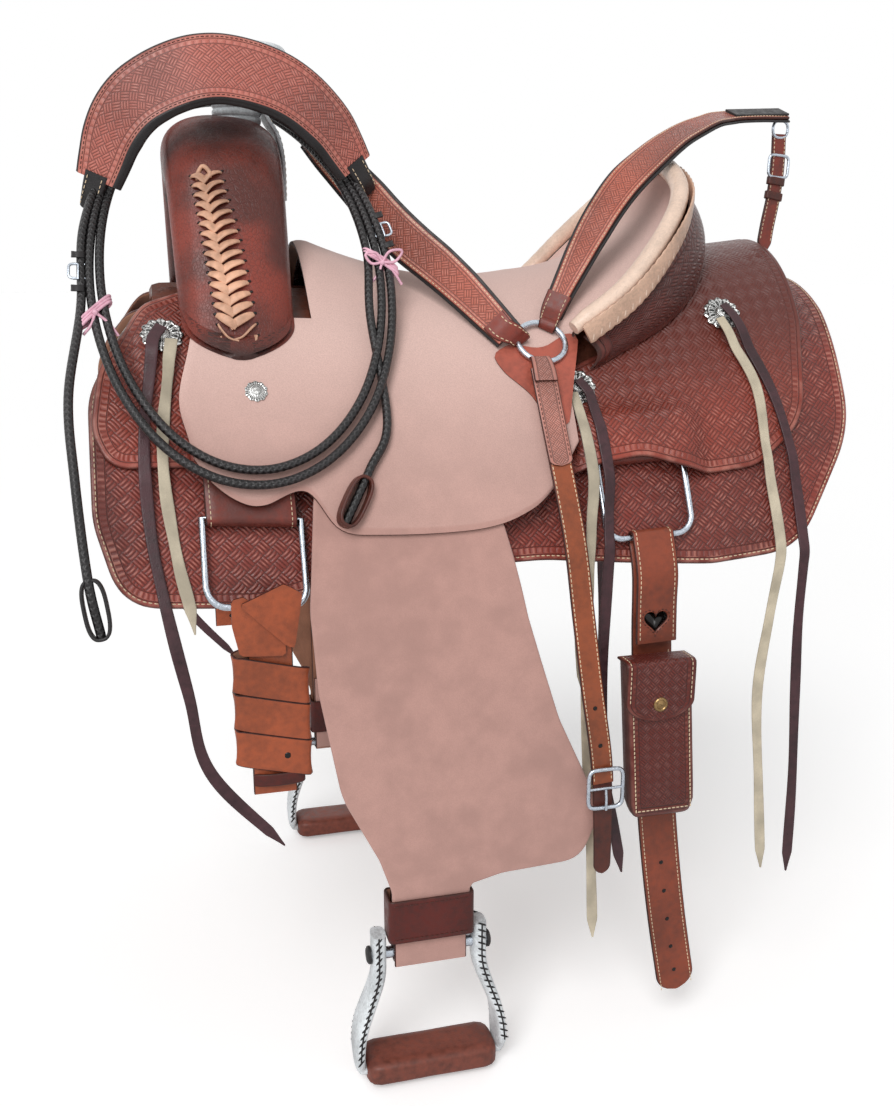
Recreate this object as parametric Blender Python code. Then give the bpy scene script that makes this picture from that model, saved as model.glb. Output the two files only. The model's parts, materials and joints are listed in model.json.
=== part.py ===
"""A wade-fork western ranch saddle with its bridle and breast collar hung on it.

Metres. +X runs back to the cantle, +Y to the off side, -Y to the near side, +Z up.
The origin is on the centreline, at the top of the horse's back under the seat.
"""

import math

import bmesh
import bpy
import numpy as np
from mathutils import Vector

# Side of the saddle: a line over the horse's back, with arc length s from the centreline
RIDGE_Z = 0.062
SIDE_SLOPE = math.radians(76.0)
SLOPE_REACH = 0.13
ROCK = 0.15
SPREAD = 0.10
HANG_START = 0.33
HANG_RUN = 0.14

# Clearance between pieces that touch, and how much further off its bar a fold of five points stands
GAP = 0.0005
FOLD_ROOM = 1.10

# Leathers, by their height over the fleece, measured square to the side
SKIRT_THICK = 0.005
FLEECE_THICK = 0.018
BAR_FLOOR = SKIRT_THICK + 0.0016
BAR_TOP = 0.019
JOCKEY_THICK = 0.004
JOCKEY_LIFT = SKIRT_THICK + 0.0015
SEAT_LIFT = 0.027
SEAT_THICK = 0.0045
FENDER_LIFT = 0.0225
FENDER_THICK = 0.0035
STRAP_THICK = 0.0032

# Skirts
SKIRT_FRONT = -0.364
SKIRT_REAR = 0.421
SKIRT_DEPTH = 0.388
FRONT_SKIRT_DEPTH = 0.405
SKIRT_CENTRE = 0.006
FLEECE_INSET = 0.004

# Rear and front jockeys
REAR_JOCKEY_DEPTH = 0.299
REAR_JOCKEY_REAR = 0.381
REAR_JOCKEY_FRONT = 0.088
REAR_RISE = 0.038
FRONT_JOCKEY_DEPTH = 0.280
FRONT_JOCKEY_FRONT = -0.361

# Tree bars
BAR_INNER = 0.036
BAR_OUTER = 0.174
BAR_FRONT = -0.298
BAR_REAR = 0.340

# Fork and horn
FORK_X = -0.219
FORK_HALF = 0.0605
FORK_FOOT_HALF = 0.053
FORK_TOP_Z = 0.257
FORK_HALF_SPAN = 0.172
FORK_COVER = 0.004
FORK_FOOT_LIFT = SEAT_LIFT + SEAT_THICK + 0.0006
HORN_X = -0.200
POST_RADIUS = 0.0245
CAP_RADIUS = 0.054
CAP_TOP_Z = 0.324
CAP_THICK = 0.020
HORN_HIDE = 0.0025
TAIL_HALF = 0.022

# Seat and seat jockeys
SEAT_FRONT = -0.134
JOCKEY_FRONT = -0.281
JOCKEY_REAR = 0.100
NOTCH_S = 0.125
REAR_NOTCH_S = 0.176
SEAT_LOW_X = 0.030
SEAT_LOW_Z = 0.094
SEAT_FRONT_Z = 0.132
SEAT_REAR_Z = 0.100

# Cantle
RIM_TOP_X = 0.272
RIM_TOP_Z = 0.217
RIM_HALF = 0.174
RIM_RADIUS = 0.0145
BOARD_THICK = 0.017
BACK_THICK = 0.0035

# Rigging dees
DEE_WIDTH = 0.098
DEE_DROP = 0.082
DEE_BAR = 0.0033
DEE_CORNER = 0.018
FRONT_DEE_X = -0.223
REAR_DEE_X = 0.168
DEE_LIFT = 0.0134
FRONT_DEE_S = 0.323
REAR_DEE_S = 0.276
DEE_BUMP = 0.0152

# Fender, stirrup leather and stirrup
LEATHER_X = -0.064
LEATHER_WIDTH = 0.076
LEATHER_TOP_S = 0.118
PIVOT_S = 0.145
BOLT_Z = -0.573
BOLT_RADIUS = 0.006
STIRRUP_WIDTH = 0.166
STIRRUP_HEIGHT = 0.142
BRANCH_THICK = 0.015
BRANCH_DEPTH = 0.046
TREAD_HEIGHT = 0.027
TREAD_DEPTH = 0.052
TREAD_WIDTH = 0.138
HOBBLE_HEIGHT = 0.048

# Latigo, billets and pouch
LATIGO_WIDTH = 0.042
LATIGO_DROP = 0.185
WRAP_HALF = 0.0335
WRAP_WIDTH = 0.034
WRAPS = 3
BILLET_WIDTH = 0.044
BILLET_DROP = 0.520
BILLET_SWEEP = 0.052
FRONT_PLY = 0.105
POUCH_WIDTH = 0.070
POUCH_HEIGHT = 0.168
POUCH_DEPTH = 0.024
POUCH_WALL = 0.0025
POUCH_TOP_Z = -0.272
FLAP_DROP = 0.058
HEART_SIZE = 0.025
HEART_Z = -0.235

# Conchos and strings
CONCHO_RADIUS = 0.0195
CONCHO_THICK = 0.006
STRING_WIDTH = 0.013
STRING_THICK = 0.0022
STRING_RISE = 0.0030

# Bridle and breast collar
BAND_WIDTH = 0.066
BAND_THICK = 0.005
REIN_RADIUS = 0.0042
REIN_STEPS = 41
COLLAR_WIDTH = 0.042
COLLAR_THICK = 0.0055
RING_RADIUS = 0.025
RING_BAR = 0.003
CHEST_WIDTH = 0.024

# Rein loop on the near side: centre, half-width, half-height, and how it leans as z and y
LOOP_X = -0.214
LOOP_Z = 0.091
LOOP_HALF = 0.150
LOOP_DROP = 0.184
LOOP_LEAN = (
    (-0.10, -0.262),
    (-0.02, -0.218),
    (0.03, -0.184),
    (0.12, -0.124),
    (0.19, -0.072),
    (0.276, 0.034),
)

ROUGHOUT = ((0.61, 0.39, 0.32), 0.9, 0.0)
STAMPED = ((0.30, 0.055, 0.025), 0.42, 0.0)
HARNESS = ((0.50, 0.12, 0.045), 0.5, 0.0)
DARK = ((0.035, 0.014, 0.012), 0.5, 0.0)
BLACK = ((0.012, 0.012, 0.014), 0.45, 0.0)
SMOOTH_BROWN = ((0.20, 0.04, 0.02), 0.35, 0.0)
RAWHIDE = ((0.78, 0.58, 0.40), 0.5, 0.0)
HIDE = ((0.62, 0.67, 0.68), 0.45, 0.0)
WOOL = ((0.70, 0.62, 0.50), 1.0, 0.0)
WOOD = ((0.55, 0.40, 0.24), 0.7, 0.0)
STEEL = ((0.65, 0.70, 0.75), 0.3, 1.0)
SILVER = ((0.75, 0.74, 0.72), 0.3, 1.0)
TREAD_BROWN = ((0.17, 0.035, 0.022), 0.5, 0.0)

SIDES = {"left": -1.0, "right": 1.0}
STEP = 0.001
X_CUTS = [round(-0.36 + 0.09 * i, 3) for i in range(9)]
S_CUTS = [0.035, 0.07, 0.10, 0.13, 0.16, 0.20, 0.25, 0.31, 0.37, 0.43, 0.52, 0.62]


def clear_scene():
    for obj in list(bpy.data.objects):
        bpy.data.objects.remove(obj, do_unlink=True)


def smooth(value):
    value = min(max(value, 0.0), 1.0)
    return value * value * (3.0 - 2.0 * value)


def vec(x, y, z):
    return np.array((x, y, z), float)


def unit(vector):
    return vector / np.linalg.norm(vector)


def profile(hanging):
    """Half cross-section of the side: y, z and slope at each millimetre of s."""
    s = np.arange(0.0, 1.2, STEP)
    slope = SIDE_SLOPE * s**2 / (s**2 + SLOPE_REACH**2)
    if hanging:
        turn = np.clip((s - HANG_START) / HANG_RUN, 0.0, 1.0)
        slope = slope + (math.pi / 2 - slope) * turn**2 * (3.0 - 2.0 * turn)
    y = np.concatenate([[0.0], np.cumsum(np.cos(slope))[:-1] * STEP])
    z = RIDGE_Z - np.concatenate([[0.0], np.cumsum(np.sin(slope))[:-1] * STEP])
    return s, y, z, slope


PROFILES = {False: profile(False), True: profile(True)}


def side_point(x, s, lift, side, hanging=False):
    """The point lift above the side at x and arc length s. Hanging leathers turn plumb below the skirt."""
    line, y, z, slope = PROFILES[hanging]
    angle = np.interp(s, line, slope)
    plumb = smooth((s - HANG_START) / HANG_RUN) if hanging else 0.0
    widen = 1.0 + SPREAD * (x + (LEATHER_X - x) * plumb)
    out = np.interp(s, line, y) * widen + lift * math.sin(angle)
    up = np.interp(s, line, z) + ROCK * x * x + lift * math.cos(angle)
    return vec(x, side * out, up)


def side_normal(s, side, hanging=False):
    line, _, _, slope = PROFILES[hanging]
    angle = np.interp(s, line, slope)
    return vec(0.0, side * math.sin(angle), math.cos(angle))


def lift_of(point):
    """Where a point stands over the side: its arc length and its lift."""
    line, y, z, slope = PROFILES[False]
    across = abs(point[1]) - y * (1.0 + SPREAD * point[0])
    above = point[2] - z - ROCK * point[0] ** 2
    nearest = int(np.argmin(across**2 + above**2))
    angle = slope[nearest]
    return line[nearest], across[nearest] * math.sin(angle) + above[nearest] * math.cos(angle)


def along(points, count):
    """Points read at even steps from a smooth curve through the given ones."""
    points = [np.array(p, float) for p in points]
    ends = [2 * points[0] - points[1]] + points + [2 * points[-1] - points[-2]]
    fine = []
    for i in range(len(points) - 1):
        a, b, c, d = ends[i : i + 4]
        square = 2 * a - 5 * b + 4 * c - d
        cube = 3 * b - a - 3 * c + d
        for t in np.linspace(0.0, 1.0, 12, endpoint=False):
            fine.append(0.5 * (2 * b + (c - a) * t + square * t**2 + cube * t**3))
    fine = np.array(fine + [points[-1]])
    length = np.concatenate([[0.0], np.cumsum(np.linalg.norm(np.diff(fine, axis=0), axis=1))])
    stations = np.linspace(0.0, length[-1], count)
    return [np.array([np.interp(t, length, fine[:, k]) for k in range(fine.shape[1])]) for t in stations]


def rounded(corners, steps=3):
    """A closed outline from corners (x, s, radius), each turned as an arc."""
    outline = []
    count = len(corners)
    for i, (x, s, radius) in enumerate(corners):
        here = np.array((x, s))
        before = np.array(corners[i - 1][:2])
        after = np.array(corners[(i + 1) % count][:2])
        back, ahead = unit(before - here), unit(after - here)
        half = 0.5 * math.acos(max(-1.0, min(1.0, float(back @ ahead))))
        reach = min(np.linalg.norm(before - here), np.linalg.norm(after - here)) * 0.49
        cut = min(radius / max(math.tan(half), 0.05), reach)
        if cut < 0.0008:
            outline.append(here)
            continue
        first, last = here + back * cut, here + ahead * cut
        for t in np.linspace(0.0, 1.0, steps + 1):
            outline.append((1 - t) ** 2 * first + 2 * t * (1 - t) * here + t * t * last)
    return outline


def material(name, look):
    made = bpy.data.materials.get(name)
    if made is None:
        colour, roughness, metallic = look
        made = bpy.data.materials.new(name)
        made.use_nodes = True
        shader = made.node_tree.nodes["Principled BSDF"]
        shader.inputs["Base Color"].default_value = (*colour, 1.0)
        shader.inputs["Roughness"].default_value = roughness
        shader.inputs["Metallic"].default_value = metallic
    return made


PIVOTS = {}


def pivot(name, place, parent=None):
    """An empty on a joint's axis."""
    empty = bpy.data.objects.new(name, None)
    empty.empty_display_size = 0.02
    bpy.context.scene.collection.objects.link(empty)
    base = PIVOTS[parent][1] if parent else vec(0, 0, 0)
    if parent:
        empty.parent = PIVOTS[parent][0]
    empty.location = Vector(place - base)
    PIVOTS[name] = (empty, np.array(place, float))
    return empty


def node(name, shape, look, on=None, helper=False):
    """One closed solid from points and faces, with its own material, on a pivot or on the root."""
    points, faces = shape
    base = PIVOTS[on][1] if on else vec(0, 0, 0)
    bm = bmesh.new()
    verts = [bm.verts.new(Vector(p - base)) for p in points]
    for face in faces:
        bm.faces.new([verts[i] for i in face])
    loose = [v for v in bm.verts if not v.link_faces]
    bmesh.ops.delete(bm, geom=loose, context="VERTS")
    bmesh.ops.recalc_face_normals(bm, faces=bm.faces)
    if bm.calc_volume(signed=True) < 0.0:
        bmesh.ops.reverse_faces(bm, faces=bm.faces)
    mesh = bpy.data.meshes.new(name)
    bm.to_mesh(mesh)
    bm.free()
    mesh.shade_smooth()
    mesh.set_sharp_from_angle(angle=math.radians(32.0))
    obj = bpy.data.objects.new(name, mesh)
    bpy.context.scene.collection.objects.link(obj)
    if on:
        obj.parent = PIVOTS[on][0]
    if helper:
        obj.hide_render = True
        obj.display_type = "WIRE"
    else:
        mesh.materials.append(material(name, look))
    return obj


def boolean(obj, other, operation):
    modifier = obj.modifiers.new(operation.title() + "_" + other.name, "BOOLEAN")
    modifier.operation = operation
    modifier.solver = "EXACT"
    modifier.object = other


def loft(rings, looped=False):
    """A skin through equal rings of points, capped at its ends or joined end to end."""
    count = len(rings[0])
    points = [p for ring in rings for p in ring]
    faces = []
    for i in range(len(rings) if looped else len(rings) - 1):
        a = i * count
        b = ((i + 1) % len(rings)) * count
        for k in range(count):
            n = (k + 1) % count
            faces.append((a + k, a + n, b + n, b + k))
    if not looped:
        faces.append(tuple(range(count))[::-1])
        faces.append(tuple(range(len(points) - count, len(points))))
    return points, faces


def sheet(outer, inner, keep=None):
    """A closed sheet between two grids of points. keep(row, column) says which cells it has."""
    rows, cols = len(outer), len(outer[0])
    other = rows * cols
    points = [p for row in outer for p in row] + [p for row in inner for p in row]
    faces, edges = [], set()
    for i in range(rows - 1):
        for j in range(cols - 1):
            if keep and not keep(i, j):
                continue
            a, b, c, d = i * cols + j, i * cols + j + 1, (i + 1) * cols + j + 1, (i + 1) * cols + j
            halves = ((a, b, c), (a, c, d)) if j >= (cols - 1) / 2 else ((a, b, d), (b, c, d))
            for half in halves:
                faces.append(half)
                faces.append(tuple(other + k for k in half[::-1]))
                edges.update(zip(half, half[1:] + half[:1]))
    for a, b in sorted(edges):
        if (b, a) not in edges:
            faces.append((b, a, other + a, other + b))
    return points, faces


def grid_normals(grid):
    """The unit normal at each point of a grid, facing up."""
    array = np.array(grid)
    du = np.gradient(array, axis=0)
    dv = np.gradient(array, axis=1)
    normal = np.cross(du, dv)
    normal /= np.linalg.norm(normal, axis=2, keepdims=True) + 1e-12
    middle = normal[len(grid) // 2, len(grid[0]) // 2]
    return normal if middle[2] > 0 else -normal


def cut_pattern(outline, more_x=(), more_s=()):
    """A flat leather pattern, cut along the lines where it will bend, as points and triangles."""
    bm = bmesh.new()
    bm.faces.new([bm.verts.new((p[0], p[1], 0.0)) for p in outline])
    for cuts, direction in ((X_CUTS + list(more_x), (1, 0, 0)), (S_CUTS + list(more_s), (0, 1, 0))):
        for value in cuts:
            geometry = bm.verts[:] + bm.edges[:] + bm.faces[:]
            place = tuple(value * d for d in direction)
            bmesh.ops.bisect_plane(bm, geom=geometry, dist=0.0006, plane_co=place, plane_no=direction)
    bmesh.ops.triangulate(bm, faces=bm.faces[:])
    bm.verts.ensure_lookup_table()
    flat = [(v.co.x, v.co.y) for v in bm.verts]
    triangles = [tuple(v.index for v in f.verts) for f in bm.faces]
    bm.free()
    return flat, triangles


def panel(outline, lift, thickness, side, hanging=False, more_x=(), more_s=()):
    """A leather pattern bent over the side. lift and thickness are heights or functions of x and s."""
    flat, triangles = cut_pattern(outline, more_x, more_s)
    other = len(flat)
    points = []
    for layer in (1.0, 0.0):
        for x, s in flat:
            height = lift(x, s) if callable(lift) else lift
            thick = thickness(x, s) if callable(thickness) else thickness
            points.append(side_point(x, s, height + layer * thick, side, hanging))
    faces, edges = [], set()
    for tri in triangles:
        faces.append(tri)
        faces.append(tuple(other + k for k in tri[::-1]))
        edges.update(zip(tri, tri[1:] + tri[:1]))
    for a, b in sorted(edges):
        if (b, a) not in edges:
            faces.append((b, a, other + a, other + b))
    return points, faces


def tangents(path, looped=False):
    count = len(path)
    result = []
    for i in range(count):
        ahead = path[(i + 1) % count] if looped else path[min(i + 1, count - 1)]
        back = path[i - 1] if looped else path[max(i - 1, 0)]
        result.append(unit(ahead - back))
    return result


def ribbon(path, across, width, thickness, looped=False):
    """A flat strap along a path. across is its width direction at each point."""
    rings = []
    for i, (place, along_path) in enumerate(zip(path, tangents(path, looped))):
        wide = across[i] if isinstance(across, list) else across
        wide = unit(wide - along_path * float(wide @ along_path))
        thick = np.cross(along_path, wide) * thickness / 2
        wide = wide * (width[i] if isinstance(width, list) else width) / 2
        over, under = place + thick, place - thick
        rings.append([over + wide, over - wide, under - wide, under + wide])
    return loft(rings, looped)


def rod(path, radius, sides=8, looped=False, up=None):
    """A round bar along a path. up is a direction that the path never runs along."""
    rings = []
    up = vec(0.0, 1.0, 0.0) if up is None else up
    for place, along_path in zip(path, tangents(path, looped)):
        first = unit(np.cross(along_path, up))
        second = np.cross(along_path, first)
        turn = [2 * math.pi * (k + 0.5) / sides for k in range(sides)]
        rings.append([place + radius * (first * math.cos(a) + second * math.sin(a)) for a in turn])
    return loft(rings, looped)


def lathe(outline, centre, axis, sides=20, looped=False):
    """A turned solid from an outline of radius and height, closed on itself when looped."""
    axis = unit(axis)
    first = unit(np.cross(axis, vec(1.0, 0.0, 0.0)))
    second = np.cross(axis, first)
    rings = []
    for radius, height in outline:
        turn = [2 * math.pi * k / sides for k in range(sides)]
        middle = centre + axis * height
        rings.append([middle + radius * (first * math.cos(a) + second * math.sin(a)) for a in turn])
    return loft(rings, looped)


def fold(x_s, run, lifts, bar, width, thickness, side, tails):
    """A strap folded round a straight bar: its outer ply runs up from the bar, its inner ply runs back up.

    x_s is the bar's x and s, run and tails are the lengths of the plies, lifts is the bar's lift.
    """
    x, s = x_s
    reach = (bar + GAP + thickness / 2) * FOLD_ROOM
    path = [side_point(x, s - run * k / 3, lifts + reach, side) for k in (3, 2, 1, 0)]
    centre = side_point(x, s, lifts, side)
    out = side_normal(s, side)
    down = unit(side_point(x, s + 0.01, lifts, side) - side_point(x, s - 0.01, lifts, side))
    for k in (1, 2, 3):
        angle = math.pi * k / 4
        path.append(centre + out * reach * math.cos(angle) + down * reach * math.sin(angle))
    path += [side_point(x, s - tails * k, lifts - reach, side) for k in (0, 1)]
    return ribbon(path, [across_side(p) for p in path], width, thickness)


def rear_jockey_lift(x, s):
    """The rear jockey climbs over the bar towards the centreline, and bulges over the rear rigging."""
    bump = smooth((0.082 - abs(x - REAR_DEE_X)) / 0.036) * smooth((s - 0.212) / 0.033)
    return JOCKEY_LIFT + REAR_RISE * (1.0 - smooth(s / 0.20)) + DEE_BUMP * bump


def front_jockey_lift(x, s):
    """The front jockey climbs over the bar's front tip."""
    over = smooth((x + 0.334) / 0.032) * (1.0 - smooth((s - BAR_OUTER - 0.002) / 0.035))
    return JOCKEY_LIFT + (BAR_TOP + 0.0008 - JOCKEY_LIFT) * over


def bar_top(x, s):
    """The bars stay under the rear jockeys, which lie on them behind the stirrup leathers."""
    most = BAR_TOP + 0.016 * smooth((x - 0.21) / 0.07)
    rear = max(min(rear_jockey_lift(x, s) - 0.0016, most), BAR_FLOOR + 0.0015)
    return BAR_TOP + (rear - BAR_TOP) * smooth((x - 0.005) / 0.06)


def skirt_outline(inset=0.0):
    centre = SKIRT_CENTRE + inset
    front = SKIRT_FRONT + inset
    rear = SKIRT_REAR - inset
    low = SKIRT_DEPTH - inset
    front_low = FRONT_SKIRT_DEPTH - inset
    return rounded(
        [
            (-0.225 + inset, centre, 0.01),
            (-0.255 + inset, 0.074, 0.04),
            (front + 0.040, 0.118 + inset, 0.06),
            (front + 0.001, 0.208, 0.10),
            (front - 0.001, 0.330, 0.10),
            (front + 0.020, front_low + 0.002, 0.045),
            (-0.215, front_low, 0.10),
            (-0.110, low - 0.016, 0.10),
            (0.060, low - 0.018, 0.20),
            (0.235, low + 0.004, 0.10),
            (rear - 0.090, low + 0.002, 0.07),
            (rear - 0.012, 0.275, 0.14),
            (rear, 0.130, 0.10),
            (rear - 0.001, centre, 0.012),
        ]
    )


def make_fleeces_and_skirts():
    for name, side in SIDES.items():
        lining = panel(skirt_outline(FLEECE_INSET), -FLEECE_THICK - 0.0012, FLEECE_THICK, side)
        node("fleece_" + name, lining, WOOL)
        node("skirt_" + name, panel(skirt_outline(), 0.0, SKIRT_THICK, side), STAMPED)


def make_rear_jockeys():
    depth, rear, front = REAR_JOCKEY_DEPTH, REAR_JOCKEY_REAR, REAR_JOCKEY_FRONT
    outline = rounded(
        [
            (front, 0.184, 0.01),
            (0.146, 0.162, 0.06),
            (0.222, 0.122, 0.06),
            (0.280, 0.060, 0.05),
            (0.290, 0.0006, 0.0),
            (rear + 0.010, 0.0006, 0.008),
            (rear + 0.001, 0.150, 0.10),
            (rear - 0.026, 0.262, 0.08),
            (rear - 0.085, depth + 0.001, 0.05),
            (rear - 0.150, depth + 0.003, 0.06),
            (0.168, depth - 0.020, 0.05),
            (0.128, depth - 0.016, 0.03),
            (front, depth - 0.008, 0.01),
        ]
    )
    more_x = (0.098, 0.112, 0.128, 0.208, 0.224, 0.24)
    for name, side in SIDES.items():
        shape = panel(outline, rear_jockey_lift, JOCKEY_THICK, side, False, more_x, (0.214, 0.232, 0.275))
        node("rear_jockey_" + name, shape, STAMPED)


def make_front_jockeys():
    depth, front = FRONT_JOCKEY_DEPTH, FRONT_JOCKEY_FRONT
    outline = rounded(
        [
            (-0.262, 0.078, 0.008),
            (front + 0.046, 0.114, 0.06),
            (front + 0.009, 0.180, 0.08),
            (front - 0.001, 0.244, 0.05),
            (front + 0.014, depth, 0.035),
            (-0.235, depth - 0.008, 0.03),
            (-0.228, 0.182, 0.008),
            (-0.246, 0.150, 0.01),
        ]
    )
    more_x = (-0.334, -0.318, -0.302)
    for name, side in SIDES.items():
        shape = panel(outline, front_jockey_lift, JOCKEY_THICK, side, False, more_x, (0.18,))
        node("front_jockey_" + name, shape, STAMPED)


FORK_OUTER = [(0.0, 1.0), (0.24, 0.965), (0.44, 0.845), (0.60, 0.650), (0.75, 0.430)]
FORK_OUTER += [(0.885, 0.215), (1, 0)]
FORK_INNER = [(0.0, 0.625), (0.19, 0.595), (0.33, 0.48), (0.45, 0.32), (0.57, 0.17)]
FORK_INNER += [(0.67, 0.06), (0.78, -0.02)]


def fork_ring(t, side, inset, count=14):
    """A ring of the fork at t, from 0 at the top of the arch to 1 at the foot, drawn in by inset."""
    outer = along(FORK_OUTER, 25)
    inner = along(FORK_INNER, 25)
    foot = side_point(FORK_X, 0.184, FORK_FOOT_LIFT + 0.003, side)[2]
    rise = FORK_TOP_Z - foot
    at = t * 24
    low = int(min(at, 23))
    share = at - low
    a = outer[low] * (1 - share) + outer[low + 1] * share
    b = inner[low] * (1 - share) + inner[low + 1] * share
    top = vec(0.0, side * a[0] * FORK_HALF_SPAN, foot + a[1] * rise)
    under = vec(0.0, side * b[0] * FORK_HALF_SPAN, foot + b[1] * rise)
    end = max(0.0, (t - 0.87) / 0.13)
    half = (FORK_HALF + (FORK_FOOT_HALF - FORK_HALF) * t) * math.sqrt(1.0 - 0.92 * end**2.4) - inset
    middle = (top + under) / 2
    out = (top - under) / 2
    out = out * (1.0 - inset / np.linalg.norm(out))
    ring = []
    for k in range(count):
        angle = 2 * math.pi * k / count
        c, s = math.cos(angle), math.sin(angle)
        reach_x = math.copysign(abs(c) ** 0.8, c) * half
        reach_n = math.copysign(abs(s) ** 0.8, s)
        place = middle + out * reach_n + vec(FORK_X + reach_x, 0.0, 0.0)
        ring.append(press_up(place, side, FORK_FOOT_LIFT + inset))
    return ring


def press_up(place, side, least):
    """A point no nearer to the side than least, where the fork's foot lies on the seat jockey."""
    s, lift = lift_of(place)
    if lift >= least:
        return place
    return place + side_normal(s, side) * (least - lift) * smooth((s - 0.045) / 0.035)


def fork_rings(inset):
    steps = [0.0, 0.13, 0.26, 0.39, 0.52, 0.64, 0.75, 0.83, 0.89, 0.93, 0.96, 0.985, 1.0]
    rings = [fork_ring(t, -1.0, inset) for t in reversed(steps)]
    return rings + [fork_ring(t, 1.0, inset) for t in steps[1:]]


def make_tree():
    """The tree in one piece: bars, fork block, horn post and plate, and cantle board."""
    reach = FORK_COVER + 0.0036
    block = node("saddle_tree", loft(fork_rings(reach)[6:-6]), WOOD)
    for name, side in SIDES.items():
        outline = rounded(
            [
                (BAR_FRONT, BAR_INNER + 0.03, 0.03),
                (BAR_FRONT, BAR_OUTER - 0.02, 0.03),
                (-0.20, BAR_OUTER, 0.1),
                (0.10, BAR_OUTER, 0.1),
                (BAR_REAR, 0.150, 0.04),
                (BAR_REAR, BAR_INNER + 0.02, 0.03),
                (0.05, BAR_INNER, 0.1),
                (-0.15, BAR_INNER, 0.1),
            ]
        )
        flat, triangles = cut_pattern(outline)
        other = len(flat)
        points = [side_point(x, s, bar_top(x, s), side) for x, s in flat]
        points += [side_point(x, s, BAR_FLOOR, side) for x, s in flat]
        faces, edges = [], set()
        for tri in triangles:
            faces.append(tri)
            faces.append(tuple(other + k for k in tri[::-1]))
            edges.update(zip(tri, tri[1:] + tri[:1]))
        faces += [(b, a, other + a, other + b) for a, b in sorted(edges) if (b, a) not in edges]
        bar = node("tree_bar_" + name, (points, faces), WOOD, helper=True)
        boolean(block, bar, "UNION")
        foot = node("fork_leg_" + name, fork_leg(side), WOOD, helper=True)
        boolean(block, foot, "UNION")
    post = POST_RADIUS - HORN_HIDE - GAP
    plate = CAP_RADIUS - HORN_HIDE - GAP
    top = CAP_TOP_Z - HORN_HIDE - GAP
    low = CAP_TOP_Z - CAP_THICK + HORN_HIDE + GAP
    outline = [(post, 0.195), (post, low - 0.006), (post + 0.006, low), (plate, low), (plate, top)]
    horn = node("horn_core", lathe(outline, vec(HORN_X, 0, 0), vec(0, 0, 1)), STEEL, helper=True)
    boolean(block, horn, "UNION")
    board = node("cantle_board", cantle_board(), WOOD, helper=True)
    boolean(block, board, "UNION")


def fork_leg(side, clearance=0.0):
    """The block's leg, which stands on the bar inside the seat's notch, grown by a clearance."""
    rings = []
    low = BAR_TOP - 0.004 - clearance
    tall = 0.050 + 2 * clearance
    half = vec(0.032 + clearance, 0.0, 0.0)
    for share in (0.0, 1.0):
        a = side_point(FORK_X, 0.060 - clearance, low, side) + vec(0.0, -side * 0.004, tall) * share
        b = side_point(FORK_X, 0.112 + clearance, low, side) + vec(0.0, -side * 0.006, tall) * share
        rings.append([a - half, a + half, b + half, b - half])
    return loft(rings)


def make_fork_cover_and_horn():
    cover_outer = fork_rings(0.0)
    cover_inner = fork_rings(FORK_COVER)
    count = len(cover_outer[0])
    points = [p for ring in cover_outer for p in ring] + [p for ring in cover_inner for p in ring]
    other = len(cover_outer) * count
    faces = []
    for i in range(len(cover_outer) - 1):
        for k in range(count):
            n = (k + 1) % count
            a, b = i * count, (i + 1) * count
            faces.append((a + k, a + n, b + n, b + k))
            faces.append((other + b + k, other + b + n, other + a + n, other + a + k))
    for base in (0, (len(cover_outer) - 1) * count):
        for k in range(count):
            n = (k + 1) % count
            faces.append((base + n, base + k, other + base + k, other + base + n))
    cover = node("fork_cover", (points, faces), SMOOTH_BROWN)
    axis = vec(0.0, 0.0, 1.0)
    middle = vec(HORN_X, 0.0, 0.0)
    post = POST_RADIUS - HORN_HIDE - GAP
    bore = lathe([(post + GAP, 0.19), (post + GAP, 0.30)], middle, axis)
    hole = node("horn_hole", bore, STEEL, helper=True)
    boolean(cover, hole, "DIFFERENCE")
    for name, side in SIDES.items():
        mouth = node("leg_mouth_" + name, fork_leg(side, 0.0015), WOOD, helper=True)
        boolean(cover, mouth, "DIFFERENCE")

    top = CAP_TOP_Z
    low = CAP_TOP_Z - CAP_THICK
    inner_post = post + GAP
    inner_cap = CAP_RADIUS - HORN_HIDE
    outline = [
        (POST_RADIUS + 0.006, 0.222),
        (POST_RADIUS, 0.262),
        (POST_RADIUS, low - 0.008),
        (POST_RADIUS + 0.010, low),
        (CAP_RADIUS - 0.004, low + 0.002),
        (CAP_RADIUS, low + 0.008),
        (CAP_RADIUS, top - 0.007),
        (CAP_RADIUS - 0.008, top),
        (0.012, top),
        (0.012, top - HORN_HIDE),
        (inner_cap, top - HORN_HIDE),
        (inner_cap, low + HORN_HIDE),
        (inner_post + 0.006, low + HORN_HIDE),
        (inner_post, low + HORN_HIDE - 0.006),
        (inner_post, 0.222),
    ]
    horn = node("horn_wrap", lathe(outline, middle, axis, looped=True), HIDE)
    back = FORK_X + FORK_HALF
    tail_path = [
        vec(HORN_X + POST_RADIUS - 0.0012, 0, 0.265),
        vec(back - 0.0095, 0, FORK_TOP_Z - 0.008),
        vec(back - 0.0010, 0, FORK_TOP_Z - 0.022),
        vec(back + 0.0032, 0, FORK_TOP_Z - 0.046),
        vec(back + 0.0036, 0, FORK_TOP_Z - 0.085),
    ]
    tail = node("horn_tail", ribbon(tail_path, vec(0, 1, 0), 2 * TAIL_HALF, 0.004), HIDE, helper=True)
    boolean(horn, tail, "UNION")
    envelope = node("fork_envelope", loft(fork_rings(-GAP)), WOOD, helper=True)
    boolean(horn, envelope, "DIFFERENCE")


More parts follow.
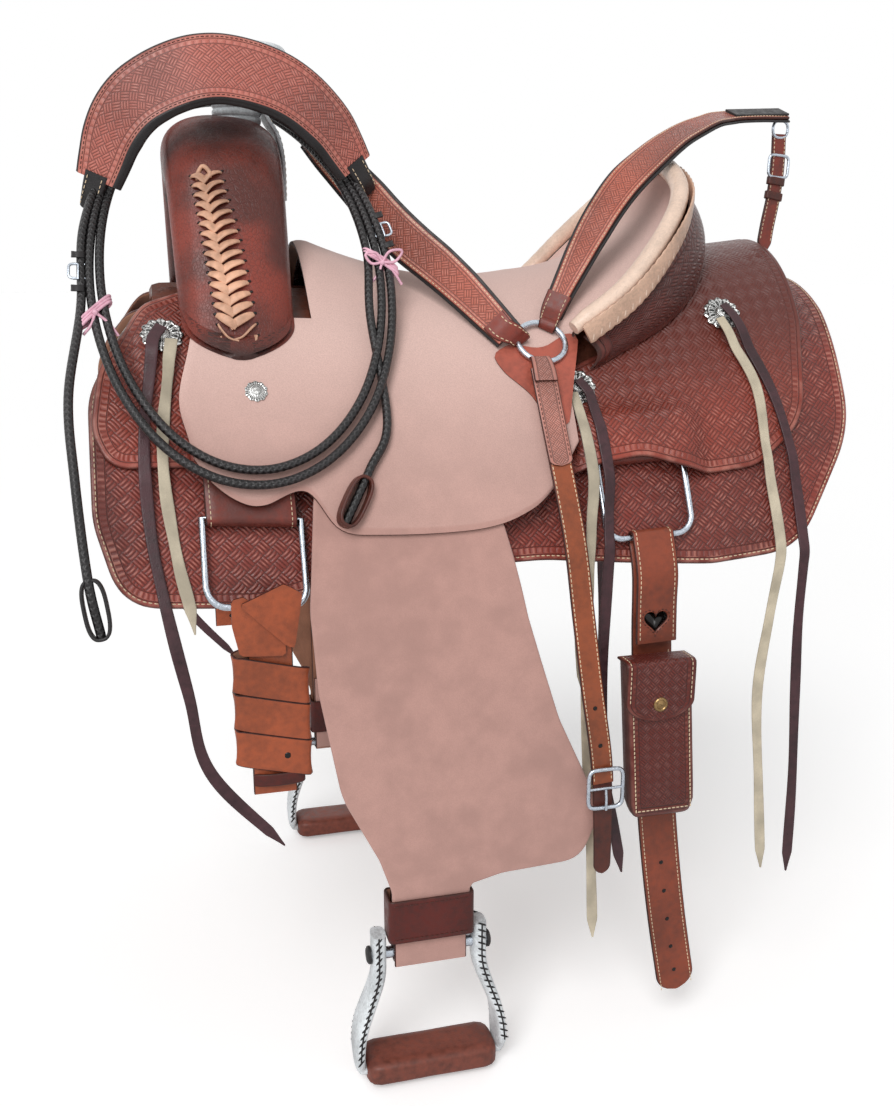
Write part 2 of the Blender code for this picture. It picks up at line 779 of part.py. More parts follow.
def seat_lift(x, q):
    """Height of the seat's top over the side: a crown at the front, low under the rider."""
    ahead = SEAT_LOW_X - x
    if ahead > 0.0:
        top = SEAT_LOW_Z + (SEAT_FRONT_Z - SEAT_LOW_Z) * (ahead / (SEAT_LOW_X - SEAT_FRONT)) ** 1.8
    else:
        top = SEAT_LOW_Z + (SEAT_REAR_Z - SEAT_LOW_Z) * (ahead / (JOCKEY_REAR - SEAT_LOW_X)) ** 2
    top = min(top, SEAT_FRONT_Z)
    centre = top - RIDGE_Z - ROCK * x * x
    side = SEAT_LIFT + SEAT_THICK
    return side + (centre - side) * (1.0 - smooth(q / NOTCH_S))


def jockey_depth(x):
    """Lower edge of the seat jockey, as arc length at x."""
    edge = [(-0.281, 0.274), (-0.268, 0.296), (-0.240, 0.312), (-0.215, 0.314), (-0.173, 0.301)]
    edge += [(-0.144, 0.336), (-0.105, 0.342), (-0.010, 0.340), (0.040, 0.326), (0.070, 0.303)]
    edge += [(0.100, 0.262)]
    return float(np.interp(x, [p[0] for p in edge], [p[1] for p in edge]))


def rim_point(tau):
    """The middle of the cantle's rolled rim, from -1 at its near end to 1 at its off end."""
    a = abs(tau)
    control = [
        (RIM_TOP_X, 0.0, RIM_TOP_Z),
        (RIM_TOP_X - 0.004, 0.34 * RIM_HALF, RIM_TOP_Z - 0.011),
        (RIM_TOP_X - 0.017, 0.66 * RIM_HALF, RIM_TOP_Z - 0.038),
        (RIM_TOP_X - 0.050, 0.88 * RIM_HALF, RIM_TOP_Z - 0.079),
        (RIM_TOP_X - 0.100, 0.99 * RIM_HALF, RIM_TOP_Z - 0.133),
        (RIM_TOP_X - 0.158, 1.03 * RIM_HALF, RIM_TOP_Z - 0.174),
    ]
    curve = along([(control[1][0], -control[1][1], control[1][2])] + control, 61)
    start = min(range(len(curve)), key=lambda i: abs(curve[i][1]))
    at = start + a * (len(curve) - 1 - start)
    low = int(min(at, len(curve) - 2))
    place = curve[low] * (1 - (at - low)) + curve[low + 1] * (at - low)
    return vec(place[0], math.copysign(1.0, tau) * place[1], place[2])


def toward_seat(tau):
    """The direction in which the seat leather leaves the rim."""
    a = abs(tau) ** 1.4
    top = vec(-0.30, 0.0, -0.95)
    end = vec(-0.05, -math.copysign(1.0, tau), 0.12)
    return unit(top * (1 - a) + end * a)


SEAT_ROWS = [JOCKEY_FRONT, -0.268, -0.242, -0.215, -0.188, -0.160, SEAT_FRONT]
SEAT_ROWS += [-0.100, -0.055, -0.005, 0.045, 0.076, JOCKEY_REAR]
INNER_COLS = [0.0, 0.25, 0.5, 0.75, 1.0]
JOCKEY_COLS = [0.2, 0.4, 0.6, 0.8, 1.0]
DISH_STEPS = 6


def seat_grid(drop):
    """The seat's top as a grid of points, let down by drop along its normal."""
    grid = []
    first = SEAT_ROWS[0]
    for x in SEAT_ROWS:
        row = []
        ahead = max(0.0, (SEAT_FRONT - x) / (SEAT_FRONT - first))
        behind = smooth((x - SEAT_FRONT) / (JOCKEY_REAR - SEAT_FRONT))
        notch = NOTCH_S + (REAR_NOTCH_S - NOTCH_S) * behind
        qs = [q * notch for q in INNER_COLS]
        qs += [notch + f * (jockey_depth(x) - notch) for f in JOCKEY_COLS]
        for side, line in ((-1.0, reversed(qs[1:])), (1.0, qs)):
            for q in line:
                bent = x + front_of_jockey(q) * ahead * ahead
                row.append(side_point(bent, q, seat_lift(bent, q), side))
        grid.append(row)
    last = grid[-1]
    middle = len(last) // 2
    reach = len(INNER_COLS) - 1
    for step in range(1, DISH_STEPS + 1):
        t = step / DISH_STEPS
        row = []
        for j, start in enumerate(last):
            across = (j - middle) / reach
            across = max(-1.0, min(1.0, across))
            tau = across * 0.95
            end = rim_point(tau) + toward_seat(tau) * (RIM_RADIUS + 0.0022)
            bend = end + toward_seat(tau) * (0.104 - 0.086 * abs(tau))
            row.append((1 - t) ** 2 * start + 2 * t * (1 - t) * bend + t * t * end)
        grid.append(row)
    if drop == 0.0:
        return grid
    normals = grid_normals_for_seat(grid)
    return [[p - n * drop for p, n in zip(row, line)] for row, line in zip(grid, normals)]


def grid_normals_for_seat(grid):
    """Seat normals. In the dish only the inner columns are real, so they set the normals there."""
    front = grid_normals(grid[: len(SEAT_ROWS)])
    middle = len(grid[0]) // 2
    reach = len(INNER_COLS) - 1
    inner = [row[middle - reach : middle + reach + 1] for row in grid]
    core = grid_normals(inner)
    normals = []
    for i, row in enumerate(grid):
        line = []
        for j in range(len(row)):
            k = j - (middle - reach)
            inside = 0 <= k < len(inner[0])
            if i >= len(SEAT_ROWS) - 1:
                line.append(core[i][min(max(k, 0), len(inner[0]) - 1)])
            elif inside and 0 < k < len(inner[0]) - 1 and i > SEAT_ROWS.index(SEAT_FRONT):
                line.append(core[i][k])
            else:
                line.append(front[i][j])
        normals.append(line)
    return normals


def in_seat(row, col):
    middle = len(INNER_COLS) + len(JOCKEY_COLS) - 1
    reach = len(INNER_COLS) - 1
    inner = middle - reach <= col < middle + reach
    if row < SEAT_ROWS.index(SEAT_FRONT):
        return not inner
    if row >= len(SEAT_ROWS) - 1:
        return inner
    return True


def make_seat():
    node("seat_leather", sheet(seat_grid(0.0), seat_grid(SEAT_THICK), in_seat), ROUGHOUT)
    first = SEAT_ROWS.index(SEAT_FRONT)
    middle = len(INNER_COLS) + len(JOCKEY_COLS) - 1
    reach = len(INNER_COLS) - 2

    def in_ground(row, col):
        inner = middle - reach <= col < middle + reach
        return inner and first <= row < len(SEAT_ROWS) + 1

    top = SEAT_THICK + GAP
    node("ground_seat", sheet(seat_grid(top), seat_grid(top + 0.0035), in_ground), STEEL)


def cantle_board():
    """The dished board under the cantle's leather, down to the bars."""
    start = len(SEAT_ROWS) + 2
    front = seat_grid(SEAT_THICK + GAP)[start:]
    back = seat_grid(SEAT_THICK + GAP + BOARD_THICK)[start:]
    middle = len(front[0]) // 2
    reach = len(INNER_COLS) - 2
    front = [row[middle - reach : middle + reach + 1] for row in front]
    back = [row[middle - reach : middle + reach + 1] for row in back]
    for row, deep in ((0, 0.018), (1, 0.010)):
        back[row] = [p - vec(0, 0, deep) for p in back[row]]
    return sheet(front, back)


def make_cantle():
    rings = []
    steps = 16
    for i in range(steps + 1):
        tau = -1.0 + 2.0 * i / steps
        here = rim_point(tau)
        _, face, side_way = rim_frame(tau)
        turn = [2 * math.pi * k / 8 for k in range(8)]
        end = 1.0 - 0.25 * smooth((abs(tau) - 0.94) / 0.06)
        radius = RIM_RADIUS * end
        rings.append([here + radius * (face * math.cos(a) + side_way * 0.9 * math.sin(a)) for a in turn])
    node("cantle_binding", loft(rings), RAWHIDE)

    foot = [(0.310, 0.0), (0.303, 0.052), (0.276, 0.100), (0.232, 0.137), (0.184, 0.160)]
    foot.append((0.150, 0.176))
    line = along([(foot[1][0], -foot[1][1])] + foot, 41)
    start = min(range(len(line)), key=lambda i: abs(line[i][1]))
    outer, inner = [], []
    for down in np.linspace(0.0, 1.0, 4):
        row_out, row_in = [], []
        for share in [c / 8 for c in range(-8, 9)]:
            tau = share * 0.88
            side = -1.0 if tau < 0 else 1.0
            _, face, back = rim_frame(tau)
            back = back if back[0] > 0 else -back
            top = rim_point(tau) + (face * 0.50 + back * 0.87) * (RIM_RADIUS + 0.0025)
            x, s = line[int(round(start + abs(share) * (len(line) - 1 - start)))]
            s = abs(s)
            low = side_point(x, s, rear_jockey_lift(x, s) + JOCKEY_THICK + 0.0031, side)
            bulge = vec(0.010, side * 0.006 * abs(share), 0.0) * math.sin(math.pi * down)
            place = top * (1 - down) + low * down + bulge
            row_out.append(place)
            row_in.append(place - unit(vec(0.85, side * 0.5 * abs(share), 0.15)) * BACK_THICK)
        outer.append(row_out)
        inner.append(row_in)
    node("cantle_back", sheet(outer, inner), SMOOTH_BROWN)


def dee_ring(x, s, drop, side):
    """A dee: a straight bar at the top, two legs, and a straight bottom with round corners."""
    half = DEE_WIDTH / 2 - DEE_BAR
    path = [(x - half, s), (x + half, s)]
    for way, degrees in ((1, (0, 30, 60, 90)), (-1, (90, 60, 30, 0))):
        for angle in np.radians(degrees):
            across = half - DEE_CORNER * (1 - math.cos(angle))
            path.append((x + way * across, s + drop - DEE_CORNER * (1 - math.sin(angle))))
    top = side_point(x, s, DEE_LIFT, side)
    low = side_point(x, s + drop, DEE_LIFT, side)
    down = (low - top) / drop
    return [top + across_side(top) * (px - x) + down * (ps - s) for px, ps in path]


def make_rigging():
    places = (("front", FRONT_DEE_X, FRONT_DEE_S, 0.075), ("rear", REAR_DEE_X, REAR_DEE_S, 0.026))
    for name, side in SIDES.items():
        for end, x, s, run in places:
            width = DEE_WIDTH - 2 * (DEE_BAR + GAP) - 0.0062
            strap = fold((x, s), run, DEE_LIFT, DEE_BAR, width, STRAP_THICK, side, 0.026)
            node(end + "_rigging_" + name, strap, STAMPED)
            on = end + "_dee_pivot_" + name
            pivot(on, side_point(x, s, DEE_LIFT, side))
            ring = dee_ring(x, s, DEE_DROP, side)
            node(end + "_dee_" + name, rod(ring, DEE_BAR, 6, True, side_normal(s, side)), STEEL, on)


def hang_y(lift, side):
    """How far out a plumb leather hangs, below the skirt."""
    return side_point(LEATHER_X, 0.60, lift, side, True)[1]


def make_fenders():
    half = LEATHER_WIDTH / 2
    neck = half + 0.0025
    outline = rounded(
        [
            (-0.142, 0.205, 0.03),
            (-0.166, 0.310, 0.06),
            (-0.177, 0.405, 0.10),
            (-0.172, 0.480, 0.10),
            (-0.152, 0.590, 0.10),
            (LEATHER_X - neck - 0.012, 0.660, 0.03),
            (LEATHER_X - neck, 0.696, 0.01),
            (LEATHER_X - neck, 0.752, 0.003),
            (LEATHER_X + neck, 0.752, 0.003),
            (LEATHER_X + neck, 0.697, 0.006),
            (0.010, 0.689, 0.06),
            (0.095, 0.686, 0.03),
            (0.114, 0.640, 0.03),
            (0.102, 0.602, 0.05),
            (0.068, 0.527, 0.10),
            (0.034, 0.420, 0.10),
            (0.014, 0.330, 0.10),
            (-0.012, 0.205, 0.03),
        ]
    )
    for name, side in SIDES.items():
        hinge = side_point(LEATHER_X, PIVOT_S, FENDER_LIFT, side)
        pivot("fender_pivot_" + name, hinge)
        on = "fender_pivot_" + name
        node("fender_" + name, panel(outline, FENDER_LIFT, FENDER_THICK, side, True), ROUGHOUT, on)

        outer = FENDER_LIFT - GAP - STRAP_THICK / 2
        upper = BAR_TOP + STRAP_THICK / 2 + 0.0012
        path = []
        for s in (LEATHER_TOP_S, 0.13, 0.145, 0.16, 0.177):
            path.append(side_point(LEATHER_X, s, upper, side))
        for s in (0.20, 0.25, 0.31, 0.37, 0.43, 0.52, 0.60):
            path.append(side_point(LEATHER_X, s, outer, side, True))
        reach = (BOLT_RADIUS + GAP + STRAP_THICK / 2) * FOLD_ROOM
        bolt_y = hang_y(outer, side) - side * reach
        bolt = vec(LEATHER_X, bolt_y, BOLT_Z)
        for k in range(5):
            angle = math.pi * k / 4
            path.append(bolt + vec(0.0, side * reach * math.cos(angle), -reach * math.sin(angle)))
        path.append(vec(LEATHER_X, bolt_y - side * reach, BOLT_Z + 0.10))
        flat = vec(1.0, 0.0, 0.0)
        across = [across_side(p) for p in path[:7]] + [flat] * (len(path) - 7)
        node("stirrup_leather_" + name, ribbon(path, across, 2 * half, STRAP_THICK), ROUGHOUT, on)

        middle_y = bolt_y + side * (FENDER_THICK + GAP) / 2
        thick = STRAP_THICK - 0.0004
        depth = reach + STRAP_THICK / 2 + (FENDER_THICK + GAP) / 2 + 0.0007 + thick / 2
        wide = neck + 0.0012 + thick / 2
        loop = []
        turn = 0.003
        for cx, cy, start in ((1, 1, 0), (-1, 1, 90), (-1, -1, 180), (1, -1, 270)):
            for k in range(3):
                angle = math.radians(start + 45 * k)
                px = cx * (wide - turn) + turn * math.cos(angle)
                py = cy * (depth - turn) + turn * math.sin(angle)
                loop.append(vec(LEATHER_X + px, middle_y + py, BOLT_Z + 0.0185 + HOBBLE_HEIGHT / 2))
        shape = ribbon(loop, vec(0.0, 0.0, 1.0), HOBBLE_HEIGHT, thick, True)
        node("hobble_strap_" + name, shape, DARK, on)
        make_stirrup(name, side, bolt)


def stirrup_path(count):
    """Middle line of the stirrup's bow, from one branch's top round the tread to the other."""
    top = LEATHER_WIDTH / 2 + BRANCH_THICK / 2 + 0.0075
    low = STIRRUP_WIDTH / 2 - BRANCH_THICK / 2
    height = STIRRUP_HEIGHT - TREAD_HEIGHT / 2
    half = [
        (top, 0.024),
        (top, 0.0),
        (top + 0.002, -0.028),
        (low - 0.004, -height * 0.60),
        (low, -height * 0.80),
        (low, -height + 0.011),
    ]
    corner = [(low - 0.0015, -height + 0.0015), (low - 0.011, -height), (0.0, -height)]
    right = along(half, count) + [np.array(p) for p in corner]
    left = [np.array((-p[0], p[1])) for p in reversed(right[:-1])]
    return right + left


OCTAGON = [(1, 0.6), (0.6, 1), (-0.6, 1), (-1, 0.6), (-1, -0.6), (-0.6, -1), (0.6, -1), (1, -0.6)]


def make_stirrup(name, side, bolt):
    pivot("stirrup_pivot_" + name, bolt, "fender_pivot_" + name)
    on = "stirrup_pivot_" + name

    def place(across, height, depth):
        return bolt + vec(across, side * depth, height)

    line = stirrup_path(8)
    rings = []
    for i, (across, height) in enumerate(line):
        before, after = line[max(i - 1, 0)], line[min(i + 1, len(line) - 1)]
        way = unit(np.array(after) - np.array(before))
        inward = np.array((way[1], -way[0]))
        low = smooth(-height / (STIRRUP_HEIGHT * 0.8))
        deep = BRANCH_DEPTH / 2 * (0.52 + 0.48 * low)
        if height < -STIRRUP_HEIGHT + TREAD_HEIGHT / 2 + 0.002:
            deep *= 0.62
        thick = BRANCH_THICK / 2 - 0.0022 * low
        ring = []
        for u, v in OCTAGON:
            wide = inward * thick * u
            ring.append(place(across + wide[0], height + wide[1], deep * v))
        rings.append(ring)
    frame = node("stirrup_" + name, loft(rings), HIDE, on)
    reach = line[0][0] + 0.004
    ends = [place(-reach, 0, 0), place(reach, 0, 0)]
    bolt_rod = node("stirrup_bolt_" + name, rod(ends, BOLT_RADIUS, 12), STEEL, on, helper=True)
    boolean(frame, bolt_rod, "UNION")

    centre = -(STIRRUP_HEIGHT - TREAD_HEIGHT / 2)
    half = TREAD_WIDTH / 2
    bow = BRANCH_THICK / 2 - 0.0022 + 0.0012
    bow_deep = BRANCH_DEPTH / 2 * 0.62 + 0.0016
    rings = []
    for across, size in ((-half, 0.80), (-half + 0.010, 1.0), (half - 0.010, 1.0), (half, 0.80)):
        high, deep = TREAD_HEIGHT / 2 * size, TREAD_DEPTH / 2 * size
        rings.append([place(across, centre + high * v, deep * u) for u, v in rounded_square(3)])
    for across in (half, -half):
        rings.append([place(across, centre + bow * v, bow_deep * u) for u, v in rounded_square(3)])
    node("stirrup_tread_" + name, loft(rings, looped=True), TREAD_BROWN, on)


def rounded_square(steps):
    """Points of a unit square with round corners."""
    points = []
    for cx, cy, start in ((0.55, 0.55, 0), (-0.55, 0.55, 90), (-0.55, -0.55, 180), (0.55, -0.55, 270)):
        for k in range(steps):
            angle = math.radians(start + 90 * k / (steps - 1))
            points.append((cx + 0.45 * math.cos(angle), cy + 0.45 * math.sin(angle)))
    return points


def hanging_fold(x, s, side, outer_drop, inner_drop, width, fold_width, sweep=0.0):
    """A strap folded over a dee's bottom bar. Both plies lie on the skirt to its edge, then hang plumb.

    Returns the bar's centre, the plumb outer ply's y and the strap's shape.
    """
    reach = (DEE_BAR + GAP + STRAP_THICK / 2) * FOLD_ROOM
    centre = side_point(x, s, DEE_LIFT, side)
    out = side_normal(s, side)
    up = unit(side_point(x, s - 0.01, DEE_LIFT, side) - side_point(x, s + 0.01, DEE_LIFT, side))
    edge = SKIRT_DEPTH + 0.006
    plies = []
    for way, drop, lift in ((1, outer_drop, DEE_LIFT + reach), (-1, inner_drop, DEE_LIFT - reach)):
        ply = [side_point(x, edge, lift, side)] if s + 0.012 < edge else []
        start = ply[-1] if ply else centre + out * reach * way
        close = 0.0 if ply else reach - STRAP_THICK / 2 - 0.0006
        for k in range(1, 6):
            share = k / 5
            down = centre[2] - drop * share
            swept = x + sweep * (drop * share / BILLET_DROP) ** 2
            if down < start[2] - 0.012:
                ply.append(vec(swept, start[1] - side * way * close, down))
        plies.append(ply)
    turn = [math.pi * k / 4 for k in range(5)]
    arc = [centre + reach * (out * math.cos(a) + up * math.sin(a)) for a in turn]
    path = plies[0][::-1] + arc + plies[1]
    near = [abs(p[2] - centre[2]) < 0.04 for p in path]
    across = [across_side(p) if close_by else vec(1.0, 0.0, 0.0) for p, close_by in zip(path, near)]
    widths = [width] * len(plies[0]) + [fold_width] * 5 + [width] * len(plies[1])
    return centre, plies[0][-1][1], ribbon(path, across, widths, STRAP_THICK)


def make_latigos():
    low_s = FRONT_DEE_S + DEE_DROP
    for name, side in SIDES.items():
        dee = "front_dee_pivot_" + name
        drops = (LATIGO_DROP, LATIGO_DROP) if name == "left" else (0.120, 0.190)
        x = FRONT_DEE_X + 0.009
        centre, _, shape = hanging_fold(x, low_s, side, *drops, LATIGO_WIDTH, 0.034)
        on = "latigo_pivot_left" if name == "left" else "off_billet_pivot"
        pivot(on, centre, dee)
        node("latigo_left" if name == "left" else "off_billet_right", shape, HARNESS, on)
        if name == "left":
            make_wraps(centre)


def make_wraps(centre):
    """The latigo's tail, wound round its own plies in flat turns and tucked."""
    middle = centre[1]
    deep = 1.5 * STRAP_THICK + 0.0013
    top = centre[2] - 0.052
    steps = 10
    path = []
    for k in range(WRAPS * steps + 1):
        angle = 2 * math.pi * k / steps + math.pi * 1.5
        across = WRAP_HALF * math.copysign(abs(math.cos(angle)) ** 0.6, math.cos(angle))
        out_by = deep * math.copysign(abs(math.sin(angle)) ** 0.6, math.sin(angle))
        drop = (WRAP_WIDTH + 0.0025) * k / steps
        path.append(vec(centre[0] + across, middle - out_by, top - drop))
    shape = ribbon(path, vec(0.0, 0.0, 1.0), WRAP_WIDTH, 0.0028)
    node("latigo_wraps_left", shape, HARNESS, "latigo_pivot_left")


def heart(size):
    """Outline of a heart, as across and up from its middle."""
    points = []
    for k in range(16):
        t = 2 * math.pi * k / 16
        across = 16 * math.sin(t) ** 3
        up = 13 * math.cos(t) - 5 * math.cos(2 * t) - 2 * math.cos(3 * t) - math.cos(4 * t)
        points.append((across * size / 32, up * size / 32))
    return points


def make_flank_billets():
    low_s = REAR_DEE_S + DEE_DROP
    for name, side in SIDES.items():
        widths = (BILLET_WIDTH, BILLET_WIDTH)
        drops = (FRONT_PLY, BILLET_DROP)
        centre, outer_y, shape = hanging_fold(REAR_DEE_X, low_s, side, *drops, *widths, BILLET_SWEEP)
        on = "flank_billet_pivot_" + name
        pivot(on, centre, "rear_dee_pivot_" + name)
        billet = node("flank_billet_" + name, shape, HARNESS, on)
        if name == "left":
            rings = []
            for depth in (-0.02, 0.02):
                flat = heart(HEART_SIZE)
                rings.append([vec(centre[0] + a, outer_y + depth, HEART_Z + b) for a, b in flat])
            cutter = node("heart_cutter", loft(rings), HARNESS, on, helper=True)
            boolean(billet, cutter, "DIFFERENCE")
            make_pouch(centre, outer_y, side, on)


def make_pouch(centre, outer_y, side, on):
    """The knife pouch on the near flank billet, against its outer face."""
    back = outer_y + side * (STRAP_THICK / 2 + 0.0008)
    front = back + side * POUCH_DEPTH
    x = centre[0] - 0.004
    half = POUCH_WIDTH / 2
    low = POUCH_TOP_Z - POUCH_HEIGHT
    wall = POUCH_WALL
    middle = (back + front) / 2
    rings = []
    for z, inset, shrink in (
        (low, 0.0, 0.82),
        (low + 0.012, 0.0, 0.98),
        (POUCH_TOP_Z, 0.0, 1.0),
        (POUCH_TOP_Z, wall, 1.0),
        (low + 0.012, wall, 0.98),
        (low + wall, wall, 0.82),
    ):
        shift = 0.012 * (POUCH_TOP_Z - z) / POUCH_HEIGHT
        ring = []
        for u, v in rounded_square(3):
            place = vec(x + shift + u * (half - inset) * shrink, middle + v * (POUCH_DEPTH / 2 - inset), z)
            ring.append(place)
        rings.append(ring)
    node("billet_pouch", loft(rings), STAMPED, on)
    top = POUCH_TOP_Z + 0.0022
    hinge = vec(x, back + side * 0.0013, top)
    pivot("pouch_flap_pivot", hinge, on)
    path = [
        vec(x, back + side * 0.0013, top),
        vec(x, front - side * 0.001, top + 0.0008),
        vec(x, front + side * 0.0030, top - 0.0015),
        vec(x, front + side * 0.0026, POUCH_TOP_Z - FLAP_DROP * 0.6),
        vec(x, front + side * 0.0026, POUCH_TOP_Z - FLAP_DROP),
    ]
    wide = POUCH_WIDTH + 0.006
    shape = ribbon(path, vec(1.0, 0.0, 0.0), [wide, wide, wide, wide, wide * 0.72], 0.0026)
    node("pouch_flap", shape, STAMPED, "pouch_flap_pivot")


CONCHOS = {
    "front": (-0.292, 0.150, front_jockey_lift),
    "mid": (0.1155, 0.198, rear_jockey_lift),
    "rear": (0.294, 0.132, rear_jockey_lift),
}

STRING_ENDS = {
    "front": [
        [(-0.296, 0.232), (-0.299, 0.290), (-0.292, 0.362), (-0.284, 0.405), (-0.281, 0.430)],
        [(-0.314, 0.243), (-0.315, 0.327), (-0.307, 0.396), (-0.290, 0.488), (-0.274, 0.566)]
        + [(-0.208, 0.644)],
    ],
    "mid": [
        [(0.111, 0.297), (0.102, 0.374), (0.101, 0.514), (0.110, 0.648), (0.118, 0.796)],
        [(0.127, 0.297), (0.121, 0.375), (0.119, 0.516), (0.124, 0.600), (0.136, 0.660)]
        + [(0.148, 0.723)],
    ],
    "rear": [
        [(0.309, 0.211), (0.306, 0.287), (0.309, 0.378), (0.300, 0.456), (0.292, 0.542)]
        + [(0.301, 0.646), (0.311, 0.750)],
        [(0.325, 0.220), (0.334, 0.311), (0.334, 0.401), (0.333, 0.472), (0.336, 0.550)]
        + [(0.341, 0.655), (0.342, 0.761)],
    ],
}


def string_point(x, s, lift, edge, drift, side):
    """A string lies on the leather as far as the skirt's edge, and hangs plumb below it."""
    if s <= edge:
        return side_point(x, s, lift, side)
    return side_point(x, edge, lift, side) + vec(0.0, side * drift * smooth((s - edge) / 0.04), edge - s)


def make_conchos_and_strings():
    for name, side in SIDES.items():
        for place_name, (x, s, lift) in CONCHOS.items():
            out = surface_normal(x, s, lift, side)
            centre = side_point(x, s, lift(x, s) + JOCKEY_THICK, side) + out * 0.0014
            outline = [
                (CONCHO_RADIUS, 0.0),
                (CONCHO_RADIUS, 0.0012),
                (CONCHO_RADIUS * 0.70, CONCHO_THICK * 0.55),
                (CONCHO_RADIUS * 0.45, CONCHO_THICK * 0.45),
                (CONCHO_RADIUS * 0.30, CONCHO_THICK),
            ]
            node("concho_" + place_name + "_" + name, lathe(outline, centre, out, 16), SILVER)
            make_string(place_name, name, side, x, s, lift)


def make_string(place_name, name, side, x, s, lift):
    """One thong, doubled through its concho: one end hangs forward of the other."""
    first, second = STRING_ENDS[place_name]
    edge = {"front": FRONT_JOCKEY_DEPTH, "mid": REAR_JOCKEY_DEPTH, "rear": REAR_JOCKEY_DEPTH}[place_name]
    half = STRING_WIDTH / 2

    def ground(px, ps):
        """The height of what lies under the string."""
        here = SKIRT_THICK
        if ps < edge + 0.012:
            here = max(lift(px - half, ps), lift(px, ps), lift(px + half, ps)) + JOCKEY_THICK
        if place_name == "mid" and REAR_DEE_S - 0.03 < ps < REAR_DEE_S + DEE_DROP + 0.01:
            here = max(here, DEE_LIFT + DEE_BAR)
        return here

    def lie(px, ps):
        near = math.hypot(px - x, ps - s) < CONCHO_RADIUS + 0.012
        return ground(px, ps) + STRING_RISE + (CONCHO_THICK + 0.0006 if near else 0.0)

    gap = 0.0082
    way = 1.0 if second[0][0] > first[0][0] else -1.0
    arch = []
    for k in range(5):
        angle = math.pi * k / 4
        px, ps = x - way * gap * math.cos(angle), s + 0.010 - 0.014 * math.sin(angle)
        arch.append((px, ps, ground(px, ps) + CONCHO_THICK + 0.0038))
    hang = (FRONT_SKIRT_DEPTH if place_name == "front" else SKIRT_DEPTH) + 0.006
    close = REAR_DEE_S + DEE_DROP + 0.025 if place_name == "mid" else edge + 0.02
    ends = []
    for start, line in ((arch[0][:2], first), (arch[-1][:2], second)):
        fine = along([start] + line, 60)
        picked = [fine[0]]
        for point in fine[1:-1]:
            step = math.dist(point, picked[-1])
            near = step > 0.016 and point[1] < close
            if step > 0.075 or near or picked[-1][1] < hang <= point[1]:
                picked.append(point)
        ends.append([tuple(point) for point in picked[1:] + [fine[-1]]])
    route = [(px, ps, lie(px, ps)) for px, ps in ends[0][::-1]] + arch
    route += [(px, ps, lie(px, ps)) for px, ps in ends[1]]
    on = "string_" + place_name + "_pivot_" + name
    pivot(on, side_point(x, s, lift(x, s) + JOCKEY_THICK, side))
    drift = 0.008 if place_name == "front" else 0.0
    path = [string_point(px, ps, height, hang, drift, side) for px, ps, height in route]
    normals = [side_normal(min(ps, hang), side) for _, ps, _ in route]
    across = [np.cross(t, n) for t, n in zip(tangents(path), normals)]
    widths = [STRING_WIDTH] * len(path)
    widths[0] = widths[-1] = STRING_WIDTH * 0.5
    node("string_" + place_name + "_" + name, ribbon(path, across, widths, STRING_THICK), DARK, on)


def make_bridle():
    """The bridle, hung over the horn: its wide band in front and its reins coiled below."""
    pivot("bridle_pivot", vec(HORN_X, 0.034, LOOP_Z + LOOP_DROP), "breast_collar_pivot")
    arch = along(
        [
            (-0.343, -0.078, 0.188),
            (-0.322, -0.088, 0.240),
            (-0.288, -0.092, 0.272),
            (-0.230, -0.096, 0.291),
            (-0.165, -0.092, 0.279),
            (-0.118, -0.084, 0.246),
            (-0.088, -0.072, 0.204),
        ],
        17,
    )
    swell = [math.sin(math.pi * (0.06 + 0.88 * i / 16)) ** 0.7 for i in range(17)]
    widths = [BAND_WIDTH * (0.42 + 0.58 * share) for share in swell]
    across = []
    for place in arch:
        outward = unit(vec(place[0] + 0.215, 0.0, place[2] - 0.15))
        across.append(unit(outward * 0.92 + vec(0.0, 0.38, 0.0)))
    node("bridle_band", ribbon(arch, across, widths, BAND_THICK), STAMPED, "bridle_pivot")
    up = unit(vec(0.12, 1.0, 0.55))
    node("bridle_reins", rod(rein_path(), REIN_RADIUS, 5, False, up), BLACK, "bridle_pivot")


def rein_path():
    """The reins: up from one end, round the coil turn by turn, and down to the other end."""
    path = [vec(-0.361, -0.306, -0.200), vec(-0.369, -0.298, -0.150), vec(-0.375, -0.262, -0.070)]
    path.append(vec(-0.377, -0.218, -0.002))
    for k in range(REIN_STEPS + 1):
        path.append(loop_point(math.radians(186.0 - 22.5 * k), k / 16))
    tail = ((-0.090, 0.238), (-0.112, 0.283), (-0.140, 0.333))
    path += [side_point(x, s, 0.037, -1.0) for x, s in tail]
    return path


def loop_point(angle, turn):
    """A point of the coil. Each turn is smaller than the last, and all of them hang on the horn's post."""
    x = LOOP_X + LOOP_HALF * (1.0 - 0.064 * turn) * math.cos(angle)
    drop = LOOP_DROP * (1.0 - 0.034 * turn)
    z = LOOP_Z + LOOP_DROP - drop + drop * math.sin(angle)
    y = float(np.interp(z, [p[0] for p in LOOP_LEAN], [p[1] for p in LOOP_LEAN]))
    return vec(x, y + 0.0098 * turn * smooth((math.sin(angle) - 0.2) / 0.6), z)


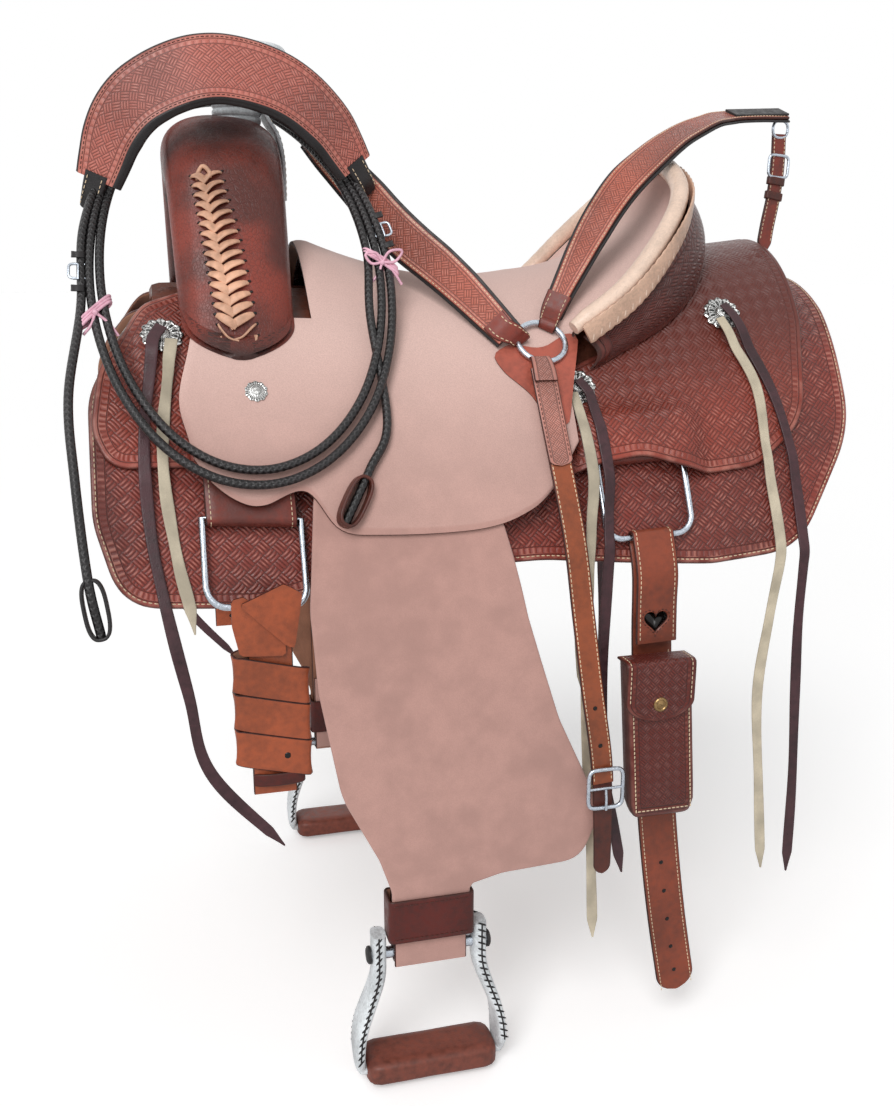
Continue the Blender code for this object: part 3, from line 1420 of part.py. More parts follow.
def make_breast_collar():
    """The breast collar, laid over the fork and the cantle, its ring on the near side of the seat."""
    ring_lift = SEAT_LIFT + SEAT_THICK + 0.0012 + RING_BAR
    ring_x, ring_s = 0.080, 0.160
    centre = side_point(ring_x, ring_s, ring_lift, -1.0)
    pivot("breast_collar_pivot", vec(0.0, 0.020, 0.250))
    on = "breast_collar_pivot"
    out = side_normal(ring_s, -1.0)
    first = unit(np.cross(out, vec(1.0, 0.0, 0.0)))
    second = np.cross(out, first)
    turn = [2 * math.pi * k / 16 for k in range(16)]
    ring = [centre + RING_RADIUS * (first * math.cos(a) + second * math.sin(a)) for a in turn]
    node("collar_ring", rod(ring, RING_BAR, 6, True, out), STEEL, on)
    forward = along(
        [
            side_point(ring_x - 0.036, ring_s - 0.002, ring_lift + 0.009, -1.0),
            (-0.002, -0.130, 0.094),
            (-0.048, -0.086, 0.140),
            (-0.080, -0.046, 0.184),
            (-0.105, -0.014, 0.216),
            (-0.121, 0.018, 0.240),
        ],
        10,
    )
    across = [unit(vec(0.62, -0.10, 0.70))] * 10
    widths = [COLLAR_WIDTH * (0.66 + 0.34 * math.sin(math.pi * i / 9)) for i in range(10)]
    node("collar_front_strap", ribbon(forward, across, widths, COLLAR_THICK), STAMPED, on)
    rearward = along(
        [
            side_point(ring_x + 0.022, ring_s - 0.026, ring_lift + 0.014, -1.0),
            (0.144, -0.136, 0.118),
            (0.186, -0.112, 0.168),
            (0.232, -0.083, 0.230),
            (0.281, -0.047, 0.260),
            (0.350, -0.015, 0.268),
            (0.436, 0.010, 0.270),
        ],
        13,
    )
    across = [unit(vec(-0.62, -0.10, 0.75))] * 13
    swell = [math.sin(math.pi * (0.18 + 0.72 * i / 12)) for i in range(13)]
    widths = [COLLAR_WIDTH * (0.45 + 0.68 * share) for share in swell]
    node("collar_rear_strap", ribbon(rearward, across, widths, COLLAR_THICK), STAMPED, on)
    hung = [(0.431, 0.006, 0.252), (0.429, 0.002, 0.200), (0.418, -0.004, 0.150), (0.410, -0.010, 0.112)]
    node("collar_tug", ribbon(along(hung, 5), vec(1.0, 0.1, 0.0), 0.020, 0.005), HARNESS, on)
    make_chest_strap(centre)


def make_chest_strap(centre):
    pivot("chest_strap_pivot", centre, "breast_collar_pivot")
    route = [(0.072, 0.192, 0.040), (0.073, 0.240, 0.038)]
    low = [(0.077, 0.300), (0.081, 0.360), (0.086, 0.420), (0.097, 0.493), (0.110, 0.575)]
    route += [(x, s, 0.036) for x, s in low + [(0.114, 0.647), (0.115, 0.704)]]
    path = [side_point(x, s, lift, -1.0, True) for x, s, lift in route]
    normals = [side_normal(s, -1.0, True) for _, s, _ in route]
    across = [np.cross(t, n) for t, n in zip(tangents(path), normals)]
    widths = [CHEST_WIDTH + 0.004] + [CHEST_WIDTH] * 7 + [CHEST_WIDTH * 0.7]
    node("chest_strap", ribbon(path, across, widths, STRAP_THICK), HARNESS, "chest_strap_pivot")
    place = side_point(0.1135, 0.602, 0.036, -1.0, True) - vec(0.0, 0.0052, 0.0)
    corners = ((-1, -1), (1, -1), (1, 1), (-1, 1))
    loop = [place + vec(0.0185 * a, 0.0, 0.021 * b) for a, b in corners]
    node("chest_buckle", rod(loop, 0.0022, 6, True, vec(0, 1, 0)), STEEL, "chest_strap_pivot")


def across_side(place):
    """The direction of +X along the side's surface, which widens towards the rear."""
    return unit(vec(1.0, SPREAD * place[1], 2.0 * ROCK * place[0]))


def front_of_jockey(s):
    """How far the seat jockey's front edge is rounded back at s."""
    edge = [(0.125, 0.022), (0.168, 0.012), (0.218, 0.0), (0.256, 0.006), (0.300, 0.016)]
    return float(np.interp(s, [p[0] for p in edge], [p[1] for p in edge]))


def rim_frame(tau):
    """Directions at the rim: along it, towards the seat leather, and square to both."""
    ahead = unit(rim_point(min(tau + 0.03, 1.0)) - rim_point(max(tau - 0.03, -1.0)))
    face = toward_seat(tau)
    face = unit(face - ahead * float(face @ ahead))
    return ahead, face, np.cross(ahead, face)


def surface_normal(x, s, lift, side):
    """The outward direction of a leather whose height is a function of x and s."""
    step = 0.012
    around = ((x - step, s), (x + step, s), (x, s - step), (x, s + step))
    here = [side_point(px, ps, lift(px, ps), side) for px, ps in around]
    normal = unit(np.cross(here[1] - here[0], here[3] - here[2]))
    return normal if normal @ side_normal(s, side) > 0 else -normal


def main():
    clear_scene()
    make_fleeces_and_skirts()
    make_tree()
    make_fork_cover_and_horn()
    make_rear_jockeys()
    make_front_jockeys()
    make_rigging()
    make_fenders()
    make_seat()
    make_cantle()
    make_latigos()
    make_flank_billets()
    make_conchos_and_strings()
    make_breast_collar()
    make_bridle()


main()
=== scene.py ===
import json
import math

import bpy
import numpy as np
from mathutils import Matrix, Vector, noise
from mathutils.geometry import delaunay_2d_cdt

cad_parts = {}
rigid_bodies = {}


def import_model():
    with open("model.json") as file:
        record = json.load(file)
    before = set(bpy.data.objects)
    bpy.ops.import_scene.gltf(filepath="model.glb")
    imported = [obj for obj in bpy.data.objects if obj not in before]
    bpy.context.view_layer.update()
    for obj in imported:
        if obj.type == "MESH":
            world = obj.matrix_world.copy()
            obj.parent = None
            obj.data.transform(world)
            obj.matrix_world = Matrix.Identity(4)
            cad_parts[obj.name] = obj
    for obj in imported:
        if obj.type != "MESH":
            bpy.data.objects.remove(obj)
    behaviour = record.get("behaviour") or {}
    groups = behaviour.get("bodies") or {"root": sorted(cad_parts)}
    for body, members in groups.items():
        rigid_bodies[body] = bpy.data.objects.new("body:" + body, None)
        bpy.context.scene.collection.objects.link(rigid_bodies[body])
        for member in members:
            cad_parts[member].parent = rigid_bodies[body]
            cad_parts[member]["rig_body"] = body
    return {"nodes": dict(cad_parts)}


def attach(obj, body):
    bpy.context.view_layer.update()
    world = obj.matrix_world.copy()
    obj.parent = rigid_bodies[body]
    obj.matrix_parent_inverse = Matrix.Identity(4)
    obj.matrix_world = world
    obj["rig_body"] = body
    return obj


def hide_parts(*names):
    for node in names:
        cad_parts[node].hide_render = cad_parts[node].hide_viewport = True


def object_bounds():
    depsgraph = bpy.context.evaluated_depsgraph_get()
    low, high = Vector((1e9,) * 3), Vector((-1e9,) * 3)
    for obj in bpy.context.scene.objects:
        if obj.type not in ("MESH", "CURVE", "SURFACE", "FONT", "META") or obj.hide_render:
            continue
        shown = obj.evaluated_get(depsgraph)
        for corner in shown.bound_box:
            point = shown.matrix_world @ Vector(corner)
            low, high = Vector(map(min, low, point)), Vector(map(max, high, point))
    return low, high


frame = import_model()
CAD_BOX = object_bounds()
NODES = frame["nodes"]

# Shape of the saddle's side, as in the solids
RIDGE_Z = 0.062
SIDE_SLOPE = math.radians(76.0)
SLOPE_REACH = 0.13
ROCK = 0.15
SPREAD = 0.10
HANG_START = 0.33
HANG_RUN = 0.14
LEATHER_X = -0.064
GAP = 0.0005
FOLD_ROOM = 1.10
SKIRT_THICK = 0.005
FLEECE_THICK = 0.018
BAR_TOP = 0.019
BAR_OUTER = 0.174
JOCKEY_THICK = 0.004
JOCKEY_LIFT = 0.0065
SEAT_LIFT = 0.027
SEAT_THICK = 0.0045
FENDER_LIFT = 0.0225
FENDER_THICK = 0.0035
STRAP_THICK = 0.0032
FORK_X = -0.219
FORK_HALF = 0.0605
FORK_FOOT_HALF = 0.053
FORK_TOP_Z = 0.257
FORK_HALF_SPAN = 0.172
FORK_COVER = 0.004
FORK_FOOT_LIFT = 0.0321
HORN_X = -0.200
POST_RADIUS = 0.0245
CAP_RADIUS = 0.054
CAP_TOP_Z = 0.324
CAP_THICK = 0.020
SEAT_FRONT = -0.147
JOCKEY_FRONT = -0.281
JOCKEY_REAR = 0.100
NOTCH_S = 0.125
REAR_NOTCH_S = 0.176
RIM_TOP_X = 0.272
RIM_TOP_Z = 0.217
RIM_HALF = 0.174
RIM_RADIUS = 0.0145
ROLL_RADIUS = 0.0105
DEE_BAR = 0.0033
DEE_WIDTH = 0.098
DEE_DROP = 0.082
DEE_CORNER = 0.018
DEE_LIFT = 0.0134
DEE_BUMP = 0.0152
FRONT_DEE = (-0.223, 0.323)
REAR_DEE = (0.168, 0.276)
BOLT_Z = -0.573
SIDES = {"left": -1.0, "right": 1.0}

# Colours, as 0 to 255
ROUGHOUT = (190, 148, 138)
RED_BROWN = (144, 60, 46)
DARK_RED = (124, 50, 40)
ORANGE_TAN = (150, 74, 44)
FORK_BROWN = (108, 46, 36)
DARK_EDGE = (62, 30, 24)
DARK_STRING = (64, 40, 44)
CREAM_STRING = (196, 184, 162)
RAWHIDE = (238, 210, 190)
HIDE = (226, 231, 234)
BLACK = (30, 27, 28)
HOBBLE = (76, 24, 18)
TREAD = (108, 57, 45)
WOOL = (214, 203, 182)
STEEL = (196, 204, 214)
PINK = (236, 178, 196)


def smooth(value):
    value = np.clip(value, 0.0, 1.0)
    return value * value * (3.0 - 2.0 * value)


def vec(x, y, z):
    return np.array((x, y, z), float)


def unit(v):
    return v / (np.linalg.norm(v, axis=-1, keepdims=True) + 1e-12)


X, Y, Z = np.eye(3)


def profile(hanging):
    s = np.arange(0.0, 1.2, 0.001)
    slope = SIDE_SLOPE * s**2 / (s**2 + SLOPE_REACH**2)
    if hanging:
        turn = np.clip((s - HANG_START) / HANG_RUN, 0.0, 1.0)
        slope = slope + (math.pi / 2 - slope) * turn**2 * (3.0 - 2.0 * turn)
    y = np.concatenate([[0.0], np.cumsum(np.cos(slope))[:-1] * 0.001])
    z = RIDGE_Z - np.concatenate([[0.0], np.cumsum(np.sin(slope))[:-1] * 0.001])
    return s, y, z, slope


PROFILES = {False: profile(False), True: profile(True)}


def side_point(x, s, lift, side, hanging=False):
    """Points over the saddle's side, at x and arc length s, that stand lift off it."""
    line, y, z, slope = PROFILES[hanging]
    x, s = np.asarray(x, float), np.asarray(s, float)
    angle = np.interp(s, line, slope)
    plumb = smooth((s - HANG_START) / HANG_RUN) if hanging else 0.0
    widen = 1.0 + SPREAD * (x + (LEATHER_X - x) * plumb)
    out = np.interp(s, line, y) * widen + lift * np.sin(angle)
    up = np.interp(s, line, z) + ROCK * x * x + lift * np.cos(angle)
    return np.stack([x + 0.0 * out, side * out, up], axis=-1)


def side_normal(s, side, hanging=False):
    line, _, _, slope = PROFILES[hanging]
    angle = np.interp(s, line, slope)
    return np.stack([0.0 * angle, side * np.sin(angle), np.cos(angle)], axis=-1)


def lift_of(point):
    line, y, z, slope = PROFILES[False]
    across = abs(point[1]) - y * (1.0 + SPREAD * point[0])
    above = point[2] - z - ROCK * point[0] ** 2
    nearest = int(np.argmin(across**2 + above**2))
    angle = slope[nearest]
    return line[nearest], across[nearest] * math.sin(angle) + above[nearest] * math.cos(angle)


def along(points, count):
    """Points read at even steps from a smooth curve through the given ones."""
    points = [np.array(p, float) for p in points]
    ends = [2 * points[0] - points[1]] + points + [2 * points[-1] - points[-2]]
    fine = []
    for i in range(len(points) - 1):
        a, b, c, d = ends[i : i + 4]
        t = np.linspace(0.0, 1.0, 12, endpoint=False)[:, None]
        square = 2 * a - 5 * b + 4 * c - d
        cube = 3 * b - a - 3 * c + d
        fine.append(0.5 * (2 * b + (c - a) * t + square * t**2 + cube * t**3))
    fine = np.concatenate(fine + [points[-1][None]])
    length = np.concatenate([[0.0], np.cumsum(np.linalg.norm(np.diff(fine, axis=0), axis=1))])
    stations = np.linspace(0.0, length[-1], count)
    return np.stack([np.interp(stations, length, fine[:, k]) for k in range(fine.shape[1])], axis=1)


def rounded(corners):
    """A closed outline through corners (x, s, radius), each one eased by its radius."""
    outline = []
    count = len(corners)
    for i, (x, s, radius) in enumerate(corners):
        here = np.array((x, s))
        before = np.array(corners[i - 1][:2])
        after = np.array(corners[(i + 1) % count][:2])
        back, ahead = unit(before - here), unit(after - here)
        half = 0.5 * math.acos(max(-1.0, min(1.0, float(back @ ahead))))
        reach = min(np.linalg.norm(before - here), np.linalg.norm(after - here)) * 0.49
        cut = min(radius / max(math.tan(half), 0.05), reach)
        if cut < 0.0008:
            outline.append(here)
            continue
        first, last = here + back * cut, here + ahead * cut
        for t in np.linspace(0.0, 1.0, 9):
            outline.append((1 - t) ** 2 * first + 2 * t * (1 - t) * here + t * t * last)
    return np.array(outline)


def even(outline, pitch):
    """A closed outline read again at even steps."""
    closed = np.concatenate([outline, outline[:1]])
    length = np.concatenate([[0.0], np.cumsum(np.linalg.norm(np.diff(closed, axis=0), axis=1))])
    count = max(12, int(round(length[-1] / pitch)))
    stations = np.linspace(0.0, length[-1], count, endpoint=False)
    return np.stack([np.interp(stations, length, closed[:, k]) for k in range(2)], axis=1), length[-1]


def inset_line(outline, depth):
    """The outline drawn in by depth, by its own normals."""
    ahead = np.roll(outline, -1, axis=0) - np.roll(outline, 1, axis=0)
    ahead = unit(ahead)
    area = np.sum(outline[:, 0] * np.roll(outline[:, 1], -1) - np.roll(outline[:, 0], -1) * outline[:, 1])
    way = np.stack([-ahead[:, 1], ahead[:, 0]], axis=1) * (1.0 if area > 0 else -1.0)
    return outline + way * depth


def edge_distance(points, outline):
    """How far each flat point is inside the outline (negative outside), and where along it."""
    a = outline
    b = np.roll(outline, -1, axis=0)
    run = np.concatenate([[0.0], np.cumsum(np.linalg.norm(b - a, axis=1))[:-1]])
    best = np.full(len(points), 9.0)
    where = np.zeros(len(points))
    crossings = np.zeros(len(points), int)
    for i in range(len(a)):
        d = b[i] - a[i]
        length = d @ d + 1e-16
        t = np.clip(((points - a[i]) @ d) / length, 0.0, 1.0)
        gap = np.linalg.norm(points - a[i] - t[:, None] * d, axis=1)
        nearer = gap < best
        best = np.where(nearer, gap, best)
        where = np.where(nearer, run[i] + t * math.sqrt(length), where)
        spans = (a[i][1] > points[:, 1]) != (b[i][1] > points[:, 1])
        x = a[i][0] + (points[:, 1] - a[i][1]) * d[0] / (d[1] if abs(d[1]) > 1e-12 else 1e-12)
        crossings += spans & (points[:, 0] < x)
    return np.where(crossings % 2 == 1, best, -best), where


# Meshes


def make_object(name, points, faces, looks, face_slots=None, attributes=None, sharp=None):
    """A smooth mesh with looks by their names in LOOK; sharp is the angle in degrees that stays an edge."""
    mesh = bpy.data.meshes.new(name)
    mesh.from_pydata([tuple(p) for p in points], [], [tuple(int(k) for k in f) for f in faces])
    for look in looks:
        mesh.materials.append(LOOK[look])
    if face_slots is not None:
        mesh.polygons.foreach_set("material_index", np.asarray(face_slots, np.int32))
    for key, values in (attributes or {}).items():
        kind = "FLOAT_VECTOR" if np.ndim(values) == 2 else "FLOAT"
        layer = mesh.attributes.new(key, kind, "POINT")
        field = "vector" if kind == "FLOAT_VECTOR" else "value"
        layer.data.foreach_set(field, np.asarray(values, np.float32).ravel())
    mesh.shade_smooth()
    if sharp:
        mesh.set_sharp_from_angle(angle=math.radians(sharp))
    mesh.validate()
    obj = bpy.data.objects.new(name, mesh)
    bpy.context.scene.collection.objects.link(obj)
    return obj


def turn_outward(obj):
    """Faces outward: the signed volume of a closed mesh is positive."""
    mesh = obj.data
    mesh.calc_loop_triangles()
    co = np.zeros(len(mesh.vertices) * 3)
    mesh.vertices.foreach_get("co", co)
    co = co.reshape(-1, 3)
    tri = np.zeros(len(mesh.loop_triangles) * 3, int)
    mesh.loop_triangles.foreach_get("vertices", tri)
    a, b, c = (co[tri.reshape(-1, 3)[:, k]] for k in range(3))
    if np.sum(np.cross(a, b) * c) < 0.0:
        mesh.flip_normals()
    return obj


def put(obj, node, whole=False):
    """Rides the piece on the node's body, with whole in the place of the node's own mesh."""
    turn_outward(obj)
    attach(obj, NODES[node]["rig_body"])
    if whole:
        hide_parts(node)
    return obj


def loft_faces(rings, count, looped=False):
    """Faces over rings of count points each, capped at both ends unless the rings close on themselves."""
    faces = []
    last = rings if looped else rings - 1
    for i in range(last):
        a, b = i * count, ((i + 1) % rings) * count
        for k in range(count):
            n = (k + 1) % count
            faces.append((a + k, a + n, b + n, b + k))
    if not looped:
        faces.append(tuple(range(count))[::-1])
        faces.append(tuple(range((rings - 1) * count, rings * count)))
    return faces


def sheet_faces(faces, count, under):
    """Faces of a sheet of count points, of its copy below and of the rim between them, with their slots."""
    edges = set()
    for f in faces:
        edges.update(zip(f, f[1:] + f[:1]))
    rim = [(b, a, count + a, count + b) for a, b in sorted(edges) if (b, a) not in edges]
    slots = [0] * len(faces) + [under] * len(faces) + [1] * len(rim)
    return faces + [tuple(count + k for k in f[::-1]) for f in faces] + rim, slots


def grid_faces(rows, cols, kept=lambda i, j: True):
    """The quads of a grid of points, given row by row."""
    cells = [(i, j) for i in range(rows - 1) for j in range(cols - 1) if kept(i, j)]
    starts = [(i * cols + j, (i + 1) * cols + j) for i, j in cells]
    return [(a, a + 1, b + 1, b) for a, b in starts]


def tangents(path, looped=False):
    if looped:
        return unit(np.roll(path, -1, axis=0) - np.roll(path, 1, axis=0))
    return unit(np.gradient(path, axis=0))


def tube(name, path, radius, material, sides=12, looped=False, up=Z):
    """A round bar along a path, turned as little as possible from ring to ring."""
    path = np.asarray(path, float)
    t = tangents(path, looped)
    radius = np.broadcast_to(radius, (len(path),))
    first = np.cross(t[0], np.array(up, float))
    if np.linalg.norm(first) < 0.05:
        first = np.cross(t[0], vec(1.0, 0.2, 0.1))
    rings = []
    run = 0.0
    flat = []
    for i, place in enumerate(path):
        first = unit(first - t[i] * (first @ t[i]))
        second = np.cross(t[i], first)
        if i:
            run += np.linalg.norm(place - path[i - 1])
        for k in range(sides):
            a = 2 * math.pi * k / sides
            rings.append(place + radius[i] * (first * math.cos(a) + second * math.sin(a)))
            flat.append((run, a * radius[i], 0.0))
    faces = loft_faces(len(path), sides, looped)
    return make_object(name, rings, faces, [material], None, {"flat": np.array(flat)}, 50)


def lathe(name, outline, centre, axis, material, sides=48, looped=False, wobble=None, sharp=40):
    axis = unit(np.array(axis, float))
    first = unit(np.cross(axis, X))
    second = np.cross(axis, first)
    points, flat = [], []
    for radius, height in outline:
        for k in range(sides):
            a = 2 * math.pi * k / sides
            r = radius * (1.0 + (wobble(a, radius) if wobble else 0.0))
            points.append(centre + axis * height + r * (first * math.cos(a) + second * math.sin(a)))
            flat.append((a * 0.02, radius, height))
    faces = loft_faces(len(outline), sides, looped)
    return make_object(name, points, faces, [material], None, {"flat": np.array(flat)}, sharp)


TEMPLATE_RINGS = ((-0.5, 0.45), (-0.28, 1.0), (0.28, 1.0), (0.5, 0.45))


def studs(name, centres, ways, outs, length, radius, material, flatten=1.0, sides=6):
    """Many small capsules in one mesh, such as stitches: each lies along its way, with outs its normal."""
    centres, ways, outs = (np.asarray(v, float).reshape(-1, 3) for v in (centres, ways, outs))
    outs = unit(outs)
    ways = unit(ways - outs * np.sum(ways * outs, axis=1, keepdims=True))
    third = np.cross(outs, ways)
    local = []
    for along_it, share in TEMPLATE_RINGS:
        for k in range(sides):
            a = 2 * math.pi * k / sides
            local.append((
                along_it * length, share * radius * math.cos(a), share * radius * flatten * math.sin(a)
            ))
    local = np.array(local)
    points = centres[:, None] + local[None, :, :1] * ways[:, None]
    points = points + local[None, :, 1:2] * third[:, None] + local[None, :, 2:] * outs[:, None]
    base = loft_faces(len(TEMPLATE_RINGS), sides)
    faces = [tuple(k + i * len(local) for k in f) for i in range(len(centres)) for f in base]
    return make_object(name, points.reshape(-1, 3), faces, [material])


def walk(path, outs, pitch, start=0.0, stop=0.0, looped=False):
    """Places at a pitch along a path, with their directions and normals. outs may be one for all."""
    path = np.asarray(path, float)
    outs = np.broadcast_to(np.asarray(outs, float), path.shape)
    if looped:
        path, outs = np.concatenate([path, path[:1]]), np.concatenate([outs, outs[:1]])
    length = np.concatenate([[0.0], np.cumsum(np.linalg.norm(np.diff(path, axis=0), axis=1))])
    count = max(2, int((length[-1] - start - stop) / pitch))
    stations = start + (length[-1] - start - stop) * (np.arange(count) + 0.5) / count
    place = np.stack([np.interp(stations, length, path[:, k]) for k in range(3)], axis=1)
    ahead = np.stack([np.interp(stations + 0.0006, length, path[:, k]) for k in range(3)], axis=1)
    out = np.stack([np.interp(stations, length, outs[:, k]) for k in range(3)], axis=1)
    return place, ahead - place, out


# Leather patterns bent over the side


def flat_pattern(outline, cell):
    """A flat pattern as points and triangles, with fine rows along its edge."""
    line, _ = even(outline, cell * 0.75)
    rows = [line] + [inset_line(line, depth) for depth in (0.0005, 0.0014, 0.0032)]
    low, high = line.min(0), line.max(0)
    grid = []
    for i, s in enumerate(np.arange(low[1], high[1], cell * 0.87)):
        shift = 0.5 * cell * (i % 2)
        grid += [(x, s) for x in np.arange(low[0] + shift, high[0], cell)]
    grid = np.array(grid)
    inside, _ = edge_distance(grid, line)
    grid = grid[inside > 0.0032 + cell * 0.5]
    points = np.concatenate(rows + [grid])
    count = len(line)
    loops = [(i, (i + 1) % count) for i in range(count)]
    found = delaunay_2d_cdt([Vector(p) for p in points], loops, [], 1, 1e-6)
    flat = np.array([tuple(v) for v in found[0]])
    return flat, [tuple(f) for f in found[2]], line


PANEL_CELL = 0.007


def panel(
    name, outline, lift, thickness, side, look, on, hanging=False, round_by=0.45, edge="edge", rough=None
):
    """A leather pattern bent over the side, with a round cut edge. Returns its outline."""
    flat, triangles, line = flat_pattern(outline, PANEL_CELL)
    depth, run = edge_distance(flat, line)
    depth = np.maximum(depth, 0.0)
    x, s = flat[:, 0], flat[:, 1]
    base = lift(x, s) if callable(lift) else np.full(len(flat), float(lift))
    radius = thickness * round_by
    inside = np.minimum(depth, radius)
    drop = radius - np.sqrt(np.maximum(radius**2 - (radius - inside) ** 2, 0.0))
    top = side_point(x, s, base + thickness - drop, side, hanging)
    low = side_point(x, s, base + drop * 0.6, side, hanging)
    if rough:
        top, low = rough(top, low, flat, depth)
    faces, slots = sheet_faces(triangles, len(flat), 2)
    both = {
        "flat": np.tile(np.stack([x, s, 0 * x], axis=1), (2, 1)),
        "border": np.tile(np.stack([run, depth, 0 * x], axis=1), (2, 1))
    }
    materials = [look, edge, "flesh"]
    obj = make_object(name, np.concatenate([top, low]), faces, materials, slots, both, 60)
    put(obj, on, True)
    return line


def panel_stitches(name, line, depth, lift, side, on):
    """A row of stitches on a pattern's face, depth inside its edge."""
    row, _ = even(inset_line(line, depth), 0.004)
    path = side_point(row[:, 0], row[:, 1], lift + 0.0001, side)
    place, way, out = walk(path, side_normal(row[:, 1], side), 0.0052, looped=True)
    put(studs(name, place, way, out, 0.0036, 0.00055, "thread"), on)


# Straps


class Strip:
    """A strap's line, with its width direction and outward normal at each station."""

    def __init__(self, path, across, count, out, looped=False):
        path = [np.array(p, float) for p in path]
        if not isinstance(across, list):
            across = [across] * len(path)
        across = [np.array(a, float) for a in across]
        joined = [np.concatenate([p, unit(a) * 0.004]) for p, a in zip(path, across)]
        if looped:
            closed = np.array(joined + joined[:1])
            steps = np.linalg.norm(np.diff(closed[:, :3], axis=0), axis=1)
            length = np.concatenate([[0.0], np.cumsum(steps)])
            stations = np.linspace(0.0, length[-1], count, endpoint=False)
            dense = np.stack([np.interp(stations, length, closed[:, k]) for k in range(6)], axis=1)
        else:
            dense = along(joined, count)
        self.looped = looped
        self.place = dense[:, :3]
        self.way = tangents(self.place, looped)
        wide = dense[:, 3:]
        self.wide = unit(wide - self.way * np.sum(wide * self.way, axis=1, keepdims=True))
        normal = np.cross(self.way, self.wide)
        if normal[0] @ np.array(out, float) < 0:
            normal = -normal
        self.out = normal
        steps = np.linalg.norm(np.diff(self.place, axis=0), axis=1)
        self.run = np.concatenate([[0.0], np.cumsum(steps)])

    def spread(self, widths):
        if np.ndim(widths) == 0:
            return np.full(len(self.place), float(widths))
        return np.interp(np.linspace(0, 1, len(self.place)), np.linspace(0, 1, len(widths)), widths)

    def mesh(
        self, name, widths, thickness, look, edge=None, crown=0.0, lift=0.0, tip=None, scallop=None,
        back=None
    ):
        """The strap's solid: flat faces, round edges, a crown if it is padded, a round or pointed tip."""
        width = self.spread(widths)
        thick = self.spread(thickness)
        if tip:
            shape, reach = tip
            inside = np.clip((self.run[-1] - self.run) / reach, 0.0, 1.0)
            if shape == "round":
                width = width * np.sqrt(np.maximum(1 - (1 - inside) ** 2, 0.02))
            else:
                width = width * (0.18 + 0.82 * inside)
        if scallop:
            width = width + scallop[0] * np.abs(np.sin(np.pi * self.run / scallop[1]))
        across_steps = [-1.0, -0.75, -0.4, 0.0, 0.4, 0.75, 1.0]
        points, flats, borders = [], [], []
        count = 2 * len(across_steps) + 4
        for i in range(len(self.place)):
            half, t = width[i] / 2, thick[i] / 2
            r = min(t * 0.9, half * 0.5)
            ring = [(u * (half - r), t + crown * (1 - u * u), 1) for u in across_steps]
            ring += [(half - r * 0.3, t * 0.6, 1), (half - r * 0.3, -t * 0.6, -1)]
            ring += [(u * (half - r), -t, -1) for u in across_steps[::-1]]
            ring += [(-half + r * 0.3, -t * 0.6, -1), (-half + r * 0.3, t * 0.6, 1)]
            for u, h, _ in ring:
                points.append(self.place[i] + self.wide[i] * u + self.out[i] * (h + lift))
                flats.append((self.run[i], u, 0.0))
                borders.append((self.run[i], half - abs(u), 0.0))
        faces = loft_faces(len(self.place), count, self.looped)
        n = len(across_steps)
        side_of = [0] * (n - 1) + [1, 1, 1] + [2] * (n - 1) + [1, 1, 1]
        rings = len(self.place) if self.looped else len(self.place) - 1
        slots = side_of * rings + ([] if self.looped else [1, 1])
        attributes = {"flat": np.array(flats), "border": np.array(borders)}
        materials = [look, edge or "edge", back or edge or "flesh"]
        return make_object(name, points, faces, materials, slots, attributes, 60)

    def row(self, offset, lift):
        return self.place + self.wide * np.reshape(offset, (-1, 1)) + self.out * lift

    def stitches(self, name, offsets, lift, look="thread", pitch=0.0048, start=0.003, stop=0.003):
        """Rows of stitches at offsets from the middle line."""
        every = [[], [], []]
        for offset in offsets:
            line = self.row(self.spread(offset), lift)
            for held, found in zip(every, walk(line, self.out, pitch, start, stop, self.looped)):
                held.append(found)
        place, way, out = (np.concatenate(v) for v in every)
        return studs(name, place, way, out, 0.0034, 0.0005, look)


def across_side(place):
    return unit(vec(1.0, SPREAD * place[1], 2.0 * ROCK * place[0]))


# Materials


def linear(colour):
    return tuple(((v / 255 + 0.055) / 1.055) ** 2.4 if v > 10 else v / 255 / 12.92 for v in colour) + (1.0,)


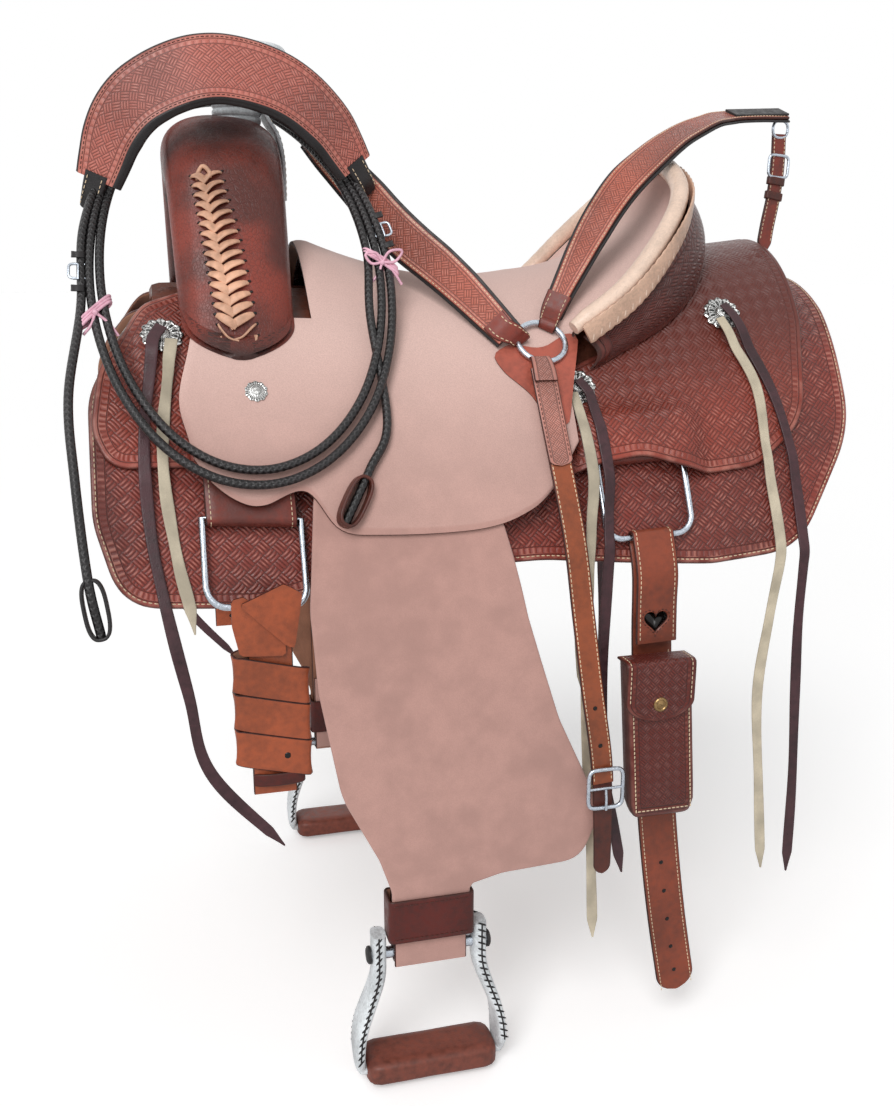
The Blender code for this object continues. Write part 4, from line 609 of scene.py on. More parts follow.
class Look:
    """A node material: a Principled shader and short names for the nodes that feed it."""

    def __init__(self, name, roughness, metallic=0.0):
        self.material = bpy.data.materials.new(name)
        self.material.use_nodes = True
        self.nodes = self.material.node_tree.nodes
        self.links = self.material.node_tree.links
        self.shader = self.nodes["Principled BSDF"]
        self.shader.inputs["Roughness"].default_value = roughness
        self.shader.inputs["Metallic"].default_value = metallic
        self.shader.inputs["Specular IOR Level"].default_value = 0.36
        self.position = self.nodes.new("ShaderNodeTexCoord").outputs["Object"]

    def add(self, kind, inputs=None, **settings):
        made = self.nodes.new("ShaderNode" + kind)
        for key, value in settings.items():
            setattr(made, key, value)
        for key, value in (inputs or {}).items():
            socket = made.inputs[key]
            if isinstance(value, bpy.types.NodeSocket):
                self.links.new(value, socket)
            else:
                socket.default_value = value
        return made

    def math(self, operation, a, b=0.0):
        return self.add("Math", {0: a, 1: b}, operation=operation).outputs[0]

    def plus(self, a, b):
        return self.math("ADD", a, b)

    def minus(self, a, b):
        return self.math("SUBTRACT", a, b)

    def times(self, a, b):
        return self.math("MULTIPLY", a, b)

    def wave(self, value, rate):
        """Humps: the size of the sine of value times rate."""
        return self.math("ABSOLUTE", self.math("SINE", self.times(value, rate)))

    def blend(self, a, b, share):
        """Two heights added, share of the first and the rest of the second."""
        return self.plus(self.times(a, share), self.times(b, 1.0 - share))

    def noise(self, scale, detail=3.0, distortion=0.0):
        inputs = {"Vector": self.position, "Scale": scale, "Detail": detail, "Distortion": distortion}
        return self.add("TexNoise", inputs).outputs["Fac"]

    def attribute(self, name):
        return self.add("Attribute", attribute_name=name).outputs["Vector"]

    def ramp(self, value, low, high):
        return self.add("MapRange", {0: value, 1: low, 2: high}, interpolation_type="SMOOTHSTEP").outputs[0]

    def mix(self, factor, a, b):
        made = self.nodes.new("ShaderNodeMix")
        made.data_type = "RGBA"
        for socket, value in ((made.inputs[0], factor), (made.inputs[6], a), (made.inputs[7], b)):
            if isinstance(value, bpy.types.NodeSocket):
                self.links.new(value, socket)
            else:
                socket.default_value = value
        return made.outputs[2]

    def bump(self, height, strength, distance):
        made = self.add("Bump", {"Height": height, "Strength": strength, "Distance": distance})
        self.links.new(made.outputs[0], self.shader.inputs["Normal"])

    def colour(self, socket):
        self.links.new(socket, self.shader.inputs["Base Color"])

    def roughness(self, socket):
        self.links.new(socket, self.shader.inputs["Roughness"])

    def coat(self, weight, roughness=0.03):
        self.shader.inputs["Coat Weight"].default_value = weight
        self.shader.inputs["Coat Roughness"].default_value = roughness

    def sheen(self, weight):
        self.shader.inputs["Sheen Weight"].default_value = weight
        self.shader.inputs["Sheen Roughness"].default_value = 0.5


def shade(colour, factor):
    return linear(tuple(min(255.0, v * factor) for v in colour))


def grain_leather(name, colour, roughness=0.45, contrast=0.2, grain=520.0, depth=0.35, coat=0.0):
    """Smooth or pebbled leather with uneven dye."""
    look = Look(name, roughness)
    patches = look.noise(14.0, 5.0)
    fine = look.noise(160.0, 4.0)
    mottle = look.blend(patches, fine, 0.65)
    tone = look.ramp(mottle, 0.32, 0.68)
    look.colour(look.mix(tone, shade(colour, 1.0 - contrast), shade(colour, 1.0 + contrast)))
    pores = look.add("TexVoronoi", {"Vector": look.position, "Scale": grain}).outputs["Distance"]
    height = look.plus(look.times(pores, 0.7), look.times(fine, 0.6))
    look.bump(height, depth, 0.0006)
    look.roughness(look.ramp(fine, -0.9 + roughness, 1.3 + roughness * 0.4))
    look.coat(coat, 0.28)
    return look.material


def suede(name, colour, contrast=0.045, painted_top_light=None):
    """Roughout leather: matt, with a short nap, faint rubbed patches and darker scuffs."""
    look = Look(name, 0.92)
    wide = look.noise(5.0, 4.0, distortion=0.6)
    mid = look.noise(40.0, 5.0)
    nap = look.noise(900.0, 3.0)
    mottle = look.blend(wide, mid, 0.5)
    base = look.mix(
        look.ramp(mottle, 0.35, 0.65), shade(colour, 1.0 - contrast), shade(colour, 1.0 + contrast)
    )
    tone_mix_share = look.times(look.ramp(look.noise(9.0, 6.0, distortion=1.2), 0.56, 0.72), 0.16)
    base = look.mix(tone_mix_share, base, shade(colour, 0.84))
    # Up-facing faces are mixed towards a paler colour: painted light from above.
    if painted_top_light:
        up = look.add("SeparateXYZ", {0: look.add("TexCoord").outputs["Normal"]}).outputs[2]
        base = look.mix(look.ramp(up, 0.25, 0.80), base, linear(painted_top_light))
    speck = look.times(look.ramp(nap, 0.35, 0.65), 0.22)
    look.colour(look.mix(speck, base, shade(colour, 0.88)))
    look.bump(look.plus(nap, look.times(mid, 0.5)), 0.35, 0.0005)
    look.sheen(0.25)
    return look.material


ARC_PITCH = 0.0062
# Pale pink that raised parts of stamped leather are lightened towards: partly wear, partly painted
# highlight.
RIDGE_WEAR_AND_HIGHLIGHT = (212, 146, 130)


def stamped(name, colour, cell=0.0092, frame_depth=0.0135, painted_shade_span=None, tone_mix_share=0.42):
    """Basket-stamped leather, with a plain rim, two cut lines and a row of arcs along its edge.

    cell is the weave's pitch, frame_depth where it starts; the span after them darkens it with painted
    shade below its first s value, fading out by its second; the last argument sets how far raised parts are
    lightened, partly as wear and partly as painted highlight.
    """
    look = Look(name, 0.42)
    axes = look.add("SeparateXYZ", {0: look.attribute("flat")}).outputs
    u = look.math("DIVIDE", look.plus(axes[0], axes[1]), cell * 1.414)
    v = look.math("DIVIDE", look.minus(axes[0], axes[1]), cell * 1.414)
    even_u = look.math("FLOORED_MODULO", look.math("FLOOR", u), 2.0)
    even_v = look.math("FLOORED_MODULO", look.math("FLOOR", v), 2.0)
    checker = look.math("ABSOLUTE", look.minus(even_u, even_v))
    ridge_u = look.wave(u, math.pi * 3)
    ridge_v = look.wave(v, math.pi * 3)
    arch_u = look.wave(u, math.pi)
    arch_v = look.wave(v, math.pi)
    over = look.times(ridge_u, look.math("SQRT", arch_v))
    under = look.times(ridge_v, look.math("SQRT", arch_u))
    weave = look.plus(look.times(over, checker), look.times(under, look.minus(1.0, checker)))
    run, depth, _ = look.add("SeparateXYZ", {0: look.attribute("border")}).outputs
    inside = look.ramp(depth, frame_depth, frame_depth + 0.0008)
    arcs = look.wave(run, math.pi / ARC_PITCH)
    band = look.times(look.ramp(depth, 0.0065, 0.0075), look.minus(1.0, look.ramp(depth, 0.0118, 0.0128)))
    rim = look.plus(look.times(look.times(arcs, band), 0.8), look.minus(0.95, look.times(band, 0.75)))
    for place in (0.0055, frame_depth - 0.0004):
        groove = look.math("ABSOLUTE", look.minus(depth, place))
        rim = look.times(rim, look.ramp(groove, 0.0001, 0.0008))
    height = look.plus(look.times(weave, inside), look.times(rim, look.minus(1.0, inside)))
    patches = look.noise(9.0, 5.0)
    tone = look.ramp(patches, 0.34, 0.66)
    base = look.mix(tone, shade(colour, 0.87), shade(colour, 1.091))
    dark = look.times(look.minus(1.0, look.ramp(height, 0.0, 0.55)), 0.72)
    base = look.mix(dark, base, shade(colour, 0.48))
    # Raised parts, in random patches, are lightened: partly wear, partly painted highlight.
    ridge_wear_and_highlight = look.times(look.ramp(height, 0.70, 1.0), look.ramp(look.noise(60.0, 3.0), 0.38, 0.62))
    base = look.mix(look.times(ridge_wear_and_highlight, tone_mix_share), base, linear(RIDGE_WEAR_AND_HIGHLIGHT))
    # Painted shade: darker where s is small, near the top of the piece.
    if painted_shade_span:
        base = look.mix(look.ramp(axes[1], *painted_shade_span), shade(colour, 0.66), base)
    rub = look.minus(1.0, look.ramp(depth, 0.0, 0.0028))
    look.colour(look.mix(look.times(rub, 0.7), base, shade(colour, 0.42)))
    fine = look.noise(420.0, 3.0)
    look.bump(look.plus(height, look.times(fine, 0.16)), 0.8, 0.0011)
    look.roughness(look.ramp(look.plus(fine, patches), -0.18, 2.62))
    look.coat(0.18, 0.3)
    return look.material


def fork_leather(name, colour):
    """The fork's cover: polished, fine cross-grain creases, darker at its foot and in a band near the top
    of the arch, with painted shade on the arch's underside.
    """
    look = Look(name, 0.3)
    flat = look.attribute("flat")
    depth = look.add("SeparateXYZ", {0: look.attribute("border")}).outputs[1]
    creases = look.add(
        "TexVoronoi", {"Vector": flat, "Scale": 330.0}, feature="DISTANCE_TO_EDGE"
    ).outputs["Distance"]
    fine = look.noise(240.0, 4.0)
    patches = look.noise(16.0, 5.0)
    base = look.mix(look.ramp(patches, 0.35, 0.66), shade(colour, 0.80), shade(colour, 1.28))
    crease = look.minus(1.0, look.ramp(creases, 0.0, 0.09))
    base = look.mix(look.times(crease, 0.45), base, shade(colour, 0.5))
    # depth darkens the foot, puts painted shade on the arch's underside and darkens a band near its top.
    look.colour(look.mix(depth, base, shade(colour, 0.42)))
    look.bump(look.plus(look.ramp(creases, 0.0, 0.12), look.times(fine, 0.3)), 0.45, 0.0005)
    look.roughness(look.ramp(look.plus(fine, patches), -0.3, 2.4))
    look.coat(0.14, 0.22)
    return look.material


def metal(name, colour, roughness=0.28, engraved=False):
    """Satin metal with fine scratches; engraved metal has cut rays and dark in its cuts."""
    look = Look(name, roughness, 1.0)
    scratches = look.noise(260.0, 6.0, distortion=2.0)
    tone = look.mix(look.ramp(scratches, 0.3, 0.7), shade(colour, 0.86), shade(colour, 1.08))
    height = look.times(scratches, 0.25)
    if engraved:
        axes = look.add("SeparateXYZ", {0: look.attribute("flat")}).outputs
        rays = look.wave(axes[0], 24 / 0.04)
        rings = look.wave(axes[1], math.pi / 0.0045)
        cut = look.times(rays, look.math("SQRT", rings))
        tone = look.mix(look.minus(1.0, look.ramp(cut, 0.05, 0.5)), tone, shade(colour, 0.35))
        height = look.plus(height, cut)
    look.colour(tone)
    look.bump(height, 0.5 if engraved else 0.15, 0.0006)
    look.roughness(look.ramp(scratches, -0.5, 2.4))
    return look.material


def woolly(name, colour):
    look = Look(name, 1.0)
    curl = look.noise(170.0, 6.0, distortion=3.0)
    tuft = look.noise(45.0, 4.0, distortion=1.5)
    mottle = look.blend(curl, tuft, 0.6)
    look.colour(look.mix(look.ramp(mottle, 0.35, 0.62), shade(colour, 0.62), shade(colour, 1.08)))
    look.bump(mottle, 1.0, 0.004)
    look.sheen(0.4)
    return look.material


def wrapped_hide(name, colour, low=0.80, high=1.08):
    """Pale hide, wound in narrow turns, mottled at random."""
    look = Look(name, 0.42)
    fibre = look.noise(300.0, 5.0, distortion=1.0)
    soil = look.noise(24.0, 5.0)
    mottle = look.blend(fibre, soil, 0.4)
    look.colour(look.mix(look.ramp(mottle, 0.3, 0.66), shade(colour, low), shade(colour, high)))
    look.bump(look.plus(fibre, soil), 0.3, 0.0006)
    look.coat(0.15)
    return look.material


PLAIT_PITCH = 0.006


def braided(name, colour):
    """Plaited leather cord: two sets of slanting strands round it."""
    look = Look(name, 0.38)
    axes = look.add("SeparateXYZ", {0: look.attribute("flat")}).outputs
    run = look.math("DIVIDE", axes[0], PLAIT_PITCH)
    round_it = look.math("DIVIDE", axes[1], PLAIT_PITCH * 1.1)
    first = look.math("SINE", look.times(look.plus(run, round_it), math.pi * 2))
    second = look.math("SINE", look.times(look.minus(run, round_it), math.pi * 2))
    height = look.math("MAXIMUM", first, second)
    fine = look.noise(500.0, 3.0)
    base = look.mix(look.ramp(look.noise(20.0, 4.0), 0.35, 0.65), shade(colour, 0.8), shade(colour, 1.5))
    # Darker where the strands dip: painted shade between them.
    look.colour(look.mix(look.ramp(height, 0.2, 0.9), shade(colour, 0.5), base))
    look.bump(look.plus(height, look.times(fine, 0.2)), 0.55, 0.0007)
    look.coat(0.2, 0.3)
    return look.material


LOOK = {
    "edge": grain_leather("cut_edge", DARK_EDGE, 0.5, 0.25, 700.0, 0.3),
    "flesh": suede("flesh_side", (150, 104, 82), 0.1),
    "roughout": suede("roughout", ROUGHOUT),
    # The seat's up-facing faces are painted paler: painted light from above.
    "seat": suede("seat_roughout", ROUGHOUT, 0.045, (234, 200, 190)),
    "skirt": stamped("skirt_stamped", DARK_RED, 0.0112),
    "jockey": stamped("jockey_stamped", RED_BROWN, 0.0112),
    # The rear jockey gets painted shade near its top.
    "rear_jockey": stamped("rear_jockey_stamped", RED_BROWN, 0.0112, painted_shade_span=(0.12, 0.27)),
    # The cantle back is a much darker red-brown than the other stamped leather: painted shade.
    "cantle": stamped("cantle_stamped_painted_shade", (88, 32, 24), 0.0112, tone_mix_share=0.12),
    "band": stamped("band_stamped", (176, 100, 88), 0.0082, 0.0112),
    "collar": stamped("collar_stamped", (180, 98, 80), 0.0078, 0.0088),
    "pouch": stamped("pouch_stamped", (92, 28, 18), 0.0075, 0.0105, tone_mix_share=0.14),
    "fork": fork_leather("fork_polished", FORK_BROWN),
    "brown": grain_leather("brown_smooth", (112, 48, 38), 0.36, 0.2, 480.0, 0.3, 0.2),
    "tan": grain_leather("harness_tan", ORANGE_TAN, 0.42, 0.14, 620.0, 0.22, 0.12),
    "chest": grain_leather("chest_strap_brown", (136, 70, 42), 0.42, 0.14, 620.0, 0.22, 0.12),
    "flank": grain_leather("flank_billet_brown", (126, 60, 40), 0.42, 0.14, 620.0, 0.22, 0.12),
    "chape": stamped("chape_stamped", (204, 138, 124), 0.0060, 0.0052),
    "safe": grain_leather("safe_leather", (164, 84, 68), 0.42, 0.14, 560.0, 0.3, 0.15),
    "dark": grain_leather("thong_dark", DARK_STRING, 0.55, 0.22, 700.0, 0.3),
    "cream": suede("thong_cream", CREAM_STRING, 0.12),
    "black": grain_leather("black_leather", BLACK, 0.4, 0.3, 650.0, 0.3, 0.1),
    "rein": braided("rein_plaited", BLACK),
    "rein_brown": grain_leather("rein_brown", (74, 34, 26), 0.4, 0.25, 650.0, 0.3, 0.15),
    "rawhide": wrapped_hide("rawhide", RAWHIDE, 0.90, 1.04),
    "lace": grain_leather("fork_lace", (214, 166, 138), 0.5, 0.16, 420.0, 0.3),
    # The flap is a darker version of the roll's rawhide: painted shade.
    "flap": wrapped_hide("rawhide_flap", (216, 178, 154), 0.84, 1.05),
    "hide": wrapped_hide("horn_hide", HIDE),
    "hobble": grain_leather("hobble_leather", HOBBLE, 0.45, 0.2, 560.0, 0.3, 0.1),
    "tread": grain_leather("tread_leather", TREAD, 0.4, 0.25, 520.0, 0.35, 0.15),
    "wool": woolly("woolskin", WOOL),
    "wood": grain_leather("tree_rawhide", (96, 52, 38), 0.6, 0.2, 300.0, 0.3),
    "steel": metal("steel_satin", STEEL),
    "silver": metal("silver_engraved", (206, 206, 204), 0.3, True),
    "brass": metal("brass_snap", (150, 122, 84), 0.35),
    "thread": grain_leather("waxed_thread", (222, 200, 168), 0.6, 0.1, 900.0, 0.2),
    "dark_thread": grain_leather("dark_thread", (70, 36, 28), 0.6, 0.1, 900.0, 0.2),
    "tie": grain_leather("pink_tie", PINK, 0.7, 0.12, 900.0, 0.2),
    # Near-black for punched holes: painted shade inside them.
    "hole": grain_leather("punched_hole_painted_shade", (14, 9, 8), 0.9, 0.1, 900.0, 0.1)
}


# Skirts, jockeys and fleece


def rear_jockey_lift(x, s):
    bump = smooth((0.082 - np.abs(x - REAR_DEE[0])) / 0.036) * smooth((s - 0.212) / 0.033)
    return JOCKEY_LIFT + 0.038 * (1.0 - smooth(s / 0.20)) + DEE_BUMP * bump


def front_jockey_lift(x, s):
    over = smooth((x + 0.334) / 0.032) * (1.0 - smooth((s - BAR_OUTER - 0.002) / 0.035))
    return JOCKEY_LIFT + (BAR_TOP + 0.0008 - JOCKEY_LIFT) * over


def skirt_outline(inset=0.0):
    centre, front, rear = 0.006 + inset, -0.364 + inset, 0.421 - inset
    low, front_low = 0.388 - inset, 0.405 - inset
    return rounded([
        (-0.225 + inset, centre, 0.01), (-0.255 + inset, 0.074, 0.04), (front + 0.040, 0.118 + inset, 0.06),
        (front + 0.001, 0.208, 0.10), (front - 0.001, 0.330, 0.10),
        (front + 0.020, front_low + 0.002, 0.045), (-0.215, front_low, 0.10), (-0.110, low - 0.016, 0.10),
        (0.060, low - 0.018, 0.20), (0.235, low + 0.004, 0.10), (rear - 0.090, low + 0.002, 0.07),
        (rear - 0.012, 0.275, 0.14), (rear, 0.130, 0.10), (rear - 0.001, centre, 0.012)
    ])


REAR_JOCKEY = rounded([
    (0.088, 0.184, 0.01), (0.146, 0.162, 0.06), (0.222, 0.122, 0.06), (0.280, 0.060, 0.05),
    (0.290, 0.0006, 0.0), (0.391, 0.0006, 0.008), (0.382, 0.150, 0.10), (0.355, 0.262, 0.08),
    (0.296, 0.300, 0.05), (0.231, 0.302, 0.06), (0.168, 0.279, 0.05), (0.128, 0.283, 0.03),
    (0.088, 0.291, 0.01)
])
FRONT_JOCKEY = rounded([
    (-0.262, 0.078, 0.008), (-0.315, 0.114, 0.06), (-0.352, 0.180, 0.08), (-0.362, 0.244, 0.05),
    (-0.347, 0.280, 0.035), (-0.235, 0.272, 0.03), (-0.228, 0.182, 0.008), (-0.246, 0.150, 0.01)
])


def curl(top, low, flat, depth):
    """The fleece's pile: tufts on its underside and a ragged edge."""
    for i, (x, s) in enumerate(flat):
        tuft = noise.noise(Vector((x * 90, s * 90, 3.0))) * 0.5
        tuft = tuft + noise.noise(Vector((x * 210, s * 210, 7.0))) * 0.5
        out = low[i] - top[i]
        low[i] = low[i] + out * 0.10 * tuft
        if depth[i] < 0.004:
            low[i] = low[i] + vec(noise.noise(Vector((x * 160, s * 160, 1.0))) * 0.0022, 0.0, tuft * 0.0018)
    return top, low


def make_side_leathers():
    for name, side in SIDES.items():
        panel(
            "wool_" + name, skirt_outline(0.004), -FLEECE_THICK - 0.0012, FLEECE_THICK, side, "wool",
            "fleece_" + name, round_by=0.3, edge="wool", rough=curl
        )
        skirt = "skirt_" + name
        line = panel("skirt_leather_" + name, skirt_outline(), 0.0, SKIRT_THICK, side, "skirt", skirt)
        panel_stitches("skirt_stitching_" + name, line, 0.0040, SKIRT_THICK, side, skirt)
        panel(
            "rear_jockey_leather_" + name, REAR_JOCKEY, rear_jockey_lift, JOCKEY_THICK, side, "rear_jockey",
            "rear_jockey_" + name
        )
        panel(
            "front_jockey_leather_" + name, FRONT_JOCKEY, front_jockey_lift, JOCKEY_THICK, side, "jockey",
            "front_jockey_" + name
        )


# Fork, horn and seat

FORK_OUTER = along(
    [(0.0, 1.0), (0.24, 0.965), (0.44, 0.845), (0.60, 0.650), (0.75, 0.430), (0.885, 0.215), (1, 0)], 25
)
FORK_INNER = along(
    [(0.0, 0.625), (0.19, 0.595), (0.33, 0.48), (0.45, 0.32), (0.57, 0.17), (0.67, 0.06), (0.78, -0.02)], 25
)
FORK_FOOT_Z = float(side_point(FORK_X, 0.184, FORK_FOOT_LIFT + 0.003, -1.0)[2])


def fork_point(t, angle, side, inset=0.0):
    """A point of the fork at t, from 0 at the top of the arch to 1 at the foot, and round it at angle."""
    at = t * 24
    low = int(min(at, 23))
    share = at - low
    a = FORK_OUTER[low] * (1 - share) + FORK_OUTER[low + 1] * share
    b = FORK_INNER[low] * (1 - share) + FORK_INNER[low + 1] * share
    rise = FORK_TOP_Z - FORK_FOOT_Z
    top = vec(0.0, side * a[0] * FORK_HALF_SPAN, FORK_FOOT_Z + a[1] * rise)
    under = vec(0.0, side * b[0] * FORK_HALF_SPAN, FORK_FOOT_Z + b[1] * rise)
    end = max(0.0, (t - 0.87) / 0.13)
    half = (FORK_HALF + (FORK_FOOT_HALF - FORK_HALF) * t) * math.sqrt(1.0 - 0.92 * end**2.4) - inset
    out = (top - under) / 2
    out = out * (1.0 - inset / np.linalg.norm(out))
    c, s = math.cos(angle), math.sin(angle)
    reach_x = math.copysign(abs(c) ** 0.8, c) * half
    reach_n = math.copysign(abs(s) ** 0.8, s)
    place = (top + under) / 2 + out * reach_n + vec(FORK_X + reach_x, 0.0, 0.0)
    s, lift = lift_of(place)
    least = FORK_FOOT_LIFT + inset
    if lift < least:
        place = place + side_normal(s, side) * (least - lift) * float(smooth((s - 0.045) / 0.035))
    return place


def make_fork():
    sides = 64
    steps = list(np.linspace(0.0, 0.85, 30)) + list(np.linspace(0.87, 1.0, 14))
    stations = [(t, -1.0) for t in reversed(steps)] + [(t, 1.0) for t in steps[1:]]
    points, shades, flats = [], [], []
    for inset in (0.0, FORK_COVER):
        for t, side in stations:
            for k in range(sides):
                angle = 2 * math.pi * k / sides
                points.append(fork_point(t, angle, side, inset))
                # rim darkens the foot and puts painted shade on the arch's underside; band darkens a strip
                # across the arch near its top.
                rim = max(float(smooth((t - 0.955) / 0.045)), float(smooth((-math.sin(angle) - 0.1) / 0.5)))
                band = math.exp(-(((t - 0.24) / 0.035) ** 2))
                shades.append((0.0, min(1.0, 0.85 * rim + 0.6 * band), 0.0))
                flats.append((side * t * 0.25, angle * 0.05, 0.0))
    count = len(stations)
    faces = []
    other = count * sides
    for i in range(count - 1):
        for k in range(sides):
            n = (k + 1) % sides
            a, b = i * sides, (i + 1) * sides
            faces.append((a + k, a + n, b + n, b + k))
            faces.append((other + b + k, other + b + n, other + a + n, other + a + k))
    for base in (0, (count - 1) * sides):
        for k in range(sides):
            n = (k + 1) % sides
            faces.append((base + n, base + k, other + base + k, other + base + n))
    attributes = {"flat": np.array(flats), "border": np.array(shades)}
    obj = make_object("fork_leather", points, faces, ["fork"], None, attributes, 60)
    put(obj, "fork_cover", True)
    make_lacing()


LACE_STEPS = 17
LACE_TOP = 0.415
LACE_LOW = 0.925


def make_lacing():
    """The plaited rawhide lace down the front of the fork, on both sides, through two rows of holes."""
    for name, side in SIDES.items():
        arms, holes, hole_outs = [], [], []
        for share in np.linspace(0.0, 1.0, LACE_STEPS):
            t = LACE_TOP + (LACE_LOW - LACE_TOP) * share
            middle = math.radians(108.0 - 16.0 * share)
            near = fork_point(t + 0.020, middle, side)
            for way in (-1, 1):
                edge_angle = middle + way * 0.245
                hole = fork_point(t - 0.006, edge_angle, side)
                out = unit(hole - fork_point(t - 0.006, edge_angle, side, 0.006))
                over = fork_point(t + 0.033, middle - way * 0.045, side)
                centre_out = unit(near - fork_point(t + 0.020, middle, side, 0.006))
                lift = 0.0020 + 0.0012 * (way > 0)
                mid = (hole * 0.45 + over * 0.55) + centre_out * (lift + 0.0024)
                arms.append((
                    way,
                    [
                        hole - out * 0.0006, hole * 0.8 + over * 0.2 + out * 0.0026, mid,
                        over + centre_out * (lift - 0.0002)
                    ],
                    centre_out
                ))
                holes.append(hole + (hole - near) * 0.10 + out * 0.0001)
                hole_outs.append(out)
        for i, (way, path, out) in enumerate(arms):
            ahead = path[-1] - path[0]
            strip = Strip(path, unit(np.cross(ahead, out)), 9, out)
            piece = strip.mesh(
                "fork_lace_%s_%02d" % (name, i), [0.0056, 0.0086, 0.0092, 0.0080], 0.0019, "lace", "lace",
                crown=0.0005
            )
            put(piece, "fork_cover")
        outs = np.array(hole_outs)
        # Near-black studs stand for the lace holes: painted shade.
        put(studs("fork_holes_" + name, holes, Z, outs, 0.0030, 0.0019, "hole", 0.35), "fork_cover")
        start, end = (fork_point(LACE_TOP + step, math.radians(108.0), side) for step in (-0.012, 0.020))
        out = unit(end - fork_point(LACE_TOP + 0.020, math.radians(108.0), side, 0.006))
        across = unit(np.cross(end - start, out)) * 0.006
        rise = (start - end) * 0.9
        ring = [
            end + across, end + across * 1.1 + rise * 0.55, start + rise * 0.35,
            end - across * 1.1 + rise * 0.55, end - across
        ]
        loop_path = along([p + out * 0.0024 for p in ring], 22)
        put(tube("fork_lace_loop_" + name, loop_path, 0.0022, "lace", 8, up=out), "fork_cover")


def make_horn():
    top, low = CAP_TOP_Z, CAP_TOP_Z - CAP_THICK
    outline = [(POST_RADIUS + 0.006, 0.222), (POST_RADIUS + 0.0035, 0.232), (POST_RADIUS + 0.001, 0.245)]
    turns = 6
    for i in range(turns):
        z0 = 0.247 + (low - 0.010 - 0.247) * i / turns
        z1 = 0.247 + (low - 0.010 - 0.247) * (i + 1) / turns
        for share, bulge in ((0.06, -0.0010), (0.2, 0.0002), (0.5, 0.0007), (0.8, 0.0003), (0.94, -0.0008)):
            outline.append((POST_RADIUS + bulge, z0 + (z1 - z0) * share))
    outline += [(POST_RADIUS + 0.002, low - 0.006), (POST_RADIUS + 0.010, low)]
    for k in range(9):
        a = math.pi / 2 * k / 8
        outline.append((CAP_RADIUS - 0.008 + 0.008 * math.sin(a), low + 0.010 - 0.010 * math.cos(a)))
    for k in range(9):
        a = math.pi / 2 * k / 8
        outline.append((CAP_RADIUS - 0.008 + 0.008 * math.cos(a), top - 0.010 + 0.010 * math.sin(a)))
    outline += [
        (CAP_RADIUS - 0.014, top), (0.030, top), (0.016, top), (0.012, top - 0.0008), (0.011, top - 0.003),
        (0.002, top - 0.003)
    ]
    outline += [(0.0015, top - 0.010), (0.0015, 0.222)]
    horn = lathe("horn_hide", outline, vec(HORN_X, 0, 0), (0, 0, 1), "hide", 72, True)
    put(horn, "horn_wrap", True)
    back = FORK_X + FORK_HALF
    path = [
        vec(HORN_X + POST_RADIUS - 0.002, 0, 0.266), vec(back - 0.0095, 0, FORK_TOP_Z - 0.0070),
        vec(back - 0.0010, 0, FORK_TOP_Z - 0.0215), vec(back + 0.0034, 0, FORK_TOP_Z - 0.046),
        vec(back + 0.0038, 0, FORK_TOP_Z - 0.085)
    ]
    strip = Strip(path, Y, 40, (1, 0, 1))
    put(strip.mesh("horn_tail_hide", 0.044, 0.0036, "hide", "hide", crown=0.0006), "horn_wrap")
    put(strip.stitches("horn_tail_stitching", (-0.0185, 0.0185), 0.0020, pitch=0.006), "horn_wrap")


SEAT_LOW_X = 0.030
SEAT_LOW_Z = 0.094
SEAT_HIGH_Z = 0.132


def seat_lift(x, q):
    """How far the seat's face stands off the side, at x and arc length q from the middle."""
    ahead = SEAT_LOW_X - x
    if ahead > 0.0:
        top = SEAT_LOW_Z + 0.038 * (ahead / 0.164) ** 1.8
    else:
        top = SEAT_LOW_Z + 0.006 * (ahead / 0.070) ** 2
    top = min(top, SEAT_HIGH_Z)
    centre = top - RIDGE_Z - ROCK * x * x
    side = SEAT_LIFT + SEAT_THICK
    return side + (centre - side) * (1.0 - float(smooth(q / NOTCH_S)))


DEPTH_LINE = along(
    [
        (-0.281, 0.274), (-0.268, 0.296), (-0.240, 0.312), (-0.215, 0.314), (-0.173, 0.301),
        (-0.144, 0.336), (-0.105, 0.342), (-0.010, 0.340), (0.040, 0.326), (0.070, 0.303), (0.100, 0.262)
    ],
    160
)
DEPTH_LINE = DEPTH_LINE[np.argsort(DEPTH_LINE[:, 0])]
FRONT_LINE = along([(0.125, 0.022), (0.168, 0.012), (0.218, 0.0), (0.256, 0.006), (0.300, 0.016)], 60)


def jockey_depth(x):
    return float(np.interp(x, DEPTH_LINE[:, 0], DEPTH_LINE[:, 1]))


def front_of_jockey(s):
    return float(np.interp(s, FRONT_LINE[:, 0], FRONT_LINE[:, 1]))


def rim_curve():
    control = [
        (RIM_TOP_X, 0.0, RIM_TOP_Z), (RIM_TOP_X - 0.004, 0.34 * RIM_HALF, RIM_TOP_Z - 0.011),
        (RIM_TOP_X - 0.017, 0.66 * RIM_HALF, RIM_TOP_Z - 0.038),
        (RIM_TOP_X - 0.050, 0.88 * RIM_HALF, RIM_TOP_Z - 0.079),
        (RIM_TOP_X - 0.100, 0.99 * RIM_HALF, RIM_TOP_Z - 0.133),
        (RIM_TOP_X - 0.158, 1.03 * RIM_HALF, RIM_TOP_Z - 0.174)
    ]
    curve = along([(control[1][0], -control[1][1], control[1][2])] + control, 601)
    start = int(np.argmin(np.abs(curve[:, 1])))
    return curve, start


RIM, RIM_START = rim_curve()


def rim_point(tau):
    at = RIM_START + abs(tau) * (len(RIM) - 1 - RIM_START)
    low = int(min(at, len(RIM) - 2))
    place = RIM[low] * (1 - (at - low)) + RIM[low + 1] * (at - low)
    return vec(place[0], math.copysign(1.0, tau) * abs(place[1]), place[2])


